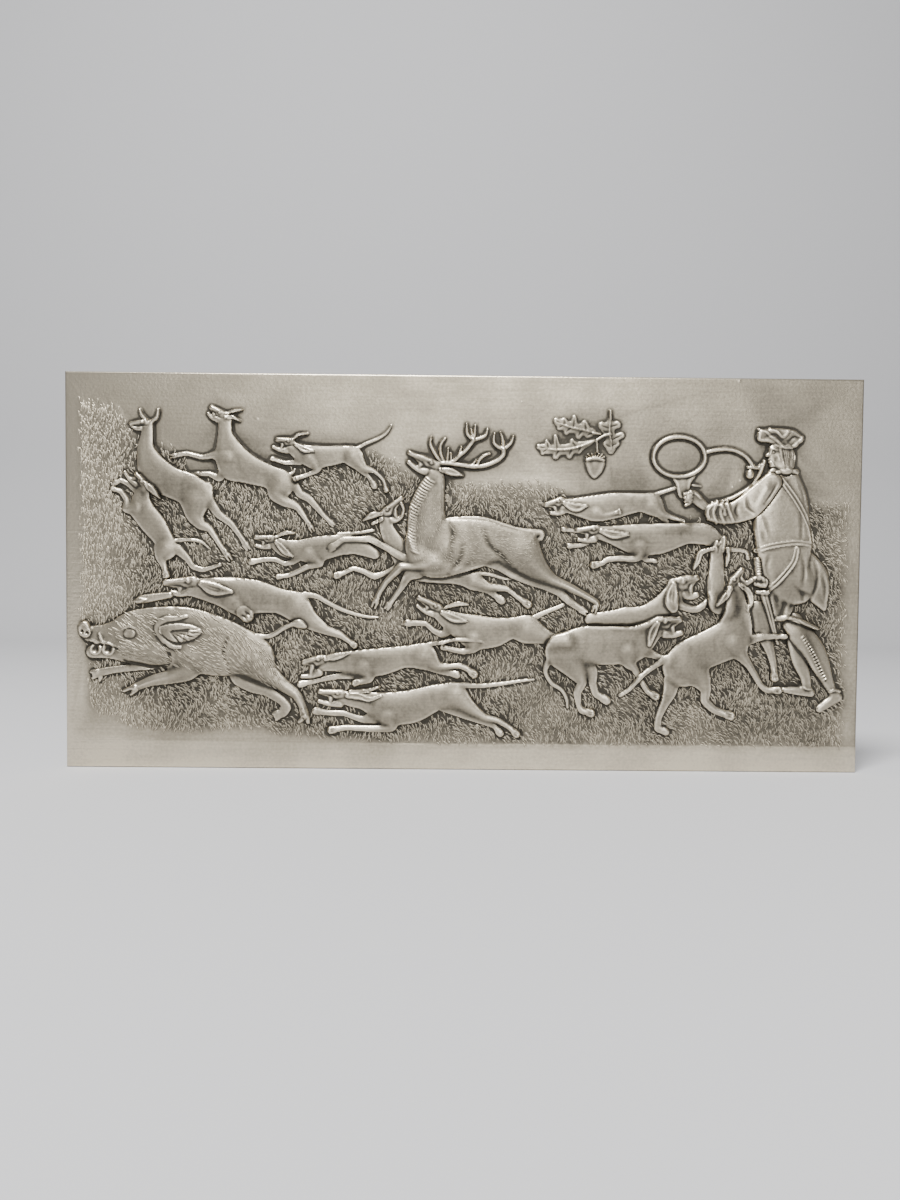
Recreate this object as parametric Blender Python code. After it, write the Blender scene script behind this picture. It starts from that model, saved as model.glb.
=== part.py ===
"""A cast metal wall plaque with a hunting scene in low relief.

The plaque is one rectangular casting. It hangs on a wall by its flat back, its length along X, its
height along Z and its relief towards -Y. The figures are laid out in picture units, with x from the
left edge, y from the bottom edge and r as half the width of a limb or body, so that the whole picture
follows the plaque's length and height.
"""

from dataclasses import dataclass, field
from enum import Enum
from typing import Any, Iterable, Optional, Sequence

import bmesh
import bpy
import numpy as np

PLAQUE_LENGTH = 0.400
PLAQUE_HEIGHT = 0.1985
PLATE_THICKNESS = 0.0030
RELIEF_RISE = 0.0048
EDGE_CHAMFER = 0.0006

# in picture units, of which there are 400 in the length
CELL = 0.8
CHANNEL_WIDTH = 0.9
CHANNEL_DEPTH = 0.35
CHANNEL_SPREAD = 2.4

TRIANGLES = 9400
SHARP_ANGLE = 40

METAL_COLOUR = (0.42, 0.39, 0.34, 1.0)
METAL_ROUGHNESS = 0.42

# the picture's own units: its length and height, and how high a roll stands for its half-width
LAYOUT_LENGTH = 400.0
LAYOUT_HEIGHT = 199.0
RELIEF_GAIN = 0.88
RELIEF_POWER = 0.48

# how every animal is modelled: its rise over what it covers, the lower far limbs, the swing of its
# limbs and body round their joints, its fullness, and the depth of muscles and of creases
ANIMAL_RIDE = 0.8
FAR_LIMB_GAIN = 0.85
LIMB_EASE = 0.5
BODY_EASE = 0.7
BODY_BLEND = 0.9
BODY_FULLNESS = 2.7
BODY_CALM = 0.8
MUSCLE_SWELL = 0.34
CREASE_WIDTH = 1.6
CREASE_DEPTH = -0.26

Roll = Sequence[tuple[float, float, float]]
Path = Sequence[tuple[float, float]]


def smooth_path(points: Iterable[Sequence[float]], spacing: float = 0.8, ease: float = 1.0) -> np.ndarray:
    """Runs a smooth curve through a few joints.

    Args:
        points: Rows of x, y and any further values, such as half-width.
        spacing: Longest step along the curve, in picture units.
        ease: How far the curve swings round its joints: 1 for a flowing line, 0 for straight bones.

    Returns:
        The rows of points along the curve, ends included.
    """
    p = np.array(list(points), float)
    if len(p) == 1:
        return np.repeat(p, 2, axis=0)
    ext = np.vstack([2 * p[0] - p[1], p, 2 * p[-1] - p[-2]])
    out = []
    for a, b, c, d in zip(ext, ext[1:], ext[2:], ext[3:]):
        n = max(2, int(np.ceil(np.hypot(*(c - b)[:2]) / spacing)))
        t = (np.arange(n) / n)[:, None]
        leave, arrive = ease * (c - a) / 2, ease * (d - b) / 2
        rest = 3 * t**2 - 2 * t**3
        out.append(b * (1 - rest) + c * rest + leave * (t**3 - 2 * t**2 + t) + arrive * (t**3 - t**2))
    out.append(p[-1:])
    return np.vstack(out)


def blur(a: np.ndarray, n: int) -> np.ndarray:
    """Mean over a square of 2n+1 cells, taken twice, which is near a Gaussian."""
    for _ in range(2):
        for axis in (0, 1):
            before = np.repeat(a.take([0], axis), n + 1, axis)
            after = np.repeat(a.take([-1], axis), n, axis)
            c = np.cumsum(np.concatenate([before, a, after], axis), axis)
            k = 2 * n + 1
            a = (c.take(range(k, c.shape[axis]), axis) - c.take(range(0, c.shape[axis] - k), axis)) / k
    return a


def widest(a: np.ndarray, n: int) -> np.ndarray:
    """Largest value within n cells each way."""
    for axis in (0, 1):
        best = a.copy()
        for k in range(1, n + 1):
            best = np.maximum(best, np.maximum(np.roll(a, k, axis), np.roll(a, -k, axis)))
        a = best
    return a


def between(a: Sequence[float], b: Sequence[float], t: float) -> tuple[float, ...]:
    """Point at share t of the way from a to b."""
    return tuple(p + (q - p) * t for p, q in zip(a, b))


@dataclass
class Sheet:
    """The picture's height over a grid.

    Args:
        cell: Grid spacing in picture units.
    """

    cell: float
    x: np.ndarray = field(init=False)
    y: np.ndarray = field(init=False)
    h: np.ndarray = field(init=False)
    cover: np.ndarray = field(init=False)

    def __post_init__(self) -> None:
        """Sets out an empty grid over the whole picture."""
        self.x = np.linspace(0, LAYOUT_LENGTH, int(round(LAYOUT_LENGTH / self.cell)) + 1)
        self.y = np.linspace(0, LAYOUT_HEIGHT, int(round(LAYOUT_HEIGHT / self.cell)) + 1)
        self.h = np.zeros((len(self.y), len(self.x)))
        self.cover = np.zeros_like(self.h)

    def window(self, low: Sequence[float], high: Sequence[float]) -> tuple[slice, slice]:
        """Rows and columns of the grid between two corners."""
        i0 = max(0, int(low[0] / self.cell))
        i1 = min(len(self.x), int(high[0] / self.cell) + 2)
        j0 = max(0, int(low[1] / self.cell))
        j1 = min(len(self.y), int(high[1] / self.cell) + 2)
        return slice(j0, j1), slice(i0, i1)

    def lay(self, figure: "Figure", ride: float = 0.8, spread: float = 1.6) -> None:
        """Lays a figure over what is already on the sheet.

        Args:
            figure: The figure to lay.
            ride: How far it rises over what it covers, from 0 to 1.
            spread: Width over which the covered heights are evened out.
        """
        n = max(1, int(round(spread / self.cell)))
        rows = np.where(figure.cover.max(1) > 0)[0]
        columns = np.where(figure.cover.max(0) > 0)[0]
        pad = 3 * n + 2
        win = (slice(max(0, rows[0] - pad), min(len(self.y), rows[-1] + pad)),
               slice(max(0, columns[0] - pad), min(len(self.x), columns[-1] + pad)))
        base = blur(widest(self.h[win], n), n) * ride
        c = figure.cover[win]
        self.h[win] = self.h[win] * (1 - c) + (base + figure.h[win]) * c
        self.cover[win] = np.maximum(self.cover[win], c)


class Figure:
    """One figure of the relief, raised on its own before it is laid on the sheet."""

    def __init__(self, sheet: Sheet) -> None:
        """Starts an empty figure on the sheet's grid."""
        self.sheet = sheet
        self.h = np.zeros_like(sheet.h)
        self.cover = np.zeros_like(sheet.h)

    def roll_field(self, path: np.ndarray, win: tuple[slice, slice],
            reach: float) -> tuple[np.ndarray, np.ndarray]:
        """Distance from each point to a roll's side, and the roll's half-width there.

        Args:
            path: Points along the roll as x, y and half-width.
            win: The rows and columns to fill.
            reach: How far outside the roll the distance is needed.

        Returns:
            The signed distance, below zero inside, and the half-width.
        """
        jj, ii = win
        s = np.full((jj.stop - jj.start, ii.stop - ii.start), 1e3)
        r = np.ones_like(s)
        for a, b in zip(path, path[1:]):
            wide = max(a[2], b[2]) + reach
            sj, si = self.sheet.window(np.minimum(a[:2], b[:2]) - wide, np.maximum(a[:2], b[:2]) + wide)
            j0, j1 = max(sj.start, jj.start), min(sj.stop, jj.stop)
            i0, i1 = max(si.start, ii.start), min(si.stop, ii.stop)
            if j1 <= j0 or i1 <= i0:
                continue
            px = self.sheet.x[i0:i1][None, :] - a[0]
            py = self.sheet.y[j0:j1][:, None] - a[1]
            d = b[:2] - a[:2]
            t = np.clip((px * d[0] + py * d[1]) / max(d @ d, 1e-9), 0, 1)
            rr = a[2] + (b[2] - a[2]) * t
            ss = np.hypot(px - t * d[0], py - t * d[1]) - rr
            loc = (slice(j0 - jj.start, j1 - jj.start), slice(i0 - ii.start, i1 - ii.start))
            better = ss < s[loc]
            s[loc] = np.where(better, ss, s[loc])
            r[loc] = np.where(better, rr, r[loc])
        return s, r

    def mass(self, *rolls: Roll, blend: float = 0.7, full: float = 2.4, gain: float = 1.0,
             over: float = 0.0, ease: float = 1.0) -> None:
        """Raises rounded rolls, blended where they meet.

        Args:
            rolls: Each a row of joints with x, y and half-width.
            blend: Width of the fillet between the rolls.
            full: Fullness of the cross-section, 2 for round and more for flatter.
            gain: Height beside that of a roll of this width.
            over: How far the rolls lift crisply off what they cross.
            ease: How far they swing round their joints, from 0 to 1.
        """
        joints = [np.array(roll, float) for roll in rolls]
        every = np.vstack(joints)
        reach = 2.5 * blend + 0.6
        margin = every[:, 2].max() + reach + 1
        win = self.sheet.window(every[:, :2].min(0) - margin, every[:, :2].max(0) + margin)
        fields = [self.roll_field(smooth_path(roll, ease=ease), win, reach) for roll in joints]
        s = np.stack([one[0] for one in fields])
        r = np.stack([one[1] for one in fields])
        low = s.min(0)
        w = np.exp(np.clip((low - s) / blend, -40, 0))
        union = low - blend * np.log(w.sum(0))
        radius = np.maximum((w * r).sum(0) / w.sum(0), 0.15)
        u = np.clip(-union / radius, 0, 1)
        dome = gain * RELIEF_GAIN * radius**RELIEF_POWER * (1 - (1 - u)**full)**(1 / full)
        h0 = self.h[win]
        self.h[win] = np.where(union < 0, np.maximum(h0, dome) + over * dome, h0)
        self.cover[win] = np.maximum(self.cover[win], np.clip(0.5 - union / self.sheet.cell, 0, 1))

    def swell(self, roll: Roll, height: float, ease: float = 1.0) -> None:
        """Raises a muscle that has no edge along a roll, only inside the figure.

        Args:
            roll: Joints with x, y and half-width.
            height: Height beside that of a roll of this width.
            ease: How far it swings round its joints, from 0 to 1.
        """
        path = smooth_path(roll, ease=ease)
        wide = path[:, 2].max() + 1
        win = self.sheet.window(path[:, :2].min(0) - wide, path[:, :2].max(0) + wide)
        s, r = self.roll_field(path, win, 0.5)
        u = np.clip(-s / np.maximum(r, 0.15), 0, 1)
        fade = np.clip(self.h[win] / 1.2, 0, 1) * (self.cover[win] > 0)
        self.h[win] += height * RELIEF_GAIN * r**RELIEF_POWER * u * u * (3 - 2 * u) * fade

    def calm(self, width: float) -> None:
        """Evens out the heights inside the figure over a width, and leaves its outline as it is."""
        rows = np.where(self.cover.max(1) > 0)[0]
        columns = np.where(self.cover.max(0) > 0)[0]
        win = (slice(rows[0], rows[-1] + 1), slice(columns[0], columns[-1] + 1))
        n = int(round(width / self.sheet.cell))
        if n < 1:
            return
        inside = (self.cover[win] > 0) * 1.0
        self.h[win] = blur(self.h[win] * inside, n) / np.maximum(blur(inside, n), 1e-6) * inside

    def line(self, points: Path, width: float, depth: float) -> None:
        """Adds a thin ridge that fades at both ends, or a groove where depth is below zero.

        Args:
            points: Joints of the path.
            width: Half-width of the line.
            depth: Height to add at its middle.
        """
        ends = np.array([(p[0], p[1]) for p in points], float)
        win = self.sheet.window(ends.min(0) - 3 * width - 2, ends.max(0) + 3 * width + 2)
        path = smooth_path(ends, 0.6)
        add = np.zeros((win[0].stop - win[0].start, win[1].stop - win[1].start))
        for k, (a, b) in enumerate(zip(path, path[1:])):
            sj, si = self.sheet.window(np.minimum(a, b) - 3 * width, np.maximum(a, b) + 3 * width)
            j0, j1 = max(sj.start, win[0].start), min(sj.stop, win[0].stop)
            i0, i1 = max(si.start, win[1].start), min(si.stop, win[1].stop)
            if j1 <= j0 or i1 <= i0:
                continue
            px = self.sheet.x[i0:i1][None, :] - a[0]
            py = self.sheet.y[j0:j1][:, None] - a[1]
            d = b - a
            t = np.clip((px * d[0] + py * d[1]) / max(d @ d, 1e-9), 0, 1)
            q = np.hypot(px - t * d[0], py - t * d[1]) / width
            along = (k + t) / (len(path) - 1)
            fade = np.sin(np.pi * np.clip(along, 0.06, 0.94))**0.5
            loc = (slice(j0 - win[0].start, j1 - win[0].start), slice(i0 - win[1].start, i1 - win[1].start))
            add[loc] = np.maximum(add[loc], np.exp(-q * q) * fade)
        self.h[win] += depth * add * (self.cover[win] > 0)

    def dot(self, x: float, y: float, r: float, height: float) -> None:
        """Raises a small knob, or sinks a pit where height is below zero."""
        win = self.sheet.window((x - 2.2 * r, y - 2.2 * r), (x + 2.2 * r, y + 2.2 * r))
        px = self.sheet.x[win[1]][None, :] - x
        py = self.sheet.y[win[0]][:, None] - y
        self.h[win] += height * np.exp(-1.2 * (px * px + py * py) / r**2) * (self.cover[win] > 0)


class FootKind(Enum):
    """How an animal's limb ends."""

    PAW = "paw"
    HOOF = "hoof"


def head(fig: Figure, skull: Sequence[float], r: float, nose: Sequence[float], jaw: Sequence[float],
         cheek: Sequence[float], wide: float = 0.54, eye_size: float = 0.25) -> None:
    """A long-muzzled head with an open mouth.

    Args:
        fig: Figure that it belongs to.
        skull: Middle of the skull.
        r: Half-width of the skull.
        nose: Tip of the upper jaw.
        jaw: Tip of the lower jaw.
        cheek: Hinge of the jaw.
        wide: Half-width of the nose as a share of r.
        eye_size: Half-width of the eye as a share of r.
    """
    s, n, c, j = (np.array(p, float) for p in (skull, nose, cheek, jaw))
    ahead = (n - s) / np.hypot(*(n - s))
    crown = np.array([-ahead[1], ahead[0]])
    if crown @ (c + j - 2 * s) > 0:
        crown = -crown
    stop = s + 0.42 * (n - s) + 0.06 * r * crown
    tip = n - 0.5 * wide * r * ahead
    hinge = 0.5 * (s + c) + 0.25 * (j - c)
    sag = 0.16 * r * crown
    fig.mass([(*s, r), (*stop, 0.7 * r), (*(s + 0.7 * (n - s)), 0.92 * wide * r), (*tip, 1.06 * wide * r)],
             [(*c, 0.7 * r), (*(c + 0.5 * (j - c) - sag), 0.42 * r), (*(j + sag), 0.34 * r)], blend=0.22)
    fig.line([tuple(s + 0.62 * r * crown), tuple(stop + 0.34 * r * crown), tuple(tip + 0.2 * r * crown)],
            0.26 * r, 0.22)
    fig.line([tuple(s - 0.55 * r * ahead - 0.2 * r * crown), tuple(hinge), tuple(c + 0.4 * (j - c))],
            0.22 * r, -0.3)
    fig.line([tuple(tip - 0.3 * r * crown), tuple(stop - 0.34 * r * crown), tuple(hinge)], 0.16 * r, -0.3)
    eye = s + 0.36 * (stop - s) + 0.3 * r * crown
    fig.dot(*eye, 2.0 * eye_size * r, -0.4)
    fig.dot(*eye, eye_size * r, 0.75)
    fig.line([tuple(eye + 0.42 * r * (crown - ahead)), tuple(eye + 0.5 * r * crown),
            tuple(eye + 0.5 * r * ahead)],
             0.16 * r, 0.28)
    fig.dot(*(tip + 0.25 * r * ahead), 0.22 * r, -0.45)


def ear(fig: Figure, *leaf: Sequence[float]) -> None:
    """A hanging or laid-back ear, its rim standing round a shallow hollow."""
    fig.mass(list(leaf), over=0.55, full=3.2)
    wide = max(p[2] for p in leaf)
    inner = smooth_path(leaf)[:-2]
    fig.line([tuple(p[:2]) for p in inner[1::4]], 0.45 * wide, -0.42)
    fig.line([tuple(p[:2]) for p in inner[2:-2:4]], 0.16 * wide, 0.2)


def ahead_of(leg: Roll) -> tuple[np.ndarray, np.ndarray, np.ndarray, float]:
    """The end of a limb, the way that it points, the way across it, and its half-width."""
    before, last = np.array(leg[-2], float), np.array(leg[-1], float)
    ahead = (last - before)[:2] / max(np.hypot(*(last - before)[:2]), 1e-6)
    return last[:2], ahead, np.array([-ahead[1], ahead[0]]), last[2]


def paw(fig: Figure, leg: Roll) -> None:
    """A foot parted into toes at the end of a limb."""
    end, ahead, across, r = ahead_of(leg)
    fig.mass([(*(end - 0.2 * r * ahead), 1.12 * r), (*(end + 0.5 * r * ahead), 1.05 * r)], over=0.14)
    for side in (-0.72, 0.0, 0.72):
        fig.dot(*(end + (0.9 - 0.3 * abs(side)) * r * ahead + side * r * across), 0.5 * r, 0.42)
    for side in (-0.38, 0.38):
        fig.line([tuple(end + side * r * across), tuple(end + 1.7 * r * ahead + 1.3 * side * r * across)],
                0.15 * r + 0.1, -0.32)
    fig.dot(*(end - 1.5 * r * ahead), 0.8 * r, 0.22)


def hoof(fig: Figure, leg: Roll) -> None:
    """A cloven hoof at the end of a limb, with its dewclaws behind."""
    end, ahead, across, r = ahead_of(leg)
    for side in (-0.45, 0.45):
        fig.mass([(*(end + side * r * across), 0.8 * r),
                (*(end + 1.7 * r * ahead + 1.15 * side * r * across), 0.45 * r)],
                 over=0.15, full=2.0)
    fig.line([tuple(end), tuple(end + 1.8 * r * ahead)], 0.25 * r, -0.4)
    fig.dot(*(end - 1.4 * r * ahead + 0.7 * r * across), 0.5 * r, 0.35)


def foot_end(fig: Figure, leg: Roll, kind: FootKind) -> None:
    """Puts the foot of the named kind on the end of a limb."""
    if kind is FootKind.PAW:
        paw(fig, leg)
    else:
        hoof(fig, leg)


class HuntingPicture:
    """The hunt, drawn figure by figure on a height sheet."""

    def __init__(self, sheet: Sheet) -> None:
        """Takes the sheet to draw on."""
        self.sheet = sheet

    def beast(self, trunk: Sequence[Roll], far: Sequence[Roll] = (), near: Sequence[Roll] = (),
              ears: Sequence[Roll] = (), tail: Optional[Roll] = None, heads: Sequence[dict[str, Any]] = (),
              foot: FootKind = FootKind.PAW, seams: Sequence[Path] = (),
              extras: Sequence[Roll] = ()) -> None:
        """Raises one running animal and lays it on the sheet.

        Args:
            trunk: Rolls of the neck and body.
            far: Limbs on the far side, which lie lower.
            near: Limbs on the near side, which swell out of the body.
            ears: Leaves of the ears.
            tail: Roll of the tail.
            heads: What each head needs.
            foot: How each limb ends.
            seams: Creases between muscles.
            extras: Small rolls laid on last, such as a tongue.
        """
        fig = Figure(self.sheet)
        for leg in far:
            fig.mass(leg, gain=FAR_LIMB_GAIN, ease=LIMB_EASE)
            foot_end(fig, leg, foot)
        if tail:
            fig.mass(tail)
        fig.mass(*trunk, *near, blend=BODY_BLEND, full=BODY_FULLNESS, ease=BODY_EASE)
        fig.calm(BODY_CALM)
        for leg in near:
            fig.swell(leg, MUSCLE_SWELL, ease=LIMB_EASE)
            foot_end(fig, leg, foot)
        for seam in seams:
            fig.line(seam, CREASE_WIDTH, CREASE_DEPTH)
        for face in heads:
            head(fig, **face)
        for leaf in ears:
            ear(fig, *leaf)
        for roll in extras:
            fig.mass(roll, over=0.15)
        self.sheet.lay(fig, ride=ANIMAL_RIDE)

    def hinds(self) -> None:
        """The two hinds in flight at the upper left."""
        # the upper hind, its neck upright and forelegs stretched to the left
        self.beast(foot=FootKind.HOOF, trunk=[[(80, 175, 3.0), (80.3, 167, 4.0), (82.5, 159, 7.0),
                (85, 153.5, 8.3)],
                            [(85, 153.5, 8.3), (95, 149.5, 6.6), (104, 146.5, 5.6), (108, 143.5, 6.3)],
                            [(80, 176, 2.6), (76.5, 177.5, 2.9)]],
              far=[[(108, 144, 5), (114.5, 143, 2.6), (117.5, 138.8, 2.0), (122.5, 136, 1.8),
                      (129.5, 128, 1.2), (133, 124.6, 1.2)],
                   [(80, 150, 3), (77, 146.3, 1.8), (72, 148.3, 1.2), (66.5, 148, 1.2)]],
              near=[[(108, 144, 6.3), (105.8, 139, 4.2), (110, 134.9, 2.7), (116, 132.3, 1.9),
                      (121.3, 125, 1.2), (123, 122, 1.3)],
                    [(82, 157, 4), (74.5, 157.6, 1.8), (68.5, 156.6, 1.2), (61, 158.3, 1.1),
                            (54.8, 157.2, 1.2)]],
              ears=[[(80.5, 178.6, 0.6), (84.5, 179.8, 0.9), (88.5, 180.5, 0.4)], [(80.5, 176.6, 0.7),
                      (84, 176.6, 1.1), (87.5, 174.9, 0.4)]],
              tail=[(111.5, 147.5, 1.5), (114, 149.6, 0.8), (114.8, 151, 0.5)],
              heads=[dict(skull=(77.6, 177.6), r=2.9, nose=(72.4, 182), jaw=(71.4, 178), cheek=(76, 176))],
              seams=[[(88, 160), (87, 153), (89.5, 146)], [(101, 150), (100.5, 146), (102, 141.5)]])
        # the lower hind, half behind the leaping hound
        self.beast(foot=FootKind.HOOF, trunk=[[(41.8, 172, 2.6), (41.0, 166, 3.3), (40.6, 160, 4.4),
                (43, 152.5, 6.8), (47, 147, 7.6)],
                            [(47, 147, 7.6), (54, 143.5, 7.6), (61, 141, 7.8), (67, 138, 7.4)]],
              far=[[(68, 138, 6), (72.5, 134, 2.8), (77, 128, 2.0), (83, 123.5, 1.6), (87.5, 117.5, 1.2),
                      (90.3, 113, 1.5)]],
              near=[[(65, 135, 7.2), (65, 128, 4.6), (68, 123, 2.7), (72.5, 120.6, 1.8), (77.5, 113, 1.3),
                      (81.3, 107.5, 1.5)]],
              extras=[[(40.6, 175, 1.0), (38.6, 177.2, 1.05), (37.6, 180, 0.8)], [(43.2, 174, 1.1),
                      (46.0, 176.4, 1.05), (46.7, 180, 0.8)]],
              tail=[(72, 143, 1.2), (73.2, 141, 1.2), (72, 139.3, 0.6)],
              heads=[dict(skull=(40.2, 172.8), r=2.7, nose=(32.2, 172.9), jaw=(33.8, 171.3),
                      cheek=(38, 171))],
              seams=[[(51, 150), (50, 144), (52, 137)], [(59.5, 147), (58.5, 140), (59.5, 134)]])

    def left_hounds(self) -> None:
        """The hound at the lower hind's chest and the one barking under the upper hind."""
        # the hound leaping up at the lower hind's chest
        self.beast(trunk=[[(39.5, 141, 3.2), (38.2, 135, 4.6), (39.5, 129, 6.0), (45, 122, 6.0),
                (49.5, 115.5, 4.8), (50.5, 111, 5.5)]],
              far=[[(37, 139, 2.0), (31.5, 143, 1.2), (28, 144.6, 1.1), (25.6, 143.6, 1.2)],
                   [(51, 111, 4), (56, 110.5, 2.6), (61, 106, 1.7), (64, 101.8, 1.4), (68.7, 100.3, 1.3),
                           (73, 101.3, 1.0), (77, 102.7, 0.8)]],
              near=[[(36, 131, 3.5), (30.5, 130.5, 1.8), (30.8, 135, 1.4), (28, 139, 1.2),
                      (24.8, 140.3, 1.2)],
                    [(50.5, 111, 5.2), (48, 106.5, 2.6), (49.5, 102, 1.6), (50.5, 98, 1.6)]],
              ears=[[(41.3, 143, 1.0), (44.3, 139.8, 1.7), (47.6, 136, 0.6)]],
              tail=[(53, 114.6, 1.1), (62, 115.3, 0.9), (68, 114.3, 0.7), (72, 111.2, 0.4)],
              heads=[dict(skull=(38.6, 143), r=2.9, nose=(35.4, 148.6), jaw=(29.6, 148.6),
                      cheek=(36, 142.6))],
              seams=[[(42, 135), (38, 128), (39, 123)]])
        # the hound barking under the upper hind
        self.beast(trunk=[[(113.5, 162, 3.2), (118.5, 159, 4.4), (126, 157.4, 5.5), (134, 158, 4.9),
                (140, 159, 4.0), (144, 157.8, 4.5)]],
              far=[[(117.5, 156, 3), (115, 154.6, 1.4), (110, 154.2, 1.0), (104.3, 156, 1.0)],
                   [(145, 156, 4), (149, 150.5, 1.8), (152, 147.5, 1.0), (154.3, 143.8, 1.4)]],
              near=[[(122, 157, 4), (126.3, 151.2, 1.6), (122, 148.7, 1.1), (116, 146.5, 1.2)],
                    [(144, 157.5, 4.6), (149, 152, 2.6), (154.3, 150.6, 1.1), (159, 146.3, 0.8),
                            (160.5, 141.6, 1.2)]],
              ears=[[(113.9, 166, 0.7), (116.7, 168.3, 0.9), (121.2, 169, 0.5)], [(115.6, 163.3, 0.9),
                      (120, 160.8, 1.5), (124.3, 160.3, 0.6)]],
              tail=[(146, 161.8, 1.0), (150, 164.1, 0.8), (156.7, 167, 0.7), (160.7, 170, 0.6),
                      (163, 173.7, 0.35)],
              heads=[dict(skull=(112.6, 163.9), r=2.9, nose=(105.2, 166), jaw=(104, 161.6),
                      cheek=(111.2, 160.6))],
              seams=[[(120, 162), (119, 157), (121, 153)], [(140, 161), (139.5, 157), (141.5, 154.3)]])

    def boar_hound(self) -> None:
        """The hound riding on the boar's back."""
        # the hound riding on the boar's back
        self.beast(trunk=[[(63, 91.3, 4.2), (72, 90.3, 6.0), (84, 88.4, 8.2), (95, 87, 8.4),
                (106, 85.2, 6.4), (115.5, 82.4, 6.9)]],
              far=[],
              near=[[(116, 82, 7.0), (122, 76, 5.0), (130.5, 70.7, 2.6), (138, 68, 1.8), (142, 65.2, 1.3),
                      (144.6, 63.2, 1.5)],
                    [(84, 84, 5.0), (90, 78.5, 3.0)]],
              ears=[[(68.5, 93.4, 1.5), (75, 90.7, 3.2), (83.8, 89.4, 0.8)]],
              tail=[(120, 88.2, 1.6), (126.3, 87.2, 1.3), (131.7, 84.3, 1.2), (138.3, 81, 1.0),
                      (145, 78.7, 0.9), (151.7, 77.3, 0.7), (157, 77.1, 0.4)],
              heads=[dict(skull=(64, 93), r=4.2, nose=(49.2, 93.6), jaw=(53, 88), cheek=(61.5, 89.6))],
              seams=[[(78, 94), (76.5, 88), (79, 83)], [(107, 90), (106, 84), (108.5, 78)], [(95, 93),
                      (94, 88), (95.5, 83)]])

    def boar(self) -> None:
        """The boar, running left, and the hound's far paw on its brow."""
        fig = Figure(self.sheet)
        for leg in ([(43, 53, 3.4), (38, 51.6, 2.4), (33, 50.6, 1.9), (25, 49.6, 1.8), (19, 48.4, 2.0),
                (15.4, 47.4, 2.2)],
                    [(85, 50, 4), (87, 45, 3.2), (94, 41.3, 3.0), (101, 39.5, 2.8), (108, 35, 2.3),
                            (111.4, 31.4, 2.1), (109.4, 28.6, 2.4), (106.4, 27, 2.0)]):
            fig.mass(leg, gain=0.85, ease=0.6)
        for toe in ([(15.6, 48.4, 1.4), (12.8, 48.3, 0.8)], [(15.6, 46.6, 1.4),
                (13.6, 45.2, 0.8)], [(17.6, 45.6, 1.2), (17, 44, 0.7)],
                    [(107, 28.6, 1.3), (104.6, 27.8, 0.9)], [(107.4, 26.4, 1.3),
                            (106, 24.9, 0.9)], [(109.6, 31.6, 1.2), (108.2, 30.8, 0.8)]):
            fig.mass(toe, over=0.25)
        fig.mass([(96, 67, 1.6), (101, 66.8, 1.2), (105, 68.3, 1.2), (109, 71, 1.2), (114, 73.2, 1.4),
                (117.5, 73.4, 2.3), (120, 72.4, 1.4)])
        near_fore = [(62, 56, 9), (60.5, 50.6, 6.6), (53, 46.4, 3.9), (44.5, 44.4, 2.9), (38, 42, 2.2),
                (34.4, 40.2, 2.2)]
        near_hind = [(92, 57, 10.5), (100, 49, 6.4), (109, 42.6, 3.5), (115.6, 38, 2.7),
                (118.8, 32.5, 2.1), (120.2, 27.6, 2.5)]
        fig.mass([(27, 65, 9.0), (36, 66.0, 13.6), (46, 66.4, 15.0), (60, 65.6, 15.8), (75, 61.9, 15.0),
                (88, 59, 12.0), (94.5, 56.5, 10.4)],
                 [(12.6, 67.4, 3.9), (19, 66.6, 5.6), (27, 65.4, 8.4)], [(13.6, 58.6, 3.2),
                         (22, 59.6, 4.4), (33, 60.2, 6.6)],
                 near_fore, near_hind, blend=0.8, ease=0.8, full=2.8)
        fig.calm(0.9)
        fig.swell([(30.5, 60.4, 6.6), (38, 59.4, 8.4), (44.6, 58.6, 7.8)], 0.3)
        fig.line([(30, 54.2), (37, 52.6), (45, 51), (51.6, 52.6), (52.8, 57), (50.6, 62)], 1.0, -0.75)
        fig.swell(near_fore, 0.34, ease=0.6)
        fig.swell(near_hind, 0.36, ease=0.6)
        for toe in ([(34.6, 41.2, 1.3), (29.4, 38.9, 0.9)], [(35.4, 39.4, 1.3),
                (33, 37.2, 0.9)], [(120.4, 26.4, 1.6), (117.6, 24.0, 1.2)],
                    [(121.4, 26.4, 1.6), (122, 23.8, 1.2)], [(120, 30, 1.3), (121.6, 28.2, 0.9)]):
            fig.mass(toe, over=0.3)
        # the snout disc, the mouth with its curled lips, the tusk and the eye
        fig.mass([(9.8, 71.0, 3.1), (10.2, 68.8, 3.2)], over=0.55, full=4)
        for x, y in ((8.9, 69.0), (11.6, 68.2)):
            fig.dot(x, y, 0.75, -1.0)
        fig.mass([(13.4, 64.4, 0.9), (16.6, 63.2, 1.0), (20.4, 63.2, 0.9), (25.6, 61.6, 0.7)], over=0.3)
        fig.line([(12, 63.2), (16, 62.2), (21, 62.2), (26.4, 60.6)], 0.8, -0.7)
        for x, r in ((15.4, 2.4), (21.9, 2.6)):
            turn = np.linspace(0, 2 * np.pi, 13)
            fig.mass([(x + r * np.cos(a), 60.1 + r * np.sin(a), 0.75) for a in turn], over=0.35)
            fig.dot(x, 60.1, 1.5, -0.9)
        fig.mass([(19.6, 62.4, 0.9), (18.4, 65.4, 0.8), (17.4, 68.2, 0.4)], over=0.5)
        fig.dot(32.7, 68.0, 3.6, -0.5)
        fig.mass([(32.1, 68.0, 2.2), (33.6, 68.0, 2.2)], over=0.4, full=2.0)
        fig.line([(29.4, 70.4), (32.7, 71.6), (36.4, 70.2)], 0.6, 0.4)
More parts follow.
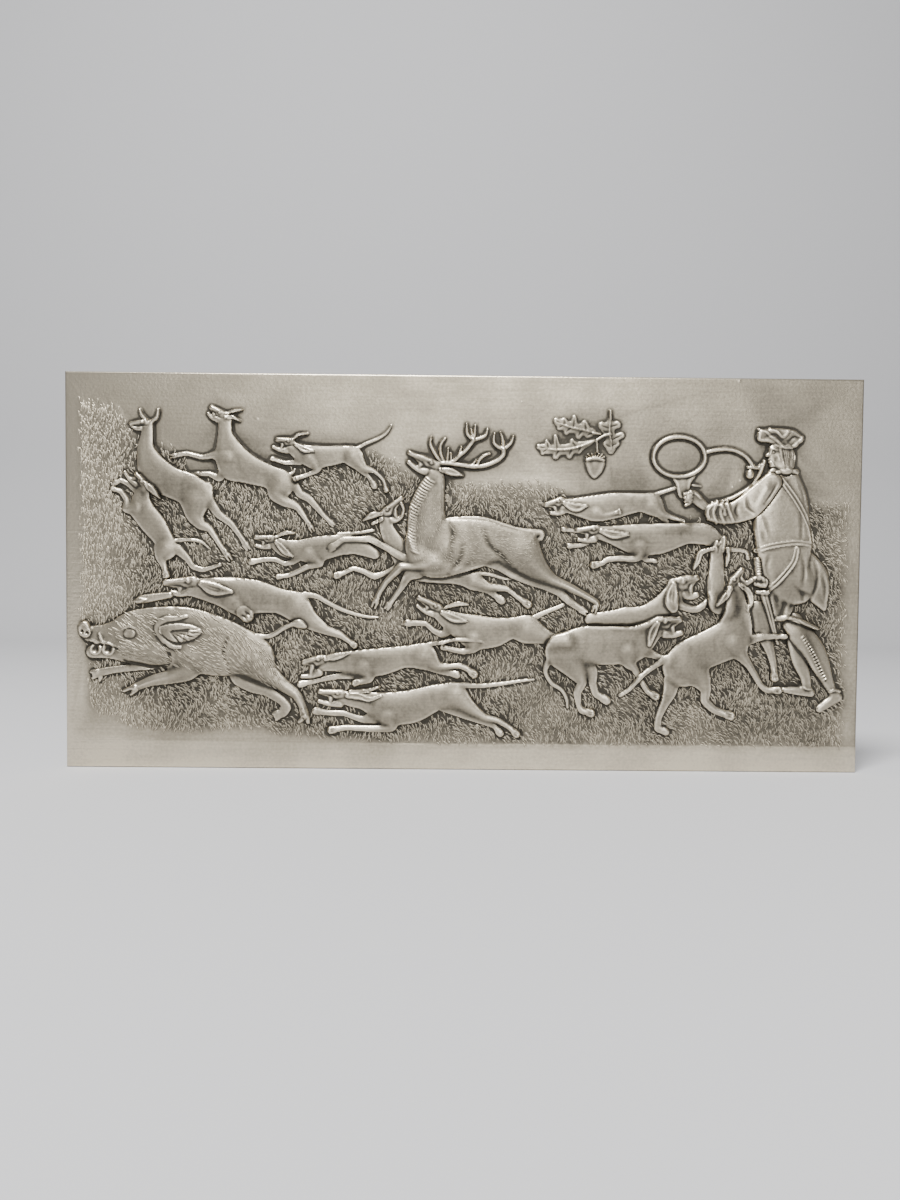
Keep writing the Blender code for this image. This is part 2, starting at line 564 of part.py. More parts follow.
        # the ear: an arched rim and a ragged flap below it
        fig.mass([(49.8, 70, 2.2), (56, 68.6, 4.6), (62.6, 68.8, 4.0),
                (67.4, 69.4, 1.6)], over=0.35, full=3.4)
        for tip in ((70, 70.8), (69.4, 68.6), (66.6, 66.2), (63, 64.2), (59, 62.9)):
            fig.mass([(*between((58, 69), tip, 0.5), 1.6), (*tip, 0.7)], over=0.2)
            fig.line([between((53, 69.6), tip, 0.1), tip], 0.5, -0.35)
        fig.mass([(61.4, 77, 0.8), (56, 75.8, 1.3), (51.4, 75.4, 1.6), (47.6, 73.2, 1.7),
                (47.0, 69.8, 1.5), (49.8, 65, 1.3), (54.6, 61.6, 1.1), (58.4, 61.4, 0.8)], over=0.4)
        fig.line([(81.5, 66), (79.9, 59), (82.3, 50.7)], 1.1, -0.4)
        fig.line([(95, 70), (84, 75), (70, 80), (55, 81.4), (40, 80.4)], 1.0, 0.3)
        self.sheet.lay(fig, ride=0.75)
        far_paw = Figure(self.sheet)
        far_paw.mass([(52.5, 87.4, 1.7), (46, 86.4, 2.1), (39, 85.2, 2.3), (36, 84.4, 1.5)], over=0.1)
        for reach in ((34.6, 85.8), (34, 84), (35, 82.6)):
            far_paw.line([(41, 85.2), reach], 0.45, 0.4)
        self.sheet.lay(far_paw, ride=0.25)

    def middle_hounds(self) -> None:
        """The hounds round the stag and the one at the right that looks up."""
        # the long hound under the stag's raised leg
        self.beast(trunk=[[(105, 114.4, 3.2), (110, 111.5, 4.3), (118, 110.6, 5.2), (128, 111.6, 6.2),
                (138, 113.3, 5.2), (146, 113, 4.4), (155, 109, 2.6)]],
              far=[[(117, 108, 3), (114, 104.8, 1.6), (110, 103.7, 1.2), (105.3, 105.7, 1.2),
                      (100, 105.7, 1.2), (94, 104.6, 1.4)]],
              near=[[(122, 109, 4.5), (127.6, 104, 1.9), (121.3, 102.3, 1.5), (116.7, 99.9, 1.3),
                      (112, 97.9, 1.2), (107.5, 97.2, 1.3)]],
              ears=[[(105.6, 117.3, 0.8), (110.5, 119.2, 1.2), (114.8, 119.2, 0.6)], [(106, 114.6, 1.1),
                      (110.2, 110, 1.7), (113.9, 107.6, 0.6)]],
              tail=[(137, 118.6, 1.2), (147, 119.5, 0.9), (154.3, 121, 0.8)],
              heads=[dict(skull=(103.2, 115.4), r=2.9, nose=(94.6, 116.9), jaw=(95.8, 112.2),
                      cheek=(102, 112.6))],
              seams=[[(116, 115), (115, 110), (118, 106)], [(139, 118), (137.5, 113), (140, 108.6)]])
        # the hound behind the grazing stag's rump, its head turned up to the right
        self.beast(trunk=[[(282, 78.6, 4.2), (292, 79.8, 4.8), (300, 84, 5.6), (305.5, 90, 5.4),
                (306.5, 94, 4.4)], [(264, 77, 3.0), (282, 78.6, 4.2)]],
              near=[[(304, 86, 4), (309, 84.5, 2.2), (314.5, 82.6, 1.9), (318.5, 82.9, 1.7),
                      (323, 86.5, 1.5)]],
              ears=[[(305.6, 94, 1.8), (306.2, 89, 3.3), (306.4, 84.4, 1.6)]],
              heads=[dict(skull=(308.8, 95.2), r=4.2, nose=(318.4, 98.6), jaw=(317.2, 89.8),
                      cheek=(311.2, 91.6), eye_size=0.3)],
              seams=[[(293, 84), (292, 80), (294, 76)]])
        # the hound under the stag's belly
        self.beast(trunk=[[(187.5, 79.6, 3.4), (192, 76.5, 4.6), (198, 73.4, 6.4), (206, 70.2, 8.6),
                (215, 70, 7.6), (224, 72.2, 5.4), (232, 71.8, 6.6)]],
              far=[[(193, 72, 3), (189.7, 68.6, 1.8), (185, 70.6, 1.4), (181, 74, 1.3),
                      (172.6, 74.3, 1.5)]],
              near=[[(205, 67, 5), (205, 61.6, 2.1), (200, 60.2, 1.6), (195, 61, 1.5), (190.5, 62.2, 1.5)],
                    [(232, 71.6, 6.8), (243, 67.6, 3.3), (250, 67.2, 1.8)]],
              ears=[[(191, 82.4, 0.9), (197, 84.3, 1.4), (202.2, 84, 0.6)], [(189.3, 79.8, 1.2),
                      (195, 77.2, 2.1), (201.4, 75.8, 0.7)]],
              tail=[(234, 76.4, 1.8), (239.5, 79.6, 1.2), (247, 82.7, 1.0), (250.3, 84.3, 0.9)],
              heads=[dict(skull=(187, 81.2), r=3.3, nose=(176.6, 87.6), jaw=(176.6, 82.6),
                      cheek=(184.6, 79.4))],
              seams=[[(200, 78), (198.5, 72), (201, 66.5)], [(225, 77), (223.5, 72), (226, 67.8)]])
        # the hound behind the stag, looking up at it
        self.beast(trunk=[[(160, 127, 3.0), (161.5, 121, 3.8), (166, 113, 5.0), (176, 103, 7),
                (196, 97.6, 3.6), (205, 96, 4.2)]],
              far=[[(205, 95, 3.8), (212.4, 91.6, 2.2), (215.8, 88.6, 1.6), (218.2, 86.8, 1.8)]],
              near=[[(172, 103, 4), (161, 99.6, 1.4), (155, 97.8, 1.7), (150, 100, 1.4),
                      (144.5, 101.5, 1.2), (140, 99.5, 1.2), (136.7, 98.2, 1.6)],
                    [(205, 95.6, 4.2), (212.4, 92.8, 2.4), (221.5, 92, 1.5), (226, 88.7, 1.2),
                            (231.6, 84.8, 1.8)]],
              ears=[[(158, 129.2, 1.1), (153.6, 128.3, 1.8), (149.3, 125.8, 0.6)], [(158.6, 126.6, 0.9),
                      (154, 124.2, 1.1)]],
              tail=[(206, 100, 1.2), (214, 99, 0.9), (219.3, 97.4, 0.8), (224, 97, 0.6)],
              heads=[dict(skull=(160.8, 129.4), r=3.2, nose=(169, 137.8), jaw=(168.8, 127.6),
                      cheek=(163.4, 126))],
                   extras=[[(168.2, 134.6, 1.0), (169.4, 131.8, 0.9), (168.8, 128.8, 1.0)]])

    def stag(self) -> None:
        """The stag at full stretch, its head thrown back."""
        fig = Figure(self.sheet)
        for leg in ([(181, 107, 5), (176, 105, 2.8), (169, 107.5, 2.0), (161, 112, 1.6),
                (153, 116.3, 1.8), (146, 116.3, 1.3), (139.5, 116, 1.3), (134.2, 112.4, 1.6)],
                    [(212, 107, 4), (218, 103.5, 2.6), (224, 99.4, 1.9), (232, 96, 1.8), (241, 94.4, 2.9),
                            (248, 90.6, 2.2), (253.3, 86, 2.0), (259.4, 81.8, 1.6)],
                    [(177, 102, 5), (172, 98, 2.6), (167.8, 91.2, 1.5), (164.2, 86, 1.2),
                            (162.4, 83.4, 1.4)]):
            fig.mass(leg, gain=0.88, ease=0.55)
            hoof(fig, leg)
        near_fore = [(190, 113, 9), (186, 106, 6.0), (181, 103.6, 3.4), (175, 102.6, 2.4),
                (168.6, 102.6, 2.2), (164.6, 98.8, 1.8), (160.8, 94.8, 1.6), (157.5, 89.6, 1.4),
                (155.6, 84.8, 1.6)]
        near_hind = [(228, 111, 10.2), (236.4, 102, 6.2), (244, 96.6, 3.6), (253, 93, 2.4),
                (262, 88.6, 1.7), (267, 85.4, 1.6), (266.2, 83, 1.4)]
        fig.mass([(184.6, 151.6, 3.7), (185, 147, 5.0), (182.8, 139.6, 7.2), (181, 131, 9.0),
                (181.8, 121, 10.6), (184.6, 111.4, 13.8), (195, 113.6, 14.4), (207, 115.6, 12.8),
                (217.5, 115.6, 10.0), (227, 112.4, 10.0)],
                 near_fore, near_hind, [(231, 118.6, 3.6), (236.4, 120.6, 1.7), (239, 120, 1.5),
                         (238.4, 117.6, 1.1)], blend=0.9, ease=0.8, full=2.7)
        fig.calm(0.9)
        for leg in (near_fore, near_hind):
            fig.swell(leg, 0.34, ease=0.6)
            hoof(fig, leg)
        fig.swell([(199, 122, 5), (200, 113, 7), (198, 106, 5)], 0.15)
        fig.swell([(183, 142, 4), (181.6, 130, 6), (182, 121, 6)], 0.15)
        head(fig, skull=(184.6, 152.8), r=3.8, nose=(171.4, 160.2), jaw=(171.6, 154.6), cheek=(181, 150.6),
                wide=0.42)
        ear(fig, (188.2, 151.6, 1.2), (193.4, 150.4, 2.1), (198.8, 148.8, 0.6))
        mane = smooth_path([(181.6, 146.5), (178, 141.4), (174.6, 135), (172.6, 129), (171.8, 123.6),
                (172.4, 117), (173.8, 111)], 1.7)
        for x, y in mane:
            fig.line([(x - 1.0, y + 0.9), (x + 1.0, y - 0.5), (x + 3.2, y - 1.4)], 0.5, 0.45)
        tines = (
            [(187.6, 154.6, 1.1), (190.7, 154.7, 1.1), (198.5, 154, 1.1), (203.7, 153.3, 1.1),
                    (209.8, 153.8, 1.1), (215.9, 156.3, 1.1), (218.9, 159.2, 1.2), (219.2, 161.6, 1.3)],
            [(219.2, 162, 1.1), (215.9, 163.6, 0.9), (214.2, 166, 0.8),
                    (214.6, 170, 0.4)], [(219, 162, 1.0), (218.7, 167, 0.8), (217.6, 170.5, 0.4)],
            [(219.6, 162.2, 1.0), (222.8, 165.3, 0.8), (224.1, 168.7, 0.4)],
            [(205.9, 153.8, 0.9), (207.2, 156.8, 0.8), (209.8, 159, 0.7),
                    (212.4, 159.9, 0.4)], [(203.7, 154.2, 0.7), (205.5, 156.6, 0.4)],
            [(189, 155, 1.0), (193.3, 155.3, 1.0), (196.8, 158.3, 1.0), (200.3, 161.4, 1.0),
                    (202.9, 164.8, 1.0), (204, 166.4, 1.2)],
            [(203.7, 166.6, 0.9), (200.9, 170, 0.8), (200.7, 174.8, 0.4)], [(204, 166.6, 0.9),
                    (202.9, 171.8, 0.4)], [(204.4, 166.6, 0.9), (205, 173.9, 0.4)],
            [(204.8, 166.6, 0.9), (209.8, 168.7, 0.8), (211.1, 172.2, 0.4)], [(196.8, 158.6, 0.8),
                    (198.1, 163.1, 0.4)],
            [(187.6, 155.6, 1.0), (184, 161.2, 0.9), (182.5, 164.8, 0.7), (182.9, 167.9, 0.4)],
            [(189.4, 155.4, 0.9), (187.8, 159.6, 0.8), (187.7, 164, 0.7), (190, 167.4, 0.4)],
            [(191.2, 156.2, 0.8), (191.5, 162.3, 0.4)], [(193, 156.2, 0.7), (192.8, 160, 0.4)])
        for tine in tines:
            fig.mass([(x, y, r + 0.14) for x, y, r in tine], gain=1.15, over=0.15)
        for seam in ([(192.5, 99.8), (197.7, 106.3), (199.5, 113)], [(209.8, 121), (212.4, 114.5),
                (219.3, 108), (225.4, 102)], [(190.5, 127), (194, 120), (193.4, 111)]):
            fig.line(seam, 1.7, -0.42)
        fig.line([(192, 127), (203, 127), (213, 126), (222, 123), (234, 120)], 0.7, -0.25)
        self.sheet.lay(fig, ride=0.75)

    def lower_hounds(self) -> None:
        """The two hounds stretched out along the bottom."""
        # the hound at the boar's tail
        self.beast(trunk=[[(129.6, 53.4, 3.8), (135, 54.2, 4.6), (146, 54.2, 6.2), (158, 54.6, 7.0),
                (170, 57.2, 5.6), (180, 57.8, 6.2)]],
              far=[[(152, 50, 3), (148, 47.5, 1.7), (138, 47.3, 1.6), (128, 45.2, 1.2), (119.2, 43.2, 1.5)],
                   [(180, 55, 4), (188, 50.4, 1.8), (196, 48.6, 1.6)]],
              near=[[(150, 52, 5), (152.3, 46.4, 2.6), (146.2, 44, 1.5)],
                    [(180, 57.4, 6.2), (187, 52.6, 2.8), (193, 52.3, 1.7), (198, 52.9, 1.5),
                            (202, 51.4, 1.5), (204.8, 49.2, 1.8)]],
              ears=[[(130.6, 56, 1.0), (136.4, 57.4, 1.7), (143, 59.2, 0.5)]],
              tail=[(182, 63.4, 1.3), (189.7, 64.8, 1.0), (195, 66, 0.9), (201.7, 66.3, 0.8),
                      (208.3, 65.7, 0.6), (211, 64.7, 0.4)],
              heads=[dict(skull=(128.6, 54.6), r=3.6, nose=(118.8, 54), jaw=(119, 46.2),
                      cheek=(127.2, 49))],
              seams=[[(142, 59), (140.5, 54), (142.5, 49)], [(171, 62), (170, 57), (172.5, 52)]])
        # the hound stretched along the bottom
        self.beast(trunk=[[(139, 36.6, 3.2), (144, 35.6, 3.9), (151, 34.6, 4.8), (162, 31.2, 8.0),
                (174, 32, 8.4), (186, 36.6, 6.6), (195, 38, 6.2)]],
              far=[[(156, 27, 4), (150, 25.2, 1.8), (145, 26.5, 1.4), (140, 28.2, 1.4),
                      (131.7, 28.5, 1.4), (126.8, 29.3, 1.6)],
                   [(190, 33, 3.4), (201, 27.8, 1.9), (210, 24.5, 1.4), (216, 22.4, 1.3),
                           (218.4, 19.6, 1.6)]],
              near=[[(162, 27, 5), (164, 21.6, 2.4), (155.7, 20.5, 1.7), (141.7, 21, 1.4),
                      (134.5, 19.9, 1.7)],
                    [(196, 38, 6.2), (203, 32, 3.8), (211, 26.8, 2.0), (218, 25, 1.6), (223.6, 21.8, 1.3),
                            (226.6, 19, 1.7)]],
              ears=[[(142, 37.6, 1.3), (148.3, 37.1, 1.6), (153, 35.8, 1.1),
                      (158.8, 37.6, 0.6)], [(143, 39.6, 0.9), (151.7, 40, 1.1), (158, 42, 0.5)]],
              tail=[(198, 43, 1.6), (208.3, 42.8, 1.2), (217.7, 43.7, 1.0), (228.3, 45.3, 0.8),
                      (235.7, 46.3, 0.5)],
              heads=[dict(skull=(138.4, 37.2), r=3.3, nose=(127, 39.4), jaw=(127.4, 33.8),
                      cheek=(138, 33.4))],
              seams=[[(157, 37), (154.5, 31), (157, 25)], [(186, 43), (184.5, 37), (187, 31.6)]])

    def right_hounds(self) -> None:
        """The two hounds in file at the right."""
        # the two hounds in file, muzzles to the left
        self.beast(trunk=[[(249, 134.4, 3.2), (255, 133.7, 4.2), (265, 133, 6.4), (275, 134.4, 6.4),
                (287, 136, 4.8), (294, 135.6, 5.0)]],
              far=[[(293, 134, 3.4), (297, 130.6, 1.8), (301, 127, 1.2)]],
              near=[[(266, 131, 4), (270, 129.4, 1.8), (276.8, 131.1, 1.0)], [(294, 135, 5),
                      (299, 130.5, 2.5), (303, 129.2, 1.4), (309, 127, 1.2)]],
              ears=[[(250, 135.4, 1.1), (255.4, 133.2, 2.2), (261, 134.2, 0.7)]],
              tail=[(296, 140, 1.2), (300, 141.6, 0.9), (306.9, 143.8, 0.8), (312.4, 145.2, 0.7),
                      (318.6, 144.6, 0.4)],
              heads=[dict(skull=(248.4, 135.6), r=3.2, nose=(240, 134.4), jaw=(243.6, 129.9),
                      cheek=(249, 131.6))],
              seams=[[(258, 138), (257, 133), (260, 128.6)], [(285, 140), (284, 136), (287, 132)]])
        self.beast(trunk=[[(268, 120.7, 3.4), (274, 119.7, 4.6), (285, 117.8, 7.4), (297, 117.8, 7.8),
                (311, 120.6, 5.4), (321, 120.4, 5.4), (328, 116.6, 3.2)]],
              far=[[(257, 121.4, 1.0), (250.4, 122.2, 1.1)], [(262, 115.6, 1.2), (258, 114.2, 1.1),
                      (253.4, 114, 1.2)],
                   [(290, 111, 3), (291, 107.6, 1.4), (295.6, 106.8, 1.0)]],
              near=[[(288, 114, 4.5), (288, 109.4, 2.4), (285.6, 107.6, 1.6), (279, 107.8, 1.5),
                      (272.4, 107.3, 1.4), (269.3, 105.3, 1.3), (266, 104.6, 1.7)]],
              ears=[[(268.6, 121.6, 1.2), (275, 119.8, 2.1), (282, 120, 0.8)]],
              heads=[dict(skull=(266.4, 121.4), r=3.4, nose=(256, 121.9), jaw=(257.6, 116.6),
                      cheek=(265, 117.8))],
              seams=[[(280, 124), (278.5, 118), (281, 112)], [(310, 125), (308.5, 120), (311, 115.4)]])

    def tall_hound(self) -> None:
        """The hound upright behind the rearing one."""
        # the hound upright behind the rearing one
        self.beast(trunk=[[(327, 112, 3.2), (327, 104, 3.8), (327, 95, 4.6),
                (329, 86, 6)], [(348, 82, 5.2), (350.4, 76, 5.4), (352.6, 70, 3.8)]],
              far=[[(330, 112.6, 1.6), (337.7, 112.7, 1.1), (342, 111.8, 1.0), (342.8, 109.2, 0.9)]],
              near=[[(352, 70, 3.6), (355.2, 61, 2.3), (357, 54, 1.7), (357.4, 49, 1.8)]],
              ears=[[(324.4, 113.2, 1.0), (318.9, 111, 1.5), (317.3, 106.6, 1.5),
                      (315.6, 103.2, 0.8)], [(332.8, 113.6, 0.8), (332.6, 108.9, 1.2),
                      (331.8, 104.6, 0.7)]],
              heads=[dict(skull=(328.4, 112.6), r=2.6, nose=(331, 119.6), jaw=(326.6, 116.8),
                      cheek=(326.6, 113.6))])

    def front_hounds(self) -> None:
        """The two large hounds in front of the huntsman."""
        # the hound facing right, head low
        self.beast(trunk=[[(250.5, 61.4, 8.4), (262, 63.8, 9.8), (275, 63.9, 9.8), (286, 65, 8.8),
                (294, 70.6, 5.6), (299, 74.6, 4.4)]],
              far=[[(258, 58, 6), (264.5, 51, 3.4), (265.5, 45, 2.1), (267.2, 39.4, 1.9),
                      (271.6, 36.6, 1.9)], [(290, 62, 4), (295, 59.8, 2.2), (300, 57.6, 1.5)]],
              near=[[(250, 60.4, 8.6), (257, 51.4, 5.4), (260, 45.4, 2.7), (257.8, 39.8, 2.1),
                      (258.7, 33.4, 1.5), (260.4, 30.8, 1.9), (264, 29.6, 1.8)],
                    [(283, 61, 5.5), (283.6, 55.4, 3.2), (286.4, 52.3, 2.0), (289.5, 47, 1.5),
                            (293.4, 40.8, 1.6), (296.8, 38.6, 1.8)]],
              ears=[[(297.4, 74.4, 1.4), (296.4, 68.6, 2.2), (298, 62.6, 1.1)]],
              tail=[(244, 57, 2.0), (241.6, 52, 1.3), (242.3, 48.3, 1.1), (245, 44.3, 1.1),
                      (249.7, 41.2, 1.0), (252.3, 37, 0.9), (253, 32.3, 0.6)],
              heads=[dict(skull=(300.6, 75), r=3.8, nose=(309.2, 75.6), jaw=(309.6, 69), cheek=(301, 70))],
              seams=[[(291, 72), (286, 66), (286.4, 57)], [(261, 72), (262, 64), (259, 56.5)], [(270, 71),
                      (271, 64), (269, 58)]])
        # the rearing hound, seen from behind, looking up
        self.beast(trunk=[[(336.2, 93, 4.2), (337, 86, 5.4), (337.4, 79, 6.8), (335.4, 69, 9.6),
                (326, 63.6, 9.4), (315, 58.6, 9.0), (310.4, 53, 9.8)]],
              far=[[(308, 52, 6), (305.4, 45, 4.2), (304.4, 40, 3.4), (301.6, 33.6, 2.2), (299, 27, 1.7),
                      (299, 22, 2.0), (302, 20.6, 1.6)],
                   [(340, 68, 5), (345, 67.6, 2.6), (351.5, 69.1, 1.5), (361, 69.2, 1.2)]],
              near=[[(312, 55, 9), (319, 48.6, 5.8), (322.6, 42, 2.8), (322.6, 36.2, 2.3),
                      (327.4, 31.6, 2.0), (334.6, 28.9, 2.0)],
                    [(336, 66, 6), (340.4, 59.6, 3.4), (344.3, 54.6, 2.1), (347.8, 49, 1.7),
                            (350.5, 44.4, 1.6), (353.8, 42, 1.7), (358.4, 41.8, 1.7)]],
              ears=[[(338.8, 95.4, 1.1), (343.3, 91.6, 1.5), (344.2, 86.5, 1.4),
                      (342.5, 82.3, 0.6)], [(334.2, 93.6, 1.0), (330.6, 88.4, 1.5), (327.2, 84.7, 0.6)]],
              tail=[(302.4, 57.6, 1.9), (296, 53, 1.3), (290, 48.3, 1.2), (284, 41.6, 1.1),
                      (279.6, 38.5, 0.9)],
              heads=[dict(skull=(336.4, 96.2), r=3.4, nose=(340.4, 103.6), jaw=(345, 97.2),
                      cheek=(338.8, 95.2))],
              seams=[[(331, 74), (326, 66), (329, 57)], [(313, 66.5), (314.5, 60),
                      (310.5, 52)], [(337, 92), (336.4, 84), (338, 76)]])

    def huntsman(self) -> None:
        """The huntsman in coat and cocked hat, blowing his horn."""
        self.legs_and_shoes()
        self.coat()
        self.sleeve_and_hand()
        self.head_and_hat()

    def legs_and_shoes(self) -> None:
        """The huntsman's far leg, and the near one with its buttoned gaiter."""
        far = Figure(self.sheet)
        far.mass([(366.4, 70, 3.6), (367.6, 65.6, 3.9), (370, 57, 4.0), (373, 49, 2.9), (374, 43.5, 2.4)],
                 [(362.4, 42, 1.4), (368.4, 41.6, 2.1), (376, 40.6, 2.2)], blend=0.8)
        far.line([(371.4, 43.8), (374.4, 42.6), (377, 43.2)], 0.5, 0.4)
        far.line([(361.8, 40.6), (368, 39.9), (376, 38.8)], 0.4, 0.3)
        self.sheet.lay(far, ride=0.7)
        near = Figure(self.sheet)
        near.mass([(366.4, 76, 5.6), (371.4, 69, 6.4), (377, 62, 6.0), (380.2, 56, 5.2), (383.4, 49, 3.6),
                (387, 41.6, 2.3), (388.2, 39.4, 2.4)],
                  [(389.4, 38.6, 2.7), (385, 35.6, 2.3), (380.6, 32.4, 1.8)], blend=0.6, ease=0.8)
        near.calm(0.6)
        near.mass([(385.4, 41.4, 0.8), (388, 42.4, 0.8), (390.6, 41.6, 0.8)], over=0.4)
        near.line([(391.4, 36.6), (385.6, 33.2), (380.8, 30.4)], 0.4, 0.3)
        seam = smooth_path([(370.6, 69.3), (374.2, 64.0), (377.4, 58.4), (380.4, 52.2), (383.4, 46.4)], 1.9)
        near.line([tuple(q) for q in seam], 0.35, -0.35)
        for a, b in zip(seam, seam[1:]):
            across = np.array([b[1] - a[1], a[0] - b[0]]) / np.hypot(*(b - a))
            near.line([tuple(a - 1.1 * across), tuple(a + 1.1 * across)], 0.4, 0.5)
        self.sheet.lay(near, ride=0.75)

    def coat(self) -> None:
        """The coat with its belt, baldric and skirts, over the breeches and the gaiter's top."""
        fig = Figure(self.sheet)
        fig.mass([(361, 98, 9.4), (361.4, 90, 5.6), (361.4, 83, 4.0),
                (361, 78.6, 3.2)], blend=1.0, full=3.2)
        for fold in ([(352, 99), (356, 92), (357.6, 85)], [(362, 95), (361.4, 87), (360, 80)], [(366, 92),
                (365.6, 86), (363, 81)]):
            fig.line(fold, 0.9, -0.4)
        fig.mass([(371, 108, 5.6), (375.6, 100, 7.6), (377.8, 93, 6.4), (380, 87.6, 3.6),
                (381.8, 83.6, 1.4)], blend=1.2, full=3.4)
        fig.mass([(359, 147, 9.0), (359.6, 137, 12.4), (359, 127, 14.2), (360.4, 117.6, 13.8)],
                 [(360.6, 114, 13.4), (361.4, 103, 11.8), (365, 96, 10.6),
                         (369.4, 91.6, 5.8)], blend=1.0, full=3.6, over=0.12)
        for fold in ([(375.8, 108), (377.4, 101), (376.8, 94.6), (374.2, 88.6)], [(379.6, 101),
                (381.6, 94), (381.6, 87)], [(352.4, 110), (351, 103.6), (353.2, 98)],
                     [(369, 110), (370.4, 103), (369.6, 95)]):
            fig.line(fold, 0.9, -0.36)
        fig.swell([(355, 134, 7), (355, 124, 8)], 0.2)
        for fold in ([(365.6, 152), (369, 142), (371.4, 131)], [(368, 152), (371, 143),
                (372.6, 134)], [(352.6, 120), (350.6, 127), (347.6, 131.4)],
                     [(367.6, 131), (368.6, 124), (368.4, 118)], [(350, 117), (349, 122)]):
            fig.line(fold, 0.8, -0.4)
        fig.calm(0.5)
        for band, wide in (([(346.6, 112.4), (353, 114.7), (360, 116), (367, 116.7), (374.6, 116)], 1.35),
                           ([(356.6, 150), (362.1, 142.9), (366.7, 136.2), (370.7, 129.2), (373.6, 122.4),
                                   (374.6, 117.4)], 1.45),
                           ([(366.5, 113.4), (365.2, 107.4), (361.4, 101.7), (357, 96.8),
                                   (353.2, 93.4)], 1.45)):
            fig.mass([(*q, wide) for q in band], over=0.3, full=4)
            fig.line(band, 0.55, -0.34)
        fig.mass([(356.2, 77.4, 1.2), (359.6, 78.8, 1.7), (363.3, 78.2, 1.6), (367, 78.4, 1.9),
                (370.3, 76, 1.7), (374, 75.2, 1.7), (378.4, 73.4, 1.2)], over=0.35)
        fig.line([(357, 77.6), (363, 77.6), (367.4, 77.4), (371, 75), (377, 73.4)], 0.4, -0.3)
        self.sheet.lay(fig, ride=0.7)

    def sleeve_and_hand(self) -> None:
        """The near arm with its gathered sleeve, and the hand round the horn."""
        arm = Figure(self.sheet)
        arm.mass([(313, 138.4, 2.8), (316, 138.4, 3.1), (318.6, 136.2, 2.7), (322, 133.6, 2.3),
                (326, 131.6, 2.6)], blend=0.5)
        arm.mass([(353.6, 146.6, 5.2), (348.4, 140.6, 6.2), (342.6, 134.8, 6.6), (335.4, 131.4, 5.6),
                (329, 131, 5.4), (325.4, 131.4, 5.0)],
                 full=3.0, over=0.12, ease=0.8)
        arm.swell([(350, 143, 5), (343, 135.4, 5.6)], 0.3)
        for fold in ([(324.6, 136.2), (321.6, 132.6), (322.2, 128.2)], [(326.8, 137), (324.6, 131.6),
                (326.4, 126.2)], [(329.6, 137.2), (328.2, 131.8), (330.4, 125.8)],
                     [(331.6, 137.4), (332.2, 133), (334.8, 127)], [(326, 136.2), (329.6, 134),
                             (330.4, 130.6)]):
            arm.mass([(*q, 0.95) for q in fold], over=0.32)
        for fold in ([(336.6, 136), (335.6, 132), (337.6, 128)], [(341, 138.6), (341.8, 134),
                (345.6, 130.6)], [(349.4, 136), (352.6, 140.6), (355.4, 145.6)]):
            arm.line(fold, 0.8, -0.36)
        for k in range(4):
            arm.mass([(313.8 - 0.3 * k, 141.2 - 1.75 * k, 1.0),
                    (310.2 + 0.25 * k, 140.4 - 1.8 * k, 0.95)], over=0.3)
        arm.mass([(318, 139.2, 1.2), (316, 141.2, 1.1), (313.2, 141.8, 1.0)], over=0.3)
        self.sheet.lay(arm, ride=0.55)

    def head_and_hat(self) -> None:
        """The head in plain profile, with tied-back hair, collar and cocked hat."""
        fig = Figure(self.sheet)
        fig.mass([(360.6, 153.6, 3.8), (359.4, 156, 4.2), (359, 160.6, 5.6)], [(356.2, 162.6, 4.3),
                (355.6, 159, 3.4), (354.6, 156.4, 2.0)], blend=0.9)
        fig.mass([(352.9, 162.0, 0.8), (351.5, 160.3, 1.0)], over=0.2)
        for x, y, r in ((352.3, 158.3, 0.7), (352.5, 157.0, 0.7), (353.4, 155.2, 1.1)):
            fig.mass([(x, y, r), (x + 0.5, y, r)], over=0.15)
        fig.line([(351.6, 157.7), (353.8, 157.6)], 0.26, -0.35)
        fig.line([(352.6, 163.2), (354.4, 163.6), (356.2, 163.0)], 0.4, 0.35)
        fig.dot(354.4, 161.9, 0.95, -0.35)
        fig.dot(354.4, 161.9, 0.5, 0.5)
        fig.swell([(356.4, 160, 2.2), (357, 158.6, 2.2)], 0.25)
        fig.mass([(361.4, 164, 3.2), (362.6, 159.4, 3.3), (362.4, 155.6, 2.8)], [(358.4, 163.6, 1.4),
                (359.2, 160.4, 1.4), (360.4, 157, 1.6)], over=0.16)
        for k in range(6):
            fig.line([(358.6 + 1.1 * k, 163.6), (359.6 + 1.0 * k, 159),
                    (360.2 + 0.8 * k, 153.8)], 0.42, -0.36)
        fig.mass([(356, 151.6, 1.2), (361, 152.2, 1.5), (366, 152.2, 1.5)], over=0.3)
        fig.mass([(348.8, 170.6, 2.6), (356, 170.4, 3.6), (363, 169.8, 3.6), (367.6, 168.6, 2.2)],
                 [(348.2, 168.8, 1.8), (353.4, 168.6, 2.2), (359, 166.6, 3.0),
                         (364.6, 166.4, 2.6)], blend=0.7, over=0.2, full=3.0)
        for fold in ([(347.2, 173.2), (350.4, 172.2), (353, 169.6), (356, 167.6), (359.6, 164.6),
                (363.4, 164.4), (366.8, 167), (369.2, 169.6)],
                     [(352.8, 173.6), (355.6, 172.4), (358.2, 169.8), (360, 170.2), (362, 172.6),
                             (365.6, 172.2)]):
            fig.mass([(*q, 0.85) for q in fold], over=0.28)
        fig.line([(350, 169.6), (354.4, 170.6), (358, 168)], 0.8, -0.35)
        fig.line([(361.6, 167.4), (364.4, 169.6), (367, 169)], 0.8, -0.35)
        fig.dot(369.4, 170.4, 0.7, 0.4)
        self.sheet.lay(fig, ride=0.5)

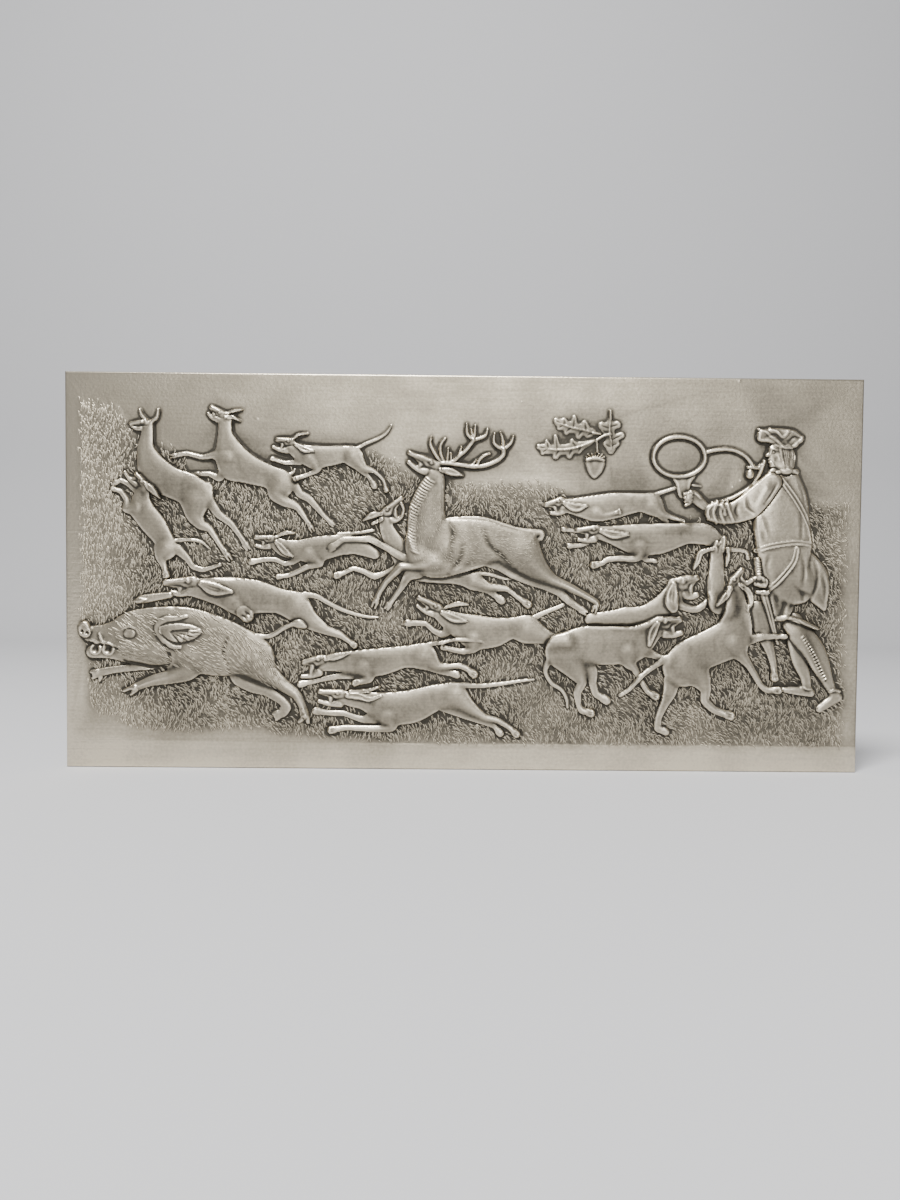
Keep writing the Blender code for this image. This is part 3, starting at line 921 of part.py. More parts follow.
    def horn(self) -> None:
        """The looped hunting horn, its bell opening into the loop."""
        fig = Figure(self.sheet)
        fig.mass([(303.8, 149.6, 0.9), (306.8, 146.4, 1.3), (308.6, 141, 1.3)], [(315, 149.6, 0.9),
                (312.2, 146.4, 1.3), (310.8, 141, 1.3)],
                 [(309.5, 148.6, 1.6), (309.6, 145.6, 2.0), (309.7, 140, 1.4)], blend=1.1, gain=0.8)
        ring = [(307.4 + 13.0 * np.cos(a), 159.2 + 10.0 * np.sin(a),
                1.15) for a in np.linspace(-np.pi / 2, 1.5 * np.pi, 25)]
        fig.mass(ring, gain=1.25)
        fig.mass([(320.4, 161.4, 1.1), (325, 162.6, 1.1), (330.6, 163.2, 1.1), (335.5, 162.5, 1.1),
                (340.4, 160, 1.1), (343.4, 156.6, 1.1), (344.6, 154.4, 1.2)], gain=1.2)
        fig.mass([(343.2, 151.6, 1.8), (342.9, 150.4, 2.1)], over=0.3)
        fig.mass([(342.2, 154.2, 0.9), (344.8, 154.2, 1.2), (347.4, 154, 0.9),
                (348, 155.6, 0.7)], over=0.25)
        fig.mass([(350.2, 157.4, 0.9), (349, 154.1, 1.1), (347, 149.2, 1.1), (343.9, 144.6, 1.1),
                (339, 141.2, 1.1), (334.4, 138.8, 1.1), (328.6, 136.6, 1.0)], gain=1.2)
        self.sheet.lay(fig, ride=0.6)

    def sword(self) -> None:
        """The hanger at the huntsman's side, with its ribbed grip and shell guard."""
        fig = Figure(self.sheet)
        fig.mass([(350.9, 91, 2.1), (353.4, 83, 1.9), (355.7, 74.5, 1.5), (358.8, 65.6, 0.9)])
        fig.line([(351.2, 90), (353.6, 82), (355.9, 74.5), (358.4, 67)], 0.4, -0.3)
        fig.mass([(347.2, 107.6, 1.7), (348.2, 100, 1.7)])
        for k in range(6):
            fig.line([(345.4 + 0.15 * k, 106.8 - 1.25 * k),
                    (349.4 + 0.15 * k, 107.2 - 1.25 * k)], 0.38, 0.45)
        fig.mass([(345.6, 97.8, 1.4), (348.4, 98.6, 1.6), (351.6, 97.2, 1.4),
                (351.2, 94.8, 1.2)], [(347, 95.6, 1.2), (349.4, 95, 1.4)], over=0.35)
        for x in (347, 349.2, 351.2):
            fig.line([(x, 98.8), (x + 0.2, 95)], 0.35, -0.3)
        fig.mass([(347.8, 91.4, 1.2), (352.8, 91.4, 1.3)], over=0.35)
        self.sheet.lay(fig, ride=0.5)

    def oak_sprig(self) -> None:
        """The sprig of oak with its acorn."""
        fig = Figure(self.sheet)
        leaves = (
            ([(246, 176.5), (252, 174.2), (258, 172), (264.5, 170.4)], [(250, 178), (255.4, 178),
                    (260.6, 175.4), (247.6, 173.4), (251.4, 170.8), (256.8, 168.8), (261.4, 168.4)]),
            ([(238.3, 163), (249.7, 162.2), (259.9, 163.6), (266, 167)], [(242, 166), (247.4, 168.2),
                    (254.4, 167), (240, 159.8), (246, 158), (252.4, 158.8), (257.4, 160.8)]),
            ([(272.5, 178.6), (272.8, 170), (273.5, 161.2)], [(268.6, 176), (268.8, 172), (270.2, 165),
                    (276.6, 176.4), (278.6, 171.6), (277.2, 165.8)]))
        for rib, lobes in leaves:
            path = smooth_path(rib)
            near = [path[np.argmin(np.hypot(*(path - lobe).T))] for lobe in lobes]
            fig.mass([(*q, 2.0) for q in rib], *[[(*foot, 1.6),
                    (*between(foot, lobe, 0.75), 1.9)] for foot, lobe in zip(near, lobes)],
                     blend=0.5, full=3.2, gain=0.8)
            fig.line(rib, 0.5, 0.6)
            for foot, lobe in zip(near, lobes):
                fig.line([tuple(foot), lobe], 0.38, 0.4)
        for twig in ([(272.6, 178, 0.7), (272.5, 181.7, 0.8)], [(273.9, 170.3, 0.7), (269.5, 169.2, 0.8),
                (266.5, 167.4, 0.8)], [(264, 170.6, 0.7), (267.6, 170.3, 0.7)],
                     [(265.8, 166.4, 0.7), (266.2, 161.4, 0.8)]):
            fig.mass(twig, over=0.3)
        fig.mass([(265.2, 156.4, 4.6), (265, 152.6, 3.6), (264.8, 149.4, 1.2)])
        fig.line([(266.6, 155.6), (266.2, 152), (265.2, 149.4)], 0.8, 0.3)
        fig.mass([(261.2, 158.2, 2.1), (265.4, 159.4, 2.7), (269.4, 158.2, 2.1)], over=0.4)
        for k in range(4):
            fig.line([(260.4 + 2.2 * k, 160.6), (261.6 + 2.2 * k, 156.6)], 0.36, -0.3)
            fig.line([(261.6 + 2.2 * k, 160.6), (260.2 + 2.2 * k, 156.6)], 0.36, -0.3)
        self.sheet.lay(fig, ride=0.4)

    def draw(self) -> None:
        """Draws the whole relief, from the figures farthest back to those in front."""
        self.hinds()
        self.left_hounds()
        self.boar_hound()
        self.boar()
        self.middle_hounds()
        self.stag()
        self.lower_hounds()
        self.right_hounds()
        self.horn()
        self.tall_hound()
        self.huntsman()
        self.sword()
        self.front_hounds()
        self.oak_sprig()


def front_depth(sheet: Sheet) -> np.ndarray:
    """How far each point of the sheet stands out from the plane of the back, in metres."""
    near = blur(sheet.cover, max(1, int(round(CHANNEL_WIDTH / sheet.cell))))
    relief = sheet.h - CHANNEL_DEPTH * np.clip(CHANNEL_SPREAD * near, 0, 1) * (1 - sheet.cover)
    depth = PLATE_THICKNESS + RELIEF_RISE * relief / relief.max()
    inset = EDGE_CHAMFER / (PLAQUE_LENGTH / LAYOUT_LENGTH)
    to_side = np.minimum(sheet.x, LAYOUT_LENGTH - sheet.x)[None, :]
    to_end = np.minimum(sheet.y, LAYOUT_HEIGHT - sheet.y)[:, None]
    edge = np.clip(np.minimum(to_side, to_end) / inset, 0, 1)
    return depth - EDGE_CHAMFER * (1 - edge)


def plaque_mesh(sheet: Sheet) -> bpy.types.Mesh:
    """A closed solid: the relief in front, straight edges, a flat back in the plane y = 0."""
    x = (sheet.x / LAYOUT_LENGTH - 0.5) * PLAQUE_LENGTH
    z = (sheet.y / LAYOUT_HEIGHT - 0.5) * PLAQUE_HEIGHT
    depth = front_depth(sheet)
    bm = bmesh.new()
    rows = [[bm.verts.new((x[i], -depth[j, i],
            z[j])) for i in range(len(sheet.x))] for j in range(len(sheet.y))]
    for below, above in zip(rows, rows[1:]):
        for i in range(len(sheet.x) - 1):
            bm.faces.new((below[i], below[i + 1], above[i + 1], above[i]))
    rim = rows[0][:-1] + [row[-1] for row in rows[:-1]] + rows[-1][:0:-1] + [row[0] for row in rows[:0:-1]]
    back = [bm.verts.new((v.co.x, 0.0, v.co.z)) for v in rim]
    for k in range(len(rim)):
        after = (k + 1) % len(rim)
        bm.faces.new((rim[after], rim[k], back[k], back[after]))
    bm.faces.new(back[::-1])
    bmesh.ops.triangulate(bm, faces=bm.faces[:])
    bmesh.ops.recalc_face_normals(bm, faces=bm.faces[:])
    mesh = bpy.data.meshes.new("plaque")
    bm.to_mesh(mesh)
    bm.free()
    return mesh


def metal() -> bpy.types.Material:
    """Warm grey cast tin alloy with a satin polish."""
    material = bpy.data.materials.new("pewter")
    material.use_nodes = True
    surface = material.node_tree.nodes["Principled BSDF"]
    surface.inputs["Base Color"].default_value = METAL_COLOUR
    surface.inputs["Metallic"].default_value = 1.0
    surface.inputs["Roughness"].default_value = METAL_ROUGHNESS
    return material


def build() -> bpy.types.Object:
    """Makes the plaque, its fine relief thinned to flat facets where the surface is calm."""
    for old in list(bpy.data.objects):
        bpy.data.objects.remove(old, do_unlink=True)
    sheet = Sheet(CELL)
    HuntingPicture(sheet).draw()
    mesh = plaque_mesh(sheet)
    mesh.materials.append(metal())
    plaque = bpy.data.objects.new("plaque", mesh)
    bpy.context.scene.collection.objects.link(plaque)
    thin = plaque.modifiers.new("Thin", "DECIMATE")
    thin.ratio = TRIANGLES / len(mesh.polygons)
    mesh.shade_smooth()
    mesh.set_sharp_from_angle(angle=np.radians(SHARP_ANGLE))
    return plaque


build()
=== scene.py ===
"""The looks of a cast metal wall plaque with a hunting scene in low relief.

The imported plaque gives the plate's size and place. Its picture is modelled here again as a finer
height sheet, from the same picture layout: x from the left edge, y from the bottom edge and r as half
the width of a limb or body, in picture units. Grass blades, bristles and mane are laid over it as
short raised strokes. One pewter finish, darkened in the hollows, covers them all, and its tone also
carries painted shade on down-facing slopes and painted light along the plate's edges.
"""

import logging
import math
from dataclasses import dataclass, field
from enum import Enum
from typing import Any, Iterable, Optional, Sequence

import bpy
import numpy as np
from mathutils import Matrix, Vector


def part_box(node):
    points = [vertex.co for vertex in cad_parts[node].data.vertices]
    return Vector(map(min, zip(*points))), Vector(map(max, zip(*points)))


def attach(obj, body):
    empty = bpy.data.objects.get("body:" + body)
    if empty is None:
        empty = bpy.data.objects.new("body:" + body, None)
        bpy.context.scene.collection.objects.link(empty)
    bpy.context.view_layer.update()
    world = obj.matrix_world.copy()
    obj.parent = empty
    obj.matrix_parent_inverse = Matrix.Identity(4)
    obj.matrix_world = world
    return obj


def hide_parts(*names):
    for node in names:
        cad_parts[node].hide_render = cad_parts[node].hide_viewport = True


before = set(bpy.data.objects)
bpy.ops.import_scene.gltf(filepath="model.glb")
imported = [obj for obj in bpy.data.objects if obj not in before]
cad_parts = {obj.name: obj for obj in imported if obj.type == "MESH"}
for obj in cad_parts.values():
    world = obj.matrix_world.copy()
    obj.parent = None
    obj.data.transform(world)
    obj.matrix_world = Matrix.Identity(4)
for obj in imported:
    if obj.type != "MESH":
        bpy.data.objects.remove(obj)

LOG = logging.getLogger("hunt_plaque")

# the picture's own units: its length and height, and how high a roll stands for its half-width
LAYOUT_LENGTH = 400.0
LAYOUT_HEIGHT = 199.0
RELIEF_GAIN = 0.88
RELIEF_POWER = 0.48

# how every animal is modelled: its rise over what it covers, the lower far limbs, the swing of its
# limbs and body round their joints, the body's fillets and fullness, how far body and muscles are
# evened out, the swell of the muscles, and the creases between them
ANIMAL_RIDE = 0.8
FAR_LIMB_GAIN = 0.85
LIMB_EASE = 0.5
BODY_EASE = 0.7
BODY_BLEND = 0.9
BODY_FULLNESS = 3.2
BODY_CALM = 0.8
MUSCLE_CALM = 0.5
MUSCLE_SWELL = 0.27
CREASE_WIDTH = 1.5
CREASE_DEPTH = -0.07

# the sheet's grid spacing in picture units, the strip beside a figure that stays free of grass with
# the cover that ends it, and how far the stubble turns from the grass in radians
GRID_CELL = 0.4
CLEAR_WIDTH = 0.5
CLEAR_COVER = 0.25
STUBBLE_TURN = 0.7

Roll = Sequence[tuple[float, float, float]]
Path = Sequence[tuple[float, float]]


def smooth_path(points: Iterable[Sequence[float]], spacing: float = 0.8, ease: float = 1.0) -> np.ndarray:
    """Runs a smooth curve through a few joints.

    Args:
        points: Rows of x, y and any further values, such as half-width.
        spacing: Longest step along the curve, in picture units.
        ease: How far the curve swings round its joints: 1 for a flowing line, 0 for straight bones.

    Returns:
        The rows of points along the curve, ends included.
    """
    p = np.array(list(points), float)
    if len(p) == 1:
        return np.repeat(p, 2, axis=0)
    ext = np.vstack([2 * p[0] - p[1], p, 2 * p[-1] - p[-2]])
    out = []
    for a, b, c, d in zip(ext, ext[1:], ext[2:], ext[3:]):
        n = max(2, int(np.ceil(np.hypot(*(c - b)[:2]) / spacing)))
        t = (np.arange(n) / n)[:, None]
        leave, arrive = ease * (c - a) / 2, ease * (d - b) / 2
        rest = 3 * t**2 - 2 * t**3
        out.append(b * (1 - rest) + c * rest + leave * (t**3 - 2 * t**2 + t) + arrive * (t**3 - t**2))
    out.append(p[-1:])
    return np.vstack(out)


def blur(a: np.ndarray, n: int) -> np.ndarray:
    """Mean over a square of 2n+1 cells, taken twice, which is near a Gaussian.

    Args:
        a: Values over the grid.
        n: Half the square's side in cells.

    Returns:
        The evened values.
    """
    for _ in range(2):
        for axis in (0, 1):
            before = np.repeat(a.take([0], axis), n + 1, axis)
            after = np.repeat(a.take([-1], axis), n, axis)
            c = np.cumsum(np.concatenate([before, a, after], axis), axis)
            k = 2 * n + 1
            a = (c.take(range(k, c.shape[axis]), axis) - c.take(range(0, c.shape[axis] - k), axis)) / k
    return a


def widest(a: np.ndarray, n: int) -> np.ndarray:
    """Largest value within n cells each way.

    Args:
        a: Values over the grid.
        n: Reach in cells.

    Returns:
        The largest value round each cell.
    """
    for axis in (0, 1):
        best = a.copy()
        for k in range(1, n + 1):
            best = np.maximum(best, np.maximum(np.roll(a, k, axis), np.roll(a, -k, axis)))
        a = best
    return a


def between(a: Sequence[float], b: Sequence[float], t: float) -> tuple[float, ...]:
    """Point at share t of the way from a to b."""
    return tuple(p + (q - p) * t for p, q in zip(a, b))


@dataclass
class Sheet:
    """The picture's height over a grid.

    Args:
        cell: Grid spacing in picture units.
    """

    cell: float
    x: np.ndarray = field(init=False)
    y: np.ndarray = field(init=False)
    h: np.ndarray = field(init=False)
    cover: np.ndarray = field(init=False)

    def __post_init__(self) -> None:
        """Sets out an empty grid over the whole picture."""
        self.x = np.linspace(0, LAYOUT_LENGTH, int(round(LAYOUT_LENGTH / self.cell)) + 1)
        self.y = np.linspace(0, LAYOUT_HEIGHT, int(round(LAYOUT_HEIGHT / self.cell)) + 1)
        self.h = np.zeros((len(self.y), len(self.x)))
        self.cover = np.zeros_like(self.h)

    def window(self, low: Sequence[float], high: Sequence[float]) -> tuple[slice, slice]:
        """Rows and columns of the grid between two corners.

        Args:
            low: Lower left corner in picture units.
            high: Upper right corner in picture units.

        Returns:
            The slice of rows and the slice of columns.
        """
        i0 = max(0, int(low[0] / self.cell))
        i1 = min(len(self.x), int(high[0] / self.cell) + 2)
        j0 = max(0, int(low[1] / self.cell))
        j1 = min(len(self.y), int(high[1] / self.cell) + 2)
        return slice(j0, j1), slice(i0, i1)

    def lay(self, figure: "Figure", ride: float = 0.8, spread: float = 1.6) -> None:
        """Lays a figure over what is already on the sheet.

        Args:
            figure: The figure to lay.
            ride: How far it rises over what it covers, from 0 to 1.
            spread: Width over which the covered heights are evened out.
        """
        n = max(1, int(round(spread / self.cell)))
        rows = np.where(figure.cover.max(1) > 0)[0]
        columns = np.where(figure.cover.max(0) > 0)[0]
        pad = 3 * n + 2
        win = (slice(max(0, rows[0] - pad), min(len(self.y), rows[-1] + pad)),
               slice(max(0, columns[0] - pad), min(len(self.x), columns[-1] + pad)))
        base = blur(widest(self.h[win], n), n) * ride
        c = figure.cover[win]
        self.h[win] = self.h[win] * (1 - c) + (base + figure.h[win]) * c
        self.cover[win] = np.maximum(self.cover[win], c)


class Figure:
    """One figure of the relief, raised on its own before it is laid on the sheet."""

    def __init__(self, sheet: Sheet) -> None:
        """Starts an empty figure on the sheet's grid."""
        self.sheet = sheet
        self.h = np.zeros_like(sheet.h)
        self.cover = np.zeros_like(sheet.h)

    def roll_field(self, path: np.ndarray, win: tuple[slice, slice],
                   reach: float) -> tuple[np.ndarray, np.ndarray]:
        """Distance from each point to a roll's side, and the roll's half-width there.

        Args:
            path: Points along the roll as x, y and half-width.
            win: The rows and columns to fill.
            reach: How far outside the roll the distance is needed.

        Returns:
            The signed distance, below zero inside, and the half-width.
        """
        jj, ii = win
        s = np.full((jj.stop - jj.start, ii.stop - ii.start), 1e3)
        r = np.ones_like(s)
        for a, b in zip(path, path[1:]):
            wide = max(a[2], b[2]) + reach
            sj, si = self.sheet.window(np.minimum(a[:2], b[:2]) - wide, np.maximum(a[:2], b[:2]) + wide)
            j0, j1 = max(sj.start, jj.start), min(sj.stop, jj.stop)
            i0, i1 = max(si.start, ii.start), min(si.stop, ii.stop)
            if j1 <= j0 or i1 <= i0:
                continue
            px = self.sheet.x[i0:i1][None, :] - a[0]
            py = self.sheet.y[j0:j1][:, None] - a[1]
            d = b[:2] - a[:2]
            t = np.clip((px * d[0] + py * d[1]) / max(d @ d, 1e-9), 0, 1)
            rr = a[2] + (b[2] - a[2]) * t
            ss = np.hypot(px - t * d[0], py - t * d[1]) - rr
            loc = (slice(j0 - jj.start, j1 - jj.start), slice(i0 - ii.start, i1 - ii.start))
            better = ss < s[loc]
            s[loc] = np.where(better, ss, s[loc])
            r[loc] = np.where(better, rr, r[loc])
        return s, r

    def mass(self, *rolls: Roll, blend: float = 0.7, full: float = 2.4, gain: float = 1.0,
             over: float = 0.0, ease: float = 1.0) -> None:
        """Raises rounded rolls, blended where they meet.

        Args:
            rolls: Each a row of joints with x, y and half-width.
            blend: Width of the fillet between the rolls.
            full: Fullness of the cross-section, 2 for round and more for flatter.
            gain: Height beside that of a roll of this width.
            over: How far the rolls lift crisply off what they cross.
            ease: How far they swing round their joints, from 0 to 1.
        """
        joints = [np.array(roll, float) for roll in rolls]
        every = np.vstack(joints)
        reach = 2.5 * blend + 0.6
        margin = every[:, 2].max() + reach + 1
        win = self.sheet.window(every[:, :2].min(0) - margin, every[:, :2].max(0) + margin)
        fields = [self.roll_field(smooth_path(roll, ease=ease), win, reach) for roll in joints]
        s = np.stack([one[0] for one in fields])
        r = np.stack([one[1] for one in fields])
        low = s.min(0)
        w = np.exp(np.clip((low - s) / blend, -40, 0))
        union = low - blend * np.log(w.sum(0))
        radius = np.maximum((w * r).sum(0) / w.sum(0), 0.15)
        u = np.clip(-union / radius, 0, 1)
        dome = gain * RELIEF_GAIN * radius**RELIEF_POWER * (1 - (1 - u)**full)**(1 / full)
        h0 = self.h[win]
        self.h[win] = np.where(union < 0, np.maximum(h0, dome) + over * dome, h0)
        self.cover[win] = np.maximum(self.cover[win], np.clip(0.5 - union / self.sheet.cell, 0, 1))

    def swell(self, roll: Roll, height: float, ease: float = 1.0) -> None:
        """Raises a muscle that has no edge along a roll, only inside the figure.

        Args:
            roll: Joints with x, y and half-width.
            height: Height beside that of a roll of this width.
            ease: How far it swings round its joints, from 0 to 1.
        """
        path = smooth_path(roll, ease=ease)
        wide = path[:, 2].max() + 1
        win = self.sheet.window(path[:, :2].min(0) - wide, path[:, :2].max(0) + wide)
        s, r = self.roll_field(path, win, 0.5)
        u = np.clip(-s / np.maximum(r, 0.15), 0, 1)
        fade = np.clip(self.h[win] / 1.2, 0, 1) * (self.cover[win] > 0)
        self.h[win] += height * RELIEF_GAIN * r**RELIEF_POWER * u * u * (3 - 2 * u) * fade

    def calm(self, width: float) -> None:
        """Evens out the heights inside the figure over a width, and leaves its outline as it is.

        Args:
            width: That width in picture units.
        """
        rows = np.where(self.cover.max(1) > 0)[0]
        columns = np.where(self.cover.max(0) > 0)[0]
        win = (slice(rows[0], rows[-1] + 1), slice(columns[0], columns[-1] + 1))
        n = int(round(width / self.sheet.cell))
        if n < 1:
            return
        inside = (self.cover[win] > 0) * 1.0
        self.h[win] = blur(self.h[win] * inside, n) / np.maximum(blur(inside, n), 1e-6) * inside

    def line(self, points: Path, width: float, depth: float) -> None:
        """Adds a thin ridge that fades at both ends, or a groove where depth is below zero.

        Args:
            points: Joints of the path.
            width: Half-width of the line.
            depth: Height to add at its middle.
        """
        ends = np.array([(p[0], p[1]) for p in points], float)
        win = self.sheet.window(ends.min(0) - 3 * width - 2, ends.max(0) + 3 * width + 2)
        path = smooth_path(ends, 0.6)
        add = np.zeros((win[0].stop - win[0].start, win[1].stop - win[1].start))
        for k, (a, b) in enumerate(zip(path, path[1:])):
            sj, si = self.sheet.window(np.minimum(a, b) - 3 * width, np.maximum(a, b) + 3 * width)
            j0, j1 = max(sj.start, win[0].start), min(sj.stop, win[0].stop)
            i0, i1 = max(si.start, win[1].start), min(si.stop, win[1].stop)
            if j1 <= j0 or i1 <= i0:
                continue
            px = self.sheet.x[i0:i1][None, :] - a[0]
            py = self.sheet.y[j0:j1][:, None] - a[1]
            d = b - a
            t = np.clip((px * d[0] + py * d[1]) / max(d @ d, 1e-9), 0, 1)
            q = np.hypot(px - t * d[0], py - t * d[1]) / width
            along = (k + t) / (len(path) - 1)
            fade = np.sin(np.pi * np.clip(along, 0.06, 0.94))**0.5
            loc = (slice(j0 - win[0].start, j1 - win[0].start), slice(i0 - win[1].start, i1 - win[1].start))
            add[loc] = np.maximum(add[loc], np.exp(-q * q) * fade)
        self.h[win] += depth * add * (self.cover[win] > 0)

    def dot(self, x: float, y: float, r: float, height: float) -> None:
        """Raises a small knob, or sinks a pit where height is below zero.

        Args:
            x: Place along the picture.
            y: Place up the picture.
            r: Radius.
            height: Height at its middle.
        """
        win = self.sheet.window((x - 2.2 * r, y - 2.2 * r), (x + 2.2 * r, y + 2.2 * r))
        px = self.sheet.x[win[1]][None, :] - x
        py = self.sheet.y[win[0]][:, None] - y
        self.h[win] += height * np.exp(-1.2 * (px * px + py * py) / r**2) * (self.cover[win] > 0)


class FootKind(Enum):
    """How an animal's limb ends."""

    PAW = "paw"
    HOOF = "hoof"


def head(fig: Figure, skull: Sequence[float], r: float, nose: Sequence[float], jaw: Sequence[float],
         cheek: Sequence[float], wide: float = 0.54, eye_size: float = 0.25) -> None:
    """A long-muzzled head with an open mouth.

    Args:
        fig: Figure that it belongs to.
        skull: Middle of the skull.
        r: Half-width of the skull.
        nose: Tip of the upper jaw.
        jaw: Tip of the lower jaw.
        cheek: Hinge of the jaw.
        wide: Half-width of the nose as a share of r.
        eye_size: Half-width of the eye as a share of r.
    """
    s, n, c, j = (np.array(p, float) for p in (skull, nose, cheek, jaw))
    ahead = (n - s) / np.hypot(*(n - s))
    crown = np.array([-ahead[1], ahead[0]])
    if crown @ (c + j - 2 * s) > 0:
        crown = -crown
    stop = s + 0.42 * (n - s) + 0.06 * r * crown
    tip = n - 0.5 * wide * r * ahead
    hinge = 0.5 * (s + c) + 0.25 * (j - c)
    sag = 0.16 * r * crown
    fig.mass([(*s, r), (*stop, 0.7 * r), (*(s + 0.7 * (n - s)), 0.98 * wide * r), (*tip, 0.78 * wide * r)],
             [(*c, 0.7 * r), (*(c + 0.5 * (j - c) - sag), 0.42 * r), (*(j + sag), 0.34 * r)],
             [(*(s + 0.42 * (n - s)), 0.5 * r), (*(c + 0.42 * (j - c)), 0.4 * r)],
             blend=0.22)
    fig.line([tuple(s + 0.62 * r * crown), tuple(stop + 0.34 * r * crown), tuple(tip + 0.2 * r * crown)],
             0.26 * r, 0.34)
    fig.line([tuple(s - 0.55 * r * ahead - 0.2 * r * crown), tuple(hinge), tuple(c + 0.4 * (j - c))],
             0.22 * r, -0.3)
    fig.line([tuple(tip - 0.3 * r * crown), tuple(stop - 0.34 * r * crown), tuple(hinge)], 0.16 * r, -0.3)
    eye = s + 0.36 * (stop - s) + 0.3 * r * crown
    fig.dot(*eye, 2.0 * eye_size * r, -0.4)
    fig.dot(*eye, eye_size * r, 0.75)
    fig.line([tuple(eye + 0.42 * r * (crown - ahead)), tuple(eye + 0.5 * r * crown),
              tuple(eye + 0.5 * r * ahead)],
             0.16 * r, 0.28)
    fig.dot(*(tip + 0.25 * r * ahead), 0.22 * r, -0.45)


def ear(fig: Figure, *leaf: Sequence[float]) -> None:
    """A hanging or laid-back ear, its rim standing round a shallow hollow.

    Args:
        fig: Its figure.
        leaf: Joints from root to tip, with x, y and half-width.
    """
    fig.mass(list(leaf), over=0.55, full=3.2)
    wide = max(p[2] for p in leaf)
    inner = smooth_path(leaf)[:-2]
    fig.line([tuple(p[:2]) for p in inner[1::4]], 0.45 * wide, -0.42)
    fig.line([tuple(p[:2]) for p in inner[2:-2:4]], 0.16 * wide, 0.2)


def ahead_of(leg: Roll) -> tuple[np.ndarray, np.ndarray, np.ndarray, float]:
    """The end of a limb, the way that it points, the way across it, and its half-width.

    Args:
        leg: Joints of the limb.

    Returns:
        The end's place, the two directions and the half-width.
    """
    before, last = np.array(leg[-2], float), np.array(leg[-1], float)
    ahead = (last - before)[:2] / max(np.hypot(*(last - before)[:2]), 1e-6)
    return last[:2], ahead, np.array([-ahead[1], ahead[0]]), last[2]


def paw(fig: Figure, leg: Roll) -> None:
    """A foot parted into toes at the end of a limb.

    Args:
        fig: Its figure.
        leg: Joints of the limb.
    """
    end, ahead, across, r = ahead_of(leg)
    fig.mass([(*(end - 0.2 * r * ahead), 1.2 * r), (*(end + 0.6 * r * ahead), 1.2 * r)], over=0.2)
    for side in (-0.8, 0.0, 0.8):
        fig.dot(*(end + (1.1 - 0.3 * abs(side)) * r * ahead + side * r * across), 0.55 * r, 0.5)
    for side in (-0.38, 0.38):
        fig.line([tuple(end + side * r * across), tuple(end + 1.7 * r * ahead + 1.3 * side * r * across)],
                 0.15 * r + 0.1, -0.32)
    fig.dot(*(end - 1.5 * r * ahead), 0.8 * r, 0.22)


def hoof(fig: Figure, leg: Roll) -> None:
    """A cloven hoof at the end of a limb, with its dewclaws behind.

    Args:
        fig: Its figure.
        leg: Joints of the limb.
    """
    end, ahead, across, r = ahead_of(leg)
    for side in (-0.45, 0.45):
        fig.mass([(*(end + side * r * across), 0.8 * r),
                  (*(end + 1.7 * r * ahead + 1.15 * side * r * across), 0.45 * r)],
                 over=0.15, full=2.0)
    fig.line([tuple(end), tuple(end + 1.8 * r * ahead)], 0.25 * r, -0.4)
    fig.dot(*(end - 1.4 * r * ahead + 0.7 * r * across), 0.5 * r, 0.35)


def foot_end(fig: Figure, leg: Roll, kind: FootKind) -> None:
    """Puts the foot of the named kind on the end of a limb.

    Args:
        fig: Its figure.
        leg: Joints of the limb.
        kind: Paw or hoof.
    """
    if kind is FootKind.PAW:
        paw(fig, leg)
    else:
        hoof(fig, leg)


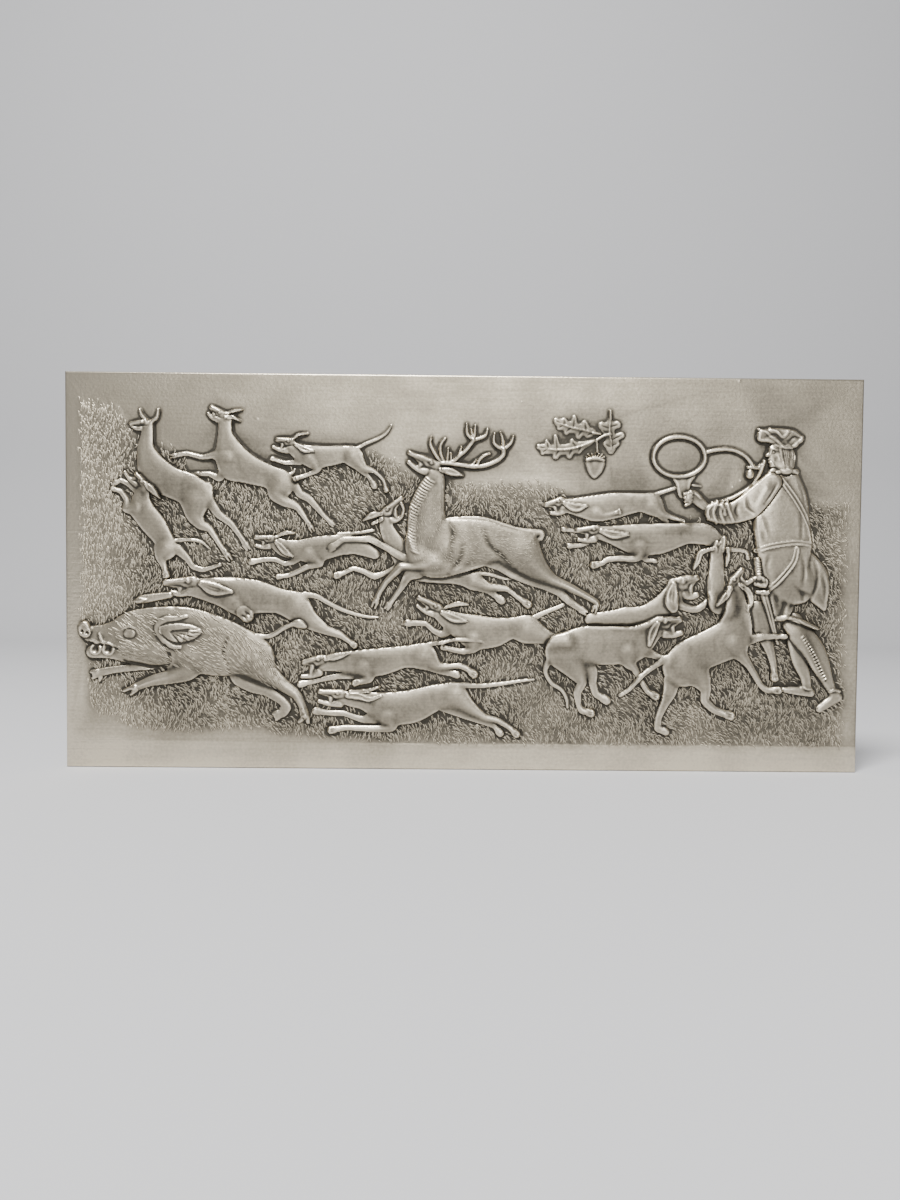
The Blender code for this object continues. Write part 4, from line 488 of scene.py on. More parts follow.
class HuntingPicture:
    """The hunt, drawn figure by figure on a height sheet."""

    def __init__(self, sheet: Sheet) -> None:
        """Takes the sheet to draw on."""
        self.sheet = sheet

    def beast(self, trunk: Sequence[Roll], far: Sequence[Roll] = (), near: Sequence[Roll] = (),
              ears: Sequence[Roll] = (), tail: Optional[Roll] = None, heads: Sequence[dict[str, Any]] = (),
              foot: FootKind = FootKind.PAW, seams: Sequence[Path] = (),
              extras: Sequence[Roll] = ()) -> None:
        """Raises one running animal and lays it on the sheet.

        Args:
            trunk: Rolls of the neck and body.
            far: Limbs on the far side, which lie lower.
            near: Limbs on the near side, which swell out of the body.
            ears: Leaves of the ears.
            tail: Roll of the tail.
            heads: What each head needs.
            foot: How each limb ends.
            seams: Creases between muscles.
            extras: Small rolls laid on last, such as a tongue.
        """
        fig = Figure(self.sheet)
        for leg in far:
            fig.mass(leg, gain=FAR_LIMB_GAIN, ease=LIMB_EASE)
            foot_end(fig, leg, foot)
        if tail:
            fig.mass(tail)
        fig.mass(*trunk, *near, blend=BODY_BLEND, full=BODY_FULLNESS, ease=BODY_EASE)
        fig.calm(BODY_CALM)
        for leg in near:
            fig.swell(leg, MUSCLE_SWELL, ease=LIMB_EASE)
        fig.calm(MUSCLE_CALM)
        for leg in near:
            foot_end(fig, leg, foot)
        for seam in seams:
            fig.line(seam, CREASE_WIDTH, CREASE_DEPTH)
        for face in heads:
            head(fig, **face)
        for leaf in ears:
            ear(fig, *leaf)
        for roll in extras:
            fig.mass(roll, over=0.15)
        self.sheet.lay(fig, ride=ANIMAL_RIDE)

    def hinds(self) -> None:
        """The two hinds in flight at the upper left."""
        # the upper hind, its neck upright and forelegs stretched to the left
        self.beast(
            foot=FootKind.HOOF,
            trunk=[[(80, 175, 3), (80.3, 167, 4), (82.5, 159, 7), (85, 153.5, 8.3)],
                   [(85, 153.5, 8.3), (95, 149.5, 6.6), (104, 146.5, 5.6), (108, 143.5, 6.3)],
                   [(80, 176, 2.6), (76.5, 177.5, 2.9)]],
            far=[[(108, 144, 5), (114.5, 143, 2.6), (117.5, 138.8, 2), (122.5, 136, 1.8), (129.5, 128, 1.2),
                  (133, 124.6, 1.2)],
                 [(80, 150, 3), (77, 146.3, 1.8), (72, 148.3, 1.2), (66.5, 148, 1.2)]],
            near=[[(108, 144, 6.3), (105.8, 139, 4.2), (110, 134.9, 2.7), (116, 132.3, 1.9),
                   (121.3, 125, 1.2), (123, 122, 1.3)],
                  [(82, 157, 4), (74.5, 157.6, 1.8), (68.5, 156.6, 1.2), (61, 158.3, 1.1),
                   (54.8, 157.2, 1.2)]],
            ears=[[(80.5, 178.6, 0.6), (84.5, 179.8, 0.9), (88.5, 180.5, 0.4)],
                  [(80.5, 176.6, 0.7), (84, 176.6, 1.1), (87.5, 174.9, 0.4)]],
            tail=[(111.5, 147.5, 1.5), (114, 149.6, 0.8), (114.8, 151, 0.5)],
            heads=[dict(skull=(77.6, 177.6), r=2.9, nose=(72.4, 182), jaw=(71.4, 178), cheek=(76, 176))],
            seams=[[(88, 160), (87, 153), (89.5, 146)], [(101, 150), (100.5, 146), (102, 141.5)]])
        # the lower hind, half behind the leaping hound
        self.beast(
            foot=FootKind.HOOF,
            trunk=[[(41.8, 172, 2.6), (41, 166, 3.3), (40.6, 160, 4.4), (43, 152.5, 6.8), (47, 147, 7.6)],
                   [(47, 147, 7.6), (54, 143.5, 7.6), (61, 141, 7.8), (67, 138, 7.4)]],
            far=[[(68, 138, 6), (72.5, 134, 2.8), (77, 128, 2), (83, 123.5, 1.6), (87.5, 117.5, 1.2),
                  (90.3, 113, 1.5)]],
            near=[[(65, 135, 7.2), (65, 128, 4.6), (68, 123, 2.7), (72.5, 120.6, 1.8), (77.5, 113, 1.3),
                   (81.3, 107.5, 1.5)]],
            extras=[[(40.6, 175, 1), (38.6, 177.2, 1.05), (37.6, 180, 0.8)],
                    [(43.2, 174, 1.1), (46, 176.4, 1.05), (46.7, 180, 0.8)]],
            tail=[(72, 143, 1.2), (73.2, 141, 1.2), (72, 139.3, 0.6)],
            heads=[dict(skull=(40.2, 172.8), r=2.7, nose=(32.2, 172.9), jaw=(33.8, 171.3),
                        cheek=(38, 171))],
            seams=[[(51, 150), (50, 144), (52, 137)], [(59.5, 147), (58.5, 140), (59.5, 134)]])

    def left_hounds(self) -> None:
        """The hound at the lower hind's chest and the one barking under the upper hind."""
        # the hound leaping up at the lower hind's chest
        self.beast(
            trunk=[[(39.5, 141, 3.2), (38.2, 135, 4.6), (39.5, 129, 6), (45, 122, 6), (49.5, 115.5, 4.8),
                    (50.5, 111, 5.5)]],
            far=[[(37, 139, 2), (31.5, 143, 1.2), (28, 144.6, 1.1), (25.6, 143.6, 1.2)],
                 [(51, 111, 4), (56, 110.5, 2.6), (61, 106, 1.7), (64, 101.8, 1.4), (68.7, 100.3, 1.3),
                  (73, 101.3, 1), (77, 102.7, 0.8)]],
            near=[[(36, 131, 3.5), (30.5, 130.5, 1.8), (30.8, 135, 1.4), (28, 139, 1.2),
                   (24.8, 140.3, 1.2)],
                  [(50.5, 111, 5.2), (48, 106.5, 2.6), (49.5, 102, 1.6), (50.5, 98, 1.6)]],
            ears=[[(41.3, 143, 1), (44.3, 139.8, 1.7), (47.6, 136, 0.6)]],
            tail=[(53, 114.6, 1.1), (62, 115.3, 0.9), (68, 114.3, 0.7), (72, 111.2, 0.4)],
            heads=[dict(skull=(38.6, 143), r=2.9, nose=(35.4, 148.6), jaw=(29.6, 148.6),
                        cheek=(36, 142.6))],
            seams=[[(42, 135), (38, 128), (39, 123)]])
        # the hound barking under the upper hind
        self.beast(
            trunk=[[(113.5, 162, 3.2), (118.5, 159, 4.4), (126, 157.4, 5.5), (134, 158, 4.9), (140, 159, 4),
                    (144, 157.8, 4.5)]],
            far=[[(117.5, 156, 3), (115, 154.6, 1.4), (110, 154.2, 1), (104.3, 156, 1)],
                 [(145, 156, 4), (149, 150.5, 1.8), (152, 147.5, 1), (154.3, 143.8, 1.4)]],
            near=[[(122, 157, 4), (126.3, 151.2, 1.6), (122, 148.7, 1.1), (116, 146.5, 1.2)],
                  [(144, 157.5, 4.6), (149, 152, 2.6), (154.3, 150.6, 1.1), (159, 146.3, 0.8),
                   (160.5, 141.6, 1.2)]],
            ears=[[(113.9, 166, 0.7), (116.7, 168.3, 0.9), (121.2, 169, 0.5)],
                  [(115.6, 163.3, 0.9), (120, 160.8, 1.5), (124.3, 160.3, 0.6)]],
            tail=[(146, 161.8, 1), (150, 164.1, 0.8), (156.7, 167, 0.7), (160.7, 170, 0.6),
                  (163, 173.7, 0.35)],
            heads=[dict(skull=(112.6, 163.9), r=2.9, nose=(105.2, 166), jaw=(104, 161.6),
                        cheek=(111.2, 160.6))],
            seams=[[(120, 162), (119, 157), (121, 153)], [(140, 161), (139.5, 157), (141.5, 154.3)]])

    def boar_hound(self) -> None:
        """The hound riding on the boar's back."""
        self.beast(
            trunk=[[(63, 91.3, 4.2), (72, 90.3, 6), (84, 88.4, 8.2), (95, 87, 8.4), (106, 85.2, 6.4),
                    (115.5, 82.4, 6.9)]],
            near=[[(116, 82, 7), (122, 76, 5), (130.5, 70.7, 2.6), (138, 68, 1.8), (142, 65.2, 1.3),
                   (144.6, 63.2, 1.5)],
                  [(84, 84, 5), (90, 78.5, 3)]],
            ears=[[(68.5, 93.4, 1.5), (75, 90.7, 3.2), (83.8, 89.4, 0.8)]],
            tail=[(120, 88.2, 1.6), (126.3, 87.2, 1.3), (131.7, 84.3, 1.2), (138.3, 81, 1),
                  (145, 78.7, 0.9), (151.7, 77.3, 0.7), (157, 77.1, 0.4)],
            heads=[dict(skull=(64, 93), r=4.2, nose=(49.2, 93.6), jaw=(53, 88), cheek=(61.5, 89.6))],
            seams=[[(78, 94), (76.5, 88), (79, 83)], [(107, 90), (106, 84), (108.5, 78)],
                   [(95, 93), (94, 88), (95.5, 83)]])

    def boar(self) -> None:
        """The boar, running left, and the hound's far paw on its brow."""
        fig = Figure(self.sheet)
        for leg in ([(43, 53, 3.4), (38, 51.6, 2.4), (33, 50.6, 1.9), (25, 49.6, 1.8), (19, 48.4, 2),
                     (15.4, 47.4, 2.2)],
                    [(85, 50, 4), (87, 45, 3.2), (94, 41.3, 3), (101, 39.5, 2.8), (108, 35, 2.3),
                     (111.4, 31.4, 2.1), (109.4, 28.6, 2.4), (106.4, 27, 2)]):
            fig.mass(leg, gain=0.85, ease=0.6)
        for toe in ([(15.6, 48.4, 1.4), (12.8, 48.3, 0.8)], [(15.6, 46.6, 1.4), (13.6, 45.2, 0.8)],
                    [(17.6, 45.6, 1.2), (17, 44, 0.7)], [(107, 28.6, 1.3), (104.6, 27.8, 0.9)],
                    [(107.4, 26.4, 1.3), (106, 24.9, 0.9)], [(109.6, 31.6, 1.2), (108.2, 30.8, 0.8)]):
            fig.mass(toe, over=0.25)
        fig.mass([(96, 67, 1.6), (101, 66.8, 1.2), (105, 68.3, 1.2), (109, 71, 1.2), (114, 73.2, 1.4),
                  (117.5, 73.4, 2.3), (120, 72.4, 1.4)])
        near_fore = [(62, 56, 9), (60.5, 50.6, 6.6), (53, 46.4, 3.9), (44.5, 44.4, 2.9), (38, 42, 2.2),
                     (34.4, 40.2, 2.2)]
        near_hind = [(92, 57, 10.5), (100, 49, 6.4), (109, 42.6, 3.5), (115.6, 38, 2.7), (118.8, 32.5, 2.1),
                     (120.2, 27.6, 2.5)]
        fig.mass([(27, 65, 9), (36, 66, 13.6), (46, 66.4, 15), (60, 65.6, 15.8), (75, 61.9, 15),
                  (88, 59, 12), (94.5, 56.5, 10.4)],
                 [(12.6, 67.4, 3.9), (19, 66.6, 5.6), (27, 65.4, 8.4)],
                 [(13.6, 58.6, 3.2), (22, 59.6, 4.4), (33, 60.2, 6.6)],
                 near_fore, near_hind, blend=0.8, ease=0.8, full=2.8)
        fig.calm(0.9)
        fig.swell([(30.5, 60.4, 6.6), (38, 59.4, 8.4), (44.6, 58.6, 7.8)], 0.3)
        fig.line([(30, 54.2), (37, 52.6), (45, 51), (51.6, 52.6), (52.8, 57), (50.6, 62)], 1, -0.75)
        fig.swell(near_fore, 0.34, ease=0.6)
        fig.swell(near_hind, 0.36, ease=0.6)
        for toe in ([(34.6, 41.2, 1.3), (29.4, 38.9, 0.9)], [(35.4, 39.4, 1.3), (33, 37.2, 0.9)],
                    [(120.4, 26.4, 1.6), (117.6, 24, 1.2)], [(121.4, 26.4, 1.6), (122, 23.8, 1.2)],
                    [(120, 30, 1.3), (121.6, 28.2, 0.9)]):
            fig.mass(toe, over=0.3)
        # the snout disc, the mouth with its curled lips, the tusk and the eye
        fig.mass([(9.8, 71, 3.1), (10.2, 68.8, 3.2)], over=0.55, full=4)
        for x, y in ((8.9, 69), (11.6, 68.2)):
            fig.dot(x, y, 0.75, -1)
        fig.mass([(13.4, 64.4, 0.9), (16.6, 63.2, 1), (20.4, 63.2, 0.9), (25.6, 61.6, 0.7)], over=0.3)
        fig.line([(12, 63.2), (16, 62.2), (21, 62.2), (26.4, 60.6)], 0.8, -0.7)
        for x, r in ((15.4, 2.4), (21.9, 2.6)):
            turn = np.linspace(0, 2 * np.pi, 13)
            fig.mass([(x + r * np.cos(a), 60.1 + r * np.sin(a), 0.75) for a in turn], over=0.35)
            fig.dot(x, 60.1, 1.5, -0.9)
        fig.mass([(19.6, 62.4, 0.9), (18.4, 65.4, 0.8), (17.4, 68.2, 0.4)], over=0.5)
        fig.dot(32.7, 68, 3.6, -0.5)
        fig.mass([(32.1, 68, 2.2), (33.6, 68, 2.2)], over=0.4, full=2.0)
        fig.line([(29.4, 70.4), (32.7, 71.6), (36.4, 70.2)], 0.6, 0.4)
        # the ear: an arched rim and a ragged flap below it
        fig.mass([(49.8, 70, 2.2), (56, 68.6, 4.6), (62.6, 68.8, 4), (67.4, 69.4, 1.6)],
                 over=0.35, full=3.4)
        for tip in ((70, 70.8), (69.4, 68.6), (66.6, 66.2), (63, 64.2), (59, 62.9)):
            fig.mass([(*between((58, 69), tip, 0.5), 1.6), (*tip, 0.7)], over=0.2)
            fig.line([between((53, 69.6), tip, 0.1), tip], 0.5, -0.35)
        fig.mass([(61.4, 77, 0.8), (56, 75.8, 1.3), (51.4, 75.4, 1.6), (47.6, 73.2, 1.7), (47, 69.8, 1.5),
                  (49.8, 65, 1.3), (54.6, 61.6, 1.1), (58.4, 61.4, 0.8)],
                 over=0.4)
        fig.line([(81.5, 66), (79.9, 59), (82.3, 50.7)], 1.1, -0.4)
        fig.line([(95, 70), (84, 75), (70, 80), (55, 81.4), (40, 80.4)], 1, 0.3)
        self.sheet.lay(fig, ride=0.75)
        far_paw = Figure(self.sheet)
        far_paw.mass([(52.5, 87.4, 1.7), (46, 86.4, 2.1), (39, 85.2, 2.3), (36, 84.4, 1.5)], over=0.1)
        for reach in ((34.6, 85.8), (34, 84), (35, 82.6)):
            far_paw.line([(41, 85.2), reach], 0.45, 0.4)
        self.sheet.lay(far_paw, ride=0.25)

    def middle_hounds(self) -> None:
        """The hounds round the stag and the one at the right that looks up."""
        # the long hound under the stag's raised leg
        self.beast(
            trunk=[[(105, 114.4, 3.2), (110, 111.5, 4.3), (118, 110.6, 5.2), (128, 111.6, 6.2),
                    (138, 113.3, 5.2), (146, 113, 4.4), (155, 109, 2.6)]],
            far=[[(117, 108, 3), (114, 104.8, 1.6), (110, 103.7, 1.2), (105.3, 105.7, 1.2),
                  (100, 105.7, 1.2), (94, 104.6, 1.4)]],
            near=[[(122, 109, 4.5), (127.6, 104, 1.9), (121.3, 102.3, 1.5), (116.7, 99.9, 1.3),
                   (112, 97.9, 1.2), (107.5, 97.2, 1.3)]],
            ears=[[(105.6, 117.3, 0.8), (110.5, 119.2, 1.2), (114.8, 119.2, 0.6)],
                  [(106, 114.6, 1.1), (110.2, 110, 1.7), (113.9, 107.6, 0.6)]],
            tail=[(137, 118.6, 1.2), (147, 119.5, 0.9), (154.3, 121, 0.8)],
            heads=[dict(skull=(103.2, 115.4), r=2.9, nose=(94.6, 116.9), jaw=(95.8, 112.2),
                        cheek=(102, 112.6))],
            seams=[[(116, 115), (115, 110), (118, 106)], [(139, 118), (137.5, 113), (140, 108.6)]])
        # the hound behind the stag's rump, its head turned up to the right
        self.beast(
            trunk=[[(282, 78.6, 4.2), (292, 79.8, 4.8), (300, 84, 5.6), (305.5, 90, 5.4), (306.5, 94, 4.4)],
                   [(264, 77, 3), (282, 78.6, 4.2)]],
            near=[[(304, 86, 4), (309, 84.5, 2.2), (314.5, 82.6, 1.9), (318.5, 82.9, 1.7),
                   (323, 86.5, 1.5)]],
            ears=[[(305.4, 95, 1.5), (304.6, 90, 3), (304.4, 86, 3.4), (305.6, 82.6, 2.2)]],
            heads=[dict(skull=(309.4, 94.4), r=5.0, nose=(318.2, 98.9), jaw=(317.6, 89),
                        cheek=(310.8, 90.8), wide=0.44, eye_size=0.3)],
            seams=[[(293, 84), (292, 80), (294, 76)]])
        # the hound under the stag's belly
        self.beast(
            trunk=[[(187.5, 79.6, 3.4), (192, 76.5, 4.6), (198, 73.4, 6.4), (206, 70.2, 8.6),
                    (215, 70, 7.6), (224, 72.2, 5.4), (232, 71.8, 6.6)]],
            far=[[(193, 72, 3), (189.7, 68.6, 1.8), (185, 70.6, 1.4), (181, 74, 1.3), (172.6, 74.3, 1.5)]],
            near=[[(205, 67, 5), (205, 61.6, 2.1), (200, 60.2, 1.6), (195, 61, 1.5), (190.5, 62.2, 1.5)],
                  [(232, 71.6, 6.8), (243, 67.6, 3.3), (250, 67.2, 1.8)]],
            ears=[[(191, 82.4, 0.9), (197, 84.3, 1.4), (202.2, 84, 0.6)],
                  [(189.3, 79.8, 1.2), (195, 77.2, 2.1), (201.4, 75.8, 0.7)]],
            tail=[(234, 76.4, 1.8), (239.5, 79.6, 1.2), (247, 82.7, 1), (250.3, 84.3, 0.9)],
            heads=[dict(skull=(187, 81.2), r=3.3, nose=(176.6, 87.6), jaw=(176.6, 82.6),
                        cheek=(184.6, 79.4))],
            seams=[[(200, 78), (198.5, 72), (201, 66.5)], [(225, 77), (223.5, 72), (226, 67.8)]])
        # the hound behind the stag, looking up at it
        self.beast(
            trunk=[[(160, 127, 3), (161.5, 121, 3.8), (166, 113, 5), (176, 103, 7), (196, 97.6, 3.6),
                    (205, 96, 4.2)]],
            far=[[(205, 95, 3.8), (212.4, 91.6, 2.2), (215.8, 88.6, 1.6), (218.2, 86.8, 1.8)]],
            near=[[(172, 103, 4), (161, 99.6, 1.4), (155, 97.8, 1.7), (150, 100, 1.4), (144.5, 101.5, 1.2),
                   (140, 99.5, 1.2), (136.7, 98.2, 1.6)],
                  [(205, 95.6, 4.2), (212.4, 92.8, 2.4), (221.5, 92, 1.5), (226, 88.7, 1.2),
                   (231.6, 84.8, 1.8)]],
            ears=[[(158, 129.2, 1.1), (153.6, 128.3, 1.8), (149.3, 125.8, 0.6)],
                  [(158.6, 126.6, 0.9), (154, 124.2, 1.1)]],
            tail=[(206, 100, 1.2), (214, 99, 0.9), (219.3, 97.4, 0.8), (224, 97, 0.6)],
            heads=[dict(skull=(160.8, 129.4), r=3.2, nose=(169, 137.8), jaw=(168.8, 127.6),
                        cheek=(163.4, 126))],
            extras=[[(168.2, 134.6, 1), (169.4, 131.8, 0.9), (168.8, 128.8, 1)]])

    def stag(self) -> None:
        """The stag at full stretch, its head thrown back."""
        fig = Figure(self.sheet)
        for leg in ([(181, 107, 5), (176, 105, 2.8), (169, 107.5, 2), (161, 112, 1.6), (153, 116.3, 1.8),
                     (146, 116.3, 1.3), (139.5, 116, 1.3), (134.2, 112.4, 1.6)],
                    [(212, 107, 4), (218, 103.5, 2.6), (224, 99.4, 1.9), (232, 96, 1.8), (241, 94.4, 2.9),
                     (248, 90.6, 2.2), (253.3, 86, 2), (259.4, 81.8, 1.6)],
                    [(177, 102, 5), (172, 98, 2.6), (167.8, 91.2, 1.5), (164.2, 86, 1.2),
                     (162.4, 83.4, 1.4)]):
            fig.mass(leg, gain=0.88, ease=0.55)
            hoof(fig, leg)
        near_fore = [(190, 113, 9), (186, 106, 6), (181, 103.6, 3.4), (175, 102.6, 2.4),
                     (168.6, 102.6, 2.2), (164.6, 98.8, 1.8), (160.8, 94.8, 1.6), (157.5, 89.6, 1.4),
                     (155.6, 84.8, 1.6)]
        near_hind = [(228, 111, 10.2), (236.4, 102, 6.2), (244, 96.6, 3.6), (253, 93, 2.4),
                     (262, 88.6, 1.7), (267, 85.4, 1.6), (266.2, 83, 1.4)]
        fig.mass([(184.6, 151.6, 3.7), (185, 147, 5), (182.8, 139.6, 7.2), (181, 131, 9),
                  (181.8, 121, 10.6), (184.6, 111.4, 13.8), (195, 113.6, 14.4), (207, 115.6, 12.8),
                  (217.5, 115.6, 10), (227, 112.4, 10)],
                 near_fore, near_hind,
                 [(231, 118.6, 3.6), (236.4, 120.6, 1.7), (239, 120, 1.5), (238.4, 117.6, 1.1)],
                 blend=0.9, ease=0.8, full=2.7)
        fig.calm(0.9)
        for leg in (near_fore, near_hind):
            fig.swell(leg, 0.34, ease=0.6)
            hoof(fig, leg)
        fig.swell([(199, 122, 5), (200, 113, 7), (198, 106, 5)], 0.15)
        fig.swell([(183, 142, 4), (181.6, 130, 6), (182, 121, 6)], 0.15)
        head(fig, skull=(184.6, 152.8), r=3.8, nose=(171.4, 160.2), jaw=(171.6, 154.6), cheek=(181, 150.6),
             wide=0.42)
        ear(fig, (188.2, 151.6, 1.2), (193.4, 150.4, 2.1), (198.8, 148.8, 0.6))
        mane = smooth_path([(181.6, 146.5), (178, 141.4), (174.6, 135), (172.6, 129), (171.8, 123.6),
                            (172.4, 117), (173.8, 111)], 1.7)
        for x, y in mane:
            fig.line([(x - 1, y + 0.9), (x + 1, y - 0.5), (x + 3.2, y - 1.4)], 0.5, 0.45)
        tines = ([(187.6, 154.6, 1.1), (190.7, 154.7, 1.1), (198.5, 154, 1.1), (203.7, 153.3, 1.1),
                  (209.8, 153.8, 1.1), (215.9, 156.3, 1.1), (218.9, 159.2, 1.2), (219.2, 161.6, 1.3)],
                 [(219.2, 162, 1.1), (215.9, 163.6, 0.9), (214.2, 166, 0.8), (214.6, 170, 0.4)],
                 [(219, 162, 1), (218.7, 167, 0.8), (217.6, 170.5, 0.4)],
                 [(219.6, 162.2, 1), (222.8, 165.3, 0.8), (224.1, 168.7, 0.4)],
                 [(205.9, 153.8, 0.9), (207.2, 156.8, 0.8), (209.8, 159, 0.7), (212.4, 159.9, 0.4)],
                 [(203.7, 154.2, 0.7), (205.5, 156.6, 0.4)],
                 [(189, 155, 1), (193.3, 155.3, 1), (196.8, 158.3, 1), (200.3, 161.4, 1), (202.9, 164.8, 1),
                  (204, 166.4, 1.2)],
                 [(203.7, 166.6, 0.9), (200.9, 170, 0.8), (200.7, 174.8, 0.4)],
                 [(204, 166.6, 0.9), (202.9, 171.8, 0.4)], [(204.4, 166.6, 0.9), (205, 173.9, 0.4)],
                 [(204.8, 166.6, 0.9), (209.8, 168.7, 0.8), (211.1, 172.2, 0.4)],
                 [(196.8, 158.6, 0.8), (198.1, 163.1, 0.4)],
                 [(187.6, 155.6, 1), (184, 161.2, 0.9), (182.5, 164.8, 0.7), (182.9, 167.9, 0.4)],
                 [(189.4, 155.4, 0.9), (187.8, 159.6, 0.8), (187.7, 164, 0.7), (190, 167.4, 0.4)],
                 [(191.2, 156.2, 0.8), (191.5, 162.3, 0.4)], [(193, 156.2, 0.7), (192.8, 160, 0.4)])
        for tine in tines:
            fig.mass([(x, y, r + 0.14) for x, y, r in tine], gain=1.15, over=0.15)
        for seam in ([(192.5, 99.8), (197.7, 106.3), (199.5, 113)],
                     [(209.8, 121), (212.4, 114.5), (219.3, 108), (225.4, 102)],
                     [(190.5, 127), (194, 120), (193.4, 111)]):
            fig.line(seam, 1.7, -0.42)
        fig.line([(192, 127), (203, 127), (213, 126), (222, 123), (234, 120)], 0.7, -0.25)
        self.sheet.lay(fig, ride=0.75)

    def lower_hounds(self) -> None:
        """The two hounds stretched out along the bottom."""
        # the hound at the boar's tail
        self.beast(
            trunk=[[(129.6, 53.4, 3.8), (135, 54.2, 4.6), (146, 54.2, 6.2), (158, 54.6, 7),
                    (170, 57.2, 5.6), (180, 57.8, 6.2)]],
            far=[[(152, 50, 3), (148, 47.5, 1.7), (138, 47.3, 1.6), (128, 45.2, 1.2), (119.2, 43.2, 1.5)],
                 [(180, 55, 4), (188, 50.4, 1.8), (196, 48.6, 1.6)]],
            near=[[(150, 52, 5), (152.3, 46.4, 2.6), (146.2, 44, 1.5)],
                  [(180, 57.4, 6.2), (187, 52.6, 2.8), (193, 52.3, 1.7), (198, 52.9, 1.5), (202, 51.4, 1.5),
                   (204.8, 49.2, 1.8)]],
            ears=[[(130.6, 56, 1), (136.4, 57.4, 1.7), (143, 59.2, 0.5)]],
            tail=[(182, 63.4, 1.3), (189.7, 64.8, 1), (195, 66, 0.9), (201.7, 66.3, 0.8),
                  (208.3, 65.7, 0.6), (211, 64.7, 0.4)],
            heads=[dict(skull=(128.6, 54.6), r=3.6, nose=(118.8, 54), jaw=(119, 46.2), cheek=(127.2, 49))],
            seams=[[(142, 59), (140.5, 54), (142.5, 49)], [(171, 62), (170, 57), (172.5, 52)]])
        # the hound stretched along the bottom
        self.beast(
            trunk=[[(139, 36.6, 3.2), (144, 35.6, 3.9), (151, 34.6, 4.8), (162, 31.2, 8), (174, 32, 8.4),
                    (186, 36.6, 6.6), (195, 38, 6.2)]],
            far=[[(156, 27, 4), (150, 25.2, 1.8), (145, 26.5, 1.4), (140, 28.2, 1.4), (131.7, 28.5, 1.4),
                  (126.8, 29.3, 1.6)],
                 [(190, 33, 3.4), (201, 27.8, 1.9), (210, 24.5, 1.4), (216, 22.4, 1.3),
                  (218.4, 19.6, 1.6)]],
            near=[[(162, 27, 5), (164, 21.6, 2.4), (155.7, 20.5, 1.7), (141.7, 21, 1.4),
                   (134.5, 19.9, 1.7)],
                  [(196, 38, 6.2), (203, 32, 3.8), (211, 26.8, 2), (218, 25, 1.6), (223.6, 21.8, 1.3),
                   (226.6, 19, 1.7)]],
            ears=[[(142, 37.6, 1.3), (148.3, 37.1, 1.6), (153, 35.8, 1.1), (158.8, 37.6, 0.6)],
                  [(143, 39.6, 0.9), (151.7, 40, 1.1), (158, 42, 0.5)]],
            tail=[(198, 43, 1.6), (208.3, 42.8, 1.2), (217.7, 43.7, 1), (228.3, 45.3, 0.8),
                  (235.7, 46.3, 0.5)],
            heads=[dict(skull=(138.4, 37.2), r=3.3, nose=(127, 39.4), jaw=(127.4, 33.8),
                        cheek=(138, 33.4))],
            seams=[[(157, 37), (154.5, 31), (157, 25)], [(186, 43), (184.5, 37), (187, 31.6)]])

    def right_hounds(self) -> None:
        """The two hounds in file at the right."""
        # the upper one, its muzzle to the left
        self.beast(
            trunk=[[(249, 134.4, 3.2), (255, 133.7, 4.2), (265, 133, 6.4), (275, 134.4, 6.4),
                    (287, 136, 4.8), (294, 135.6, 5)]],
            far=[[(293, 134, 3.4), (297, 130.6, 1.8), (301, 127, 1.2)]],
            near=[[(266, 131, 4), (270, 129.4, 1.8), (276.8, 131.1, 1)],
                  [(294, 135, 5), (299, 130.5, 2.5), (303, 129.2, 1.4), (309, 127, 1.2)]],
            ears=[[(250, 135.4, 1.1), (255.4, 133.2, 2.2), (261, 134.2, 0.7)]],
            tail=[(296, 140, 1.2), (300, 141.6, 0.9), (306.9, 143.8, 0.8), (312.4, 145.2, 0.7),
                  (318.6, 144.6, 0.4)],
            heads=[dict(skull=(248.4, 135.6), r=3.2, nose=(240, 134.4), jaw=(243.6, 129.9),
                        cheek=(249, 131.6))],
            seams=[[(258, 138), (257, 133), (260, 128.6)], [(285, 140), (284, 136), (287, 132)]])
        # the lower one, longer and nearer
        self.beast(
            trunk=[[(268, 120.7, 3.4), (274, 119.7, 4.6), (285, 117.8, 7.4), (297, 117.8, 7.8),
                    (311, 120.6, 5.4), (321, 120.4, 5.4), (328, 116.6, 3.2)]],
            far=[[(257, 121.4, 1), (250.4, 122.2, 1.1)],
                 [(262, 115.6, 1.2), (258, 114.2, 1.1), (253.4, 114, 1.2)],
                 [(290, 111, 3), (291, 107.6, 1.4), (295.6, 106.8, 1)]],
            near=[[(288, 114, 4.5), (288, 109.4, 2.4), (285.6, 107.6, 1.6), (279, 107.8, 1.5),
                   (272.4, 107.3, 1.4), (269.3, 105.3, 1.3), (266, 104.6, 1.7)]],
            ears=[[(268.6, 121.6, 1.2), (275, 119.8, 2.1), (282, 120, 0.8)]],
            heads=[dict(skull=(266.4, 121.4), r=3.4, nose=(256, 121.9), jaw=(257.6, 116.6),
                        cheek=(265, 117.8))],
            seams=[[(280, 124), (278.5, 118), (281, 112)], [(310, 125), (308.5, 120), (311, 115.4)]])

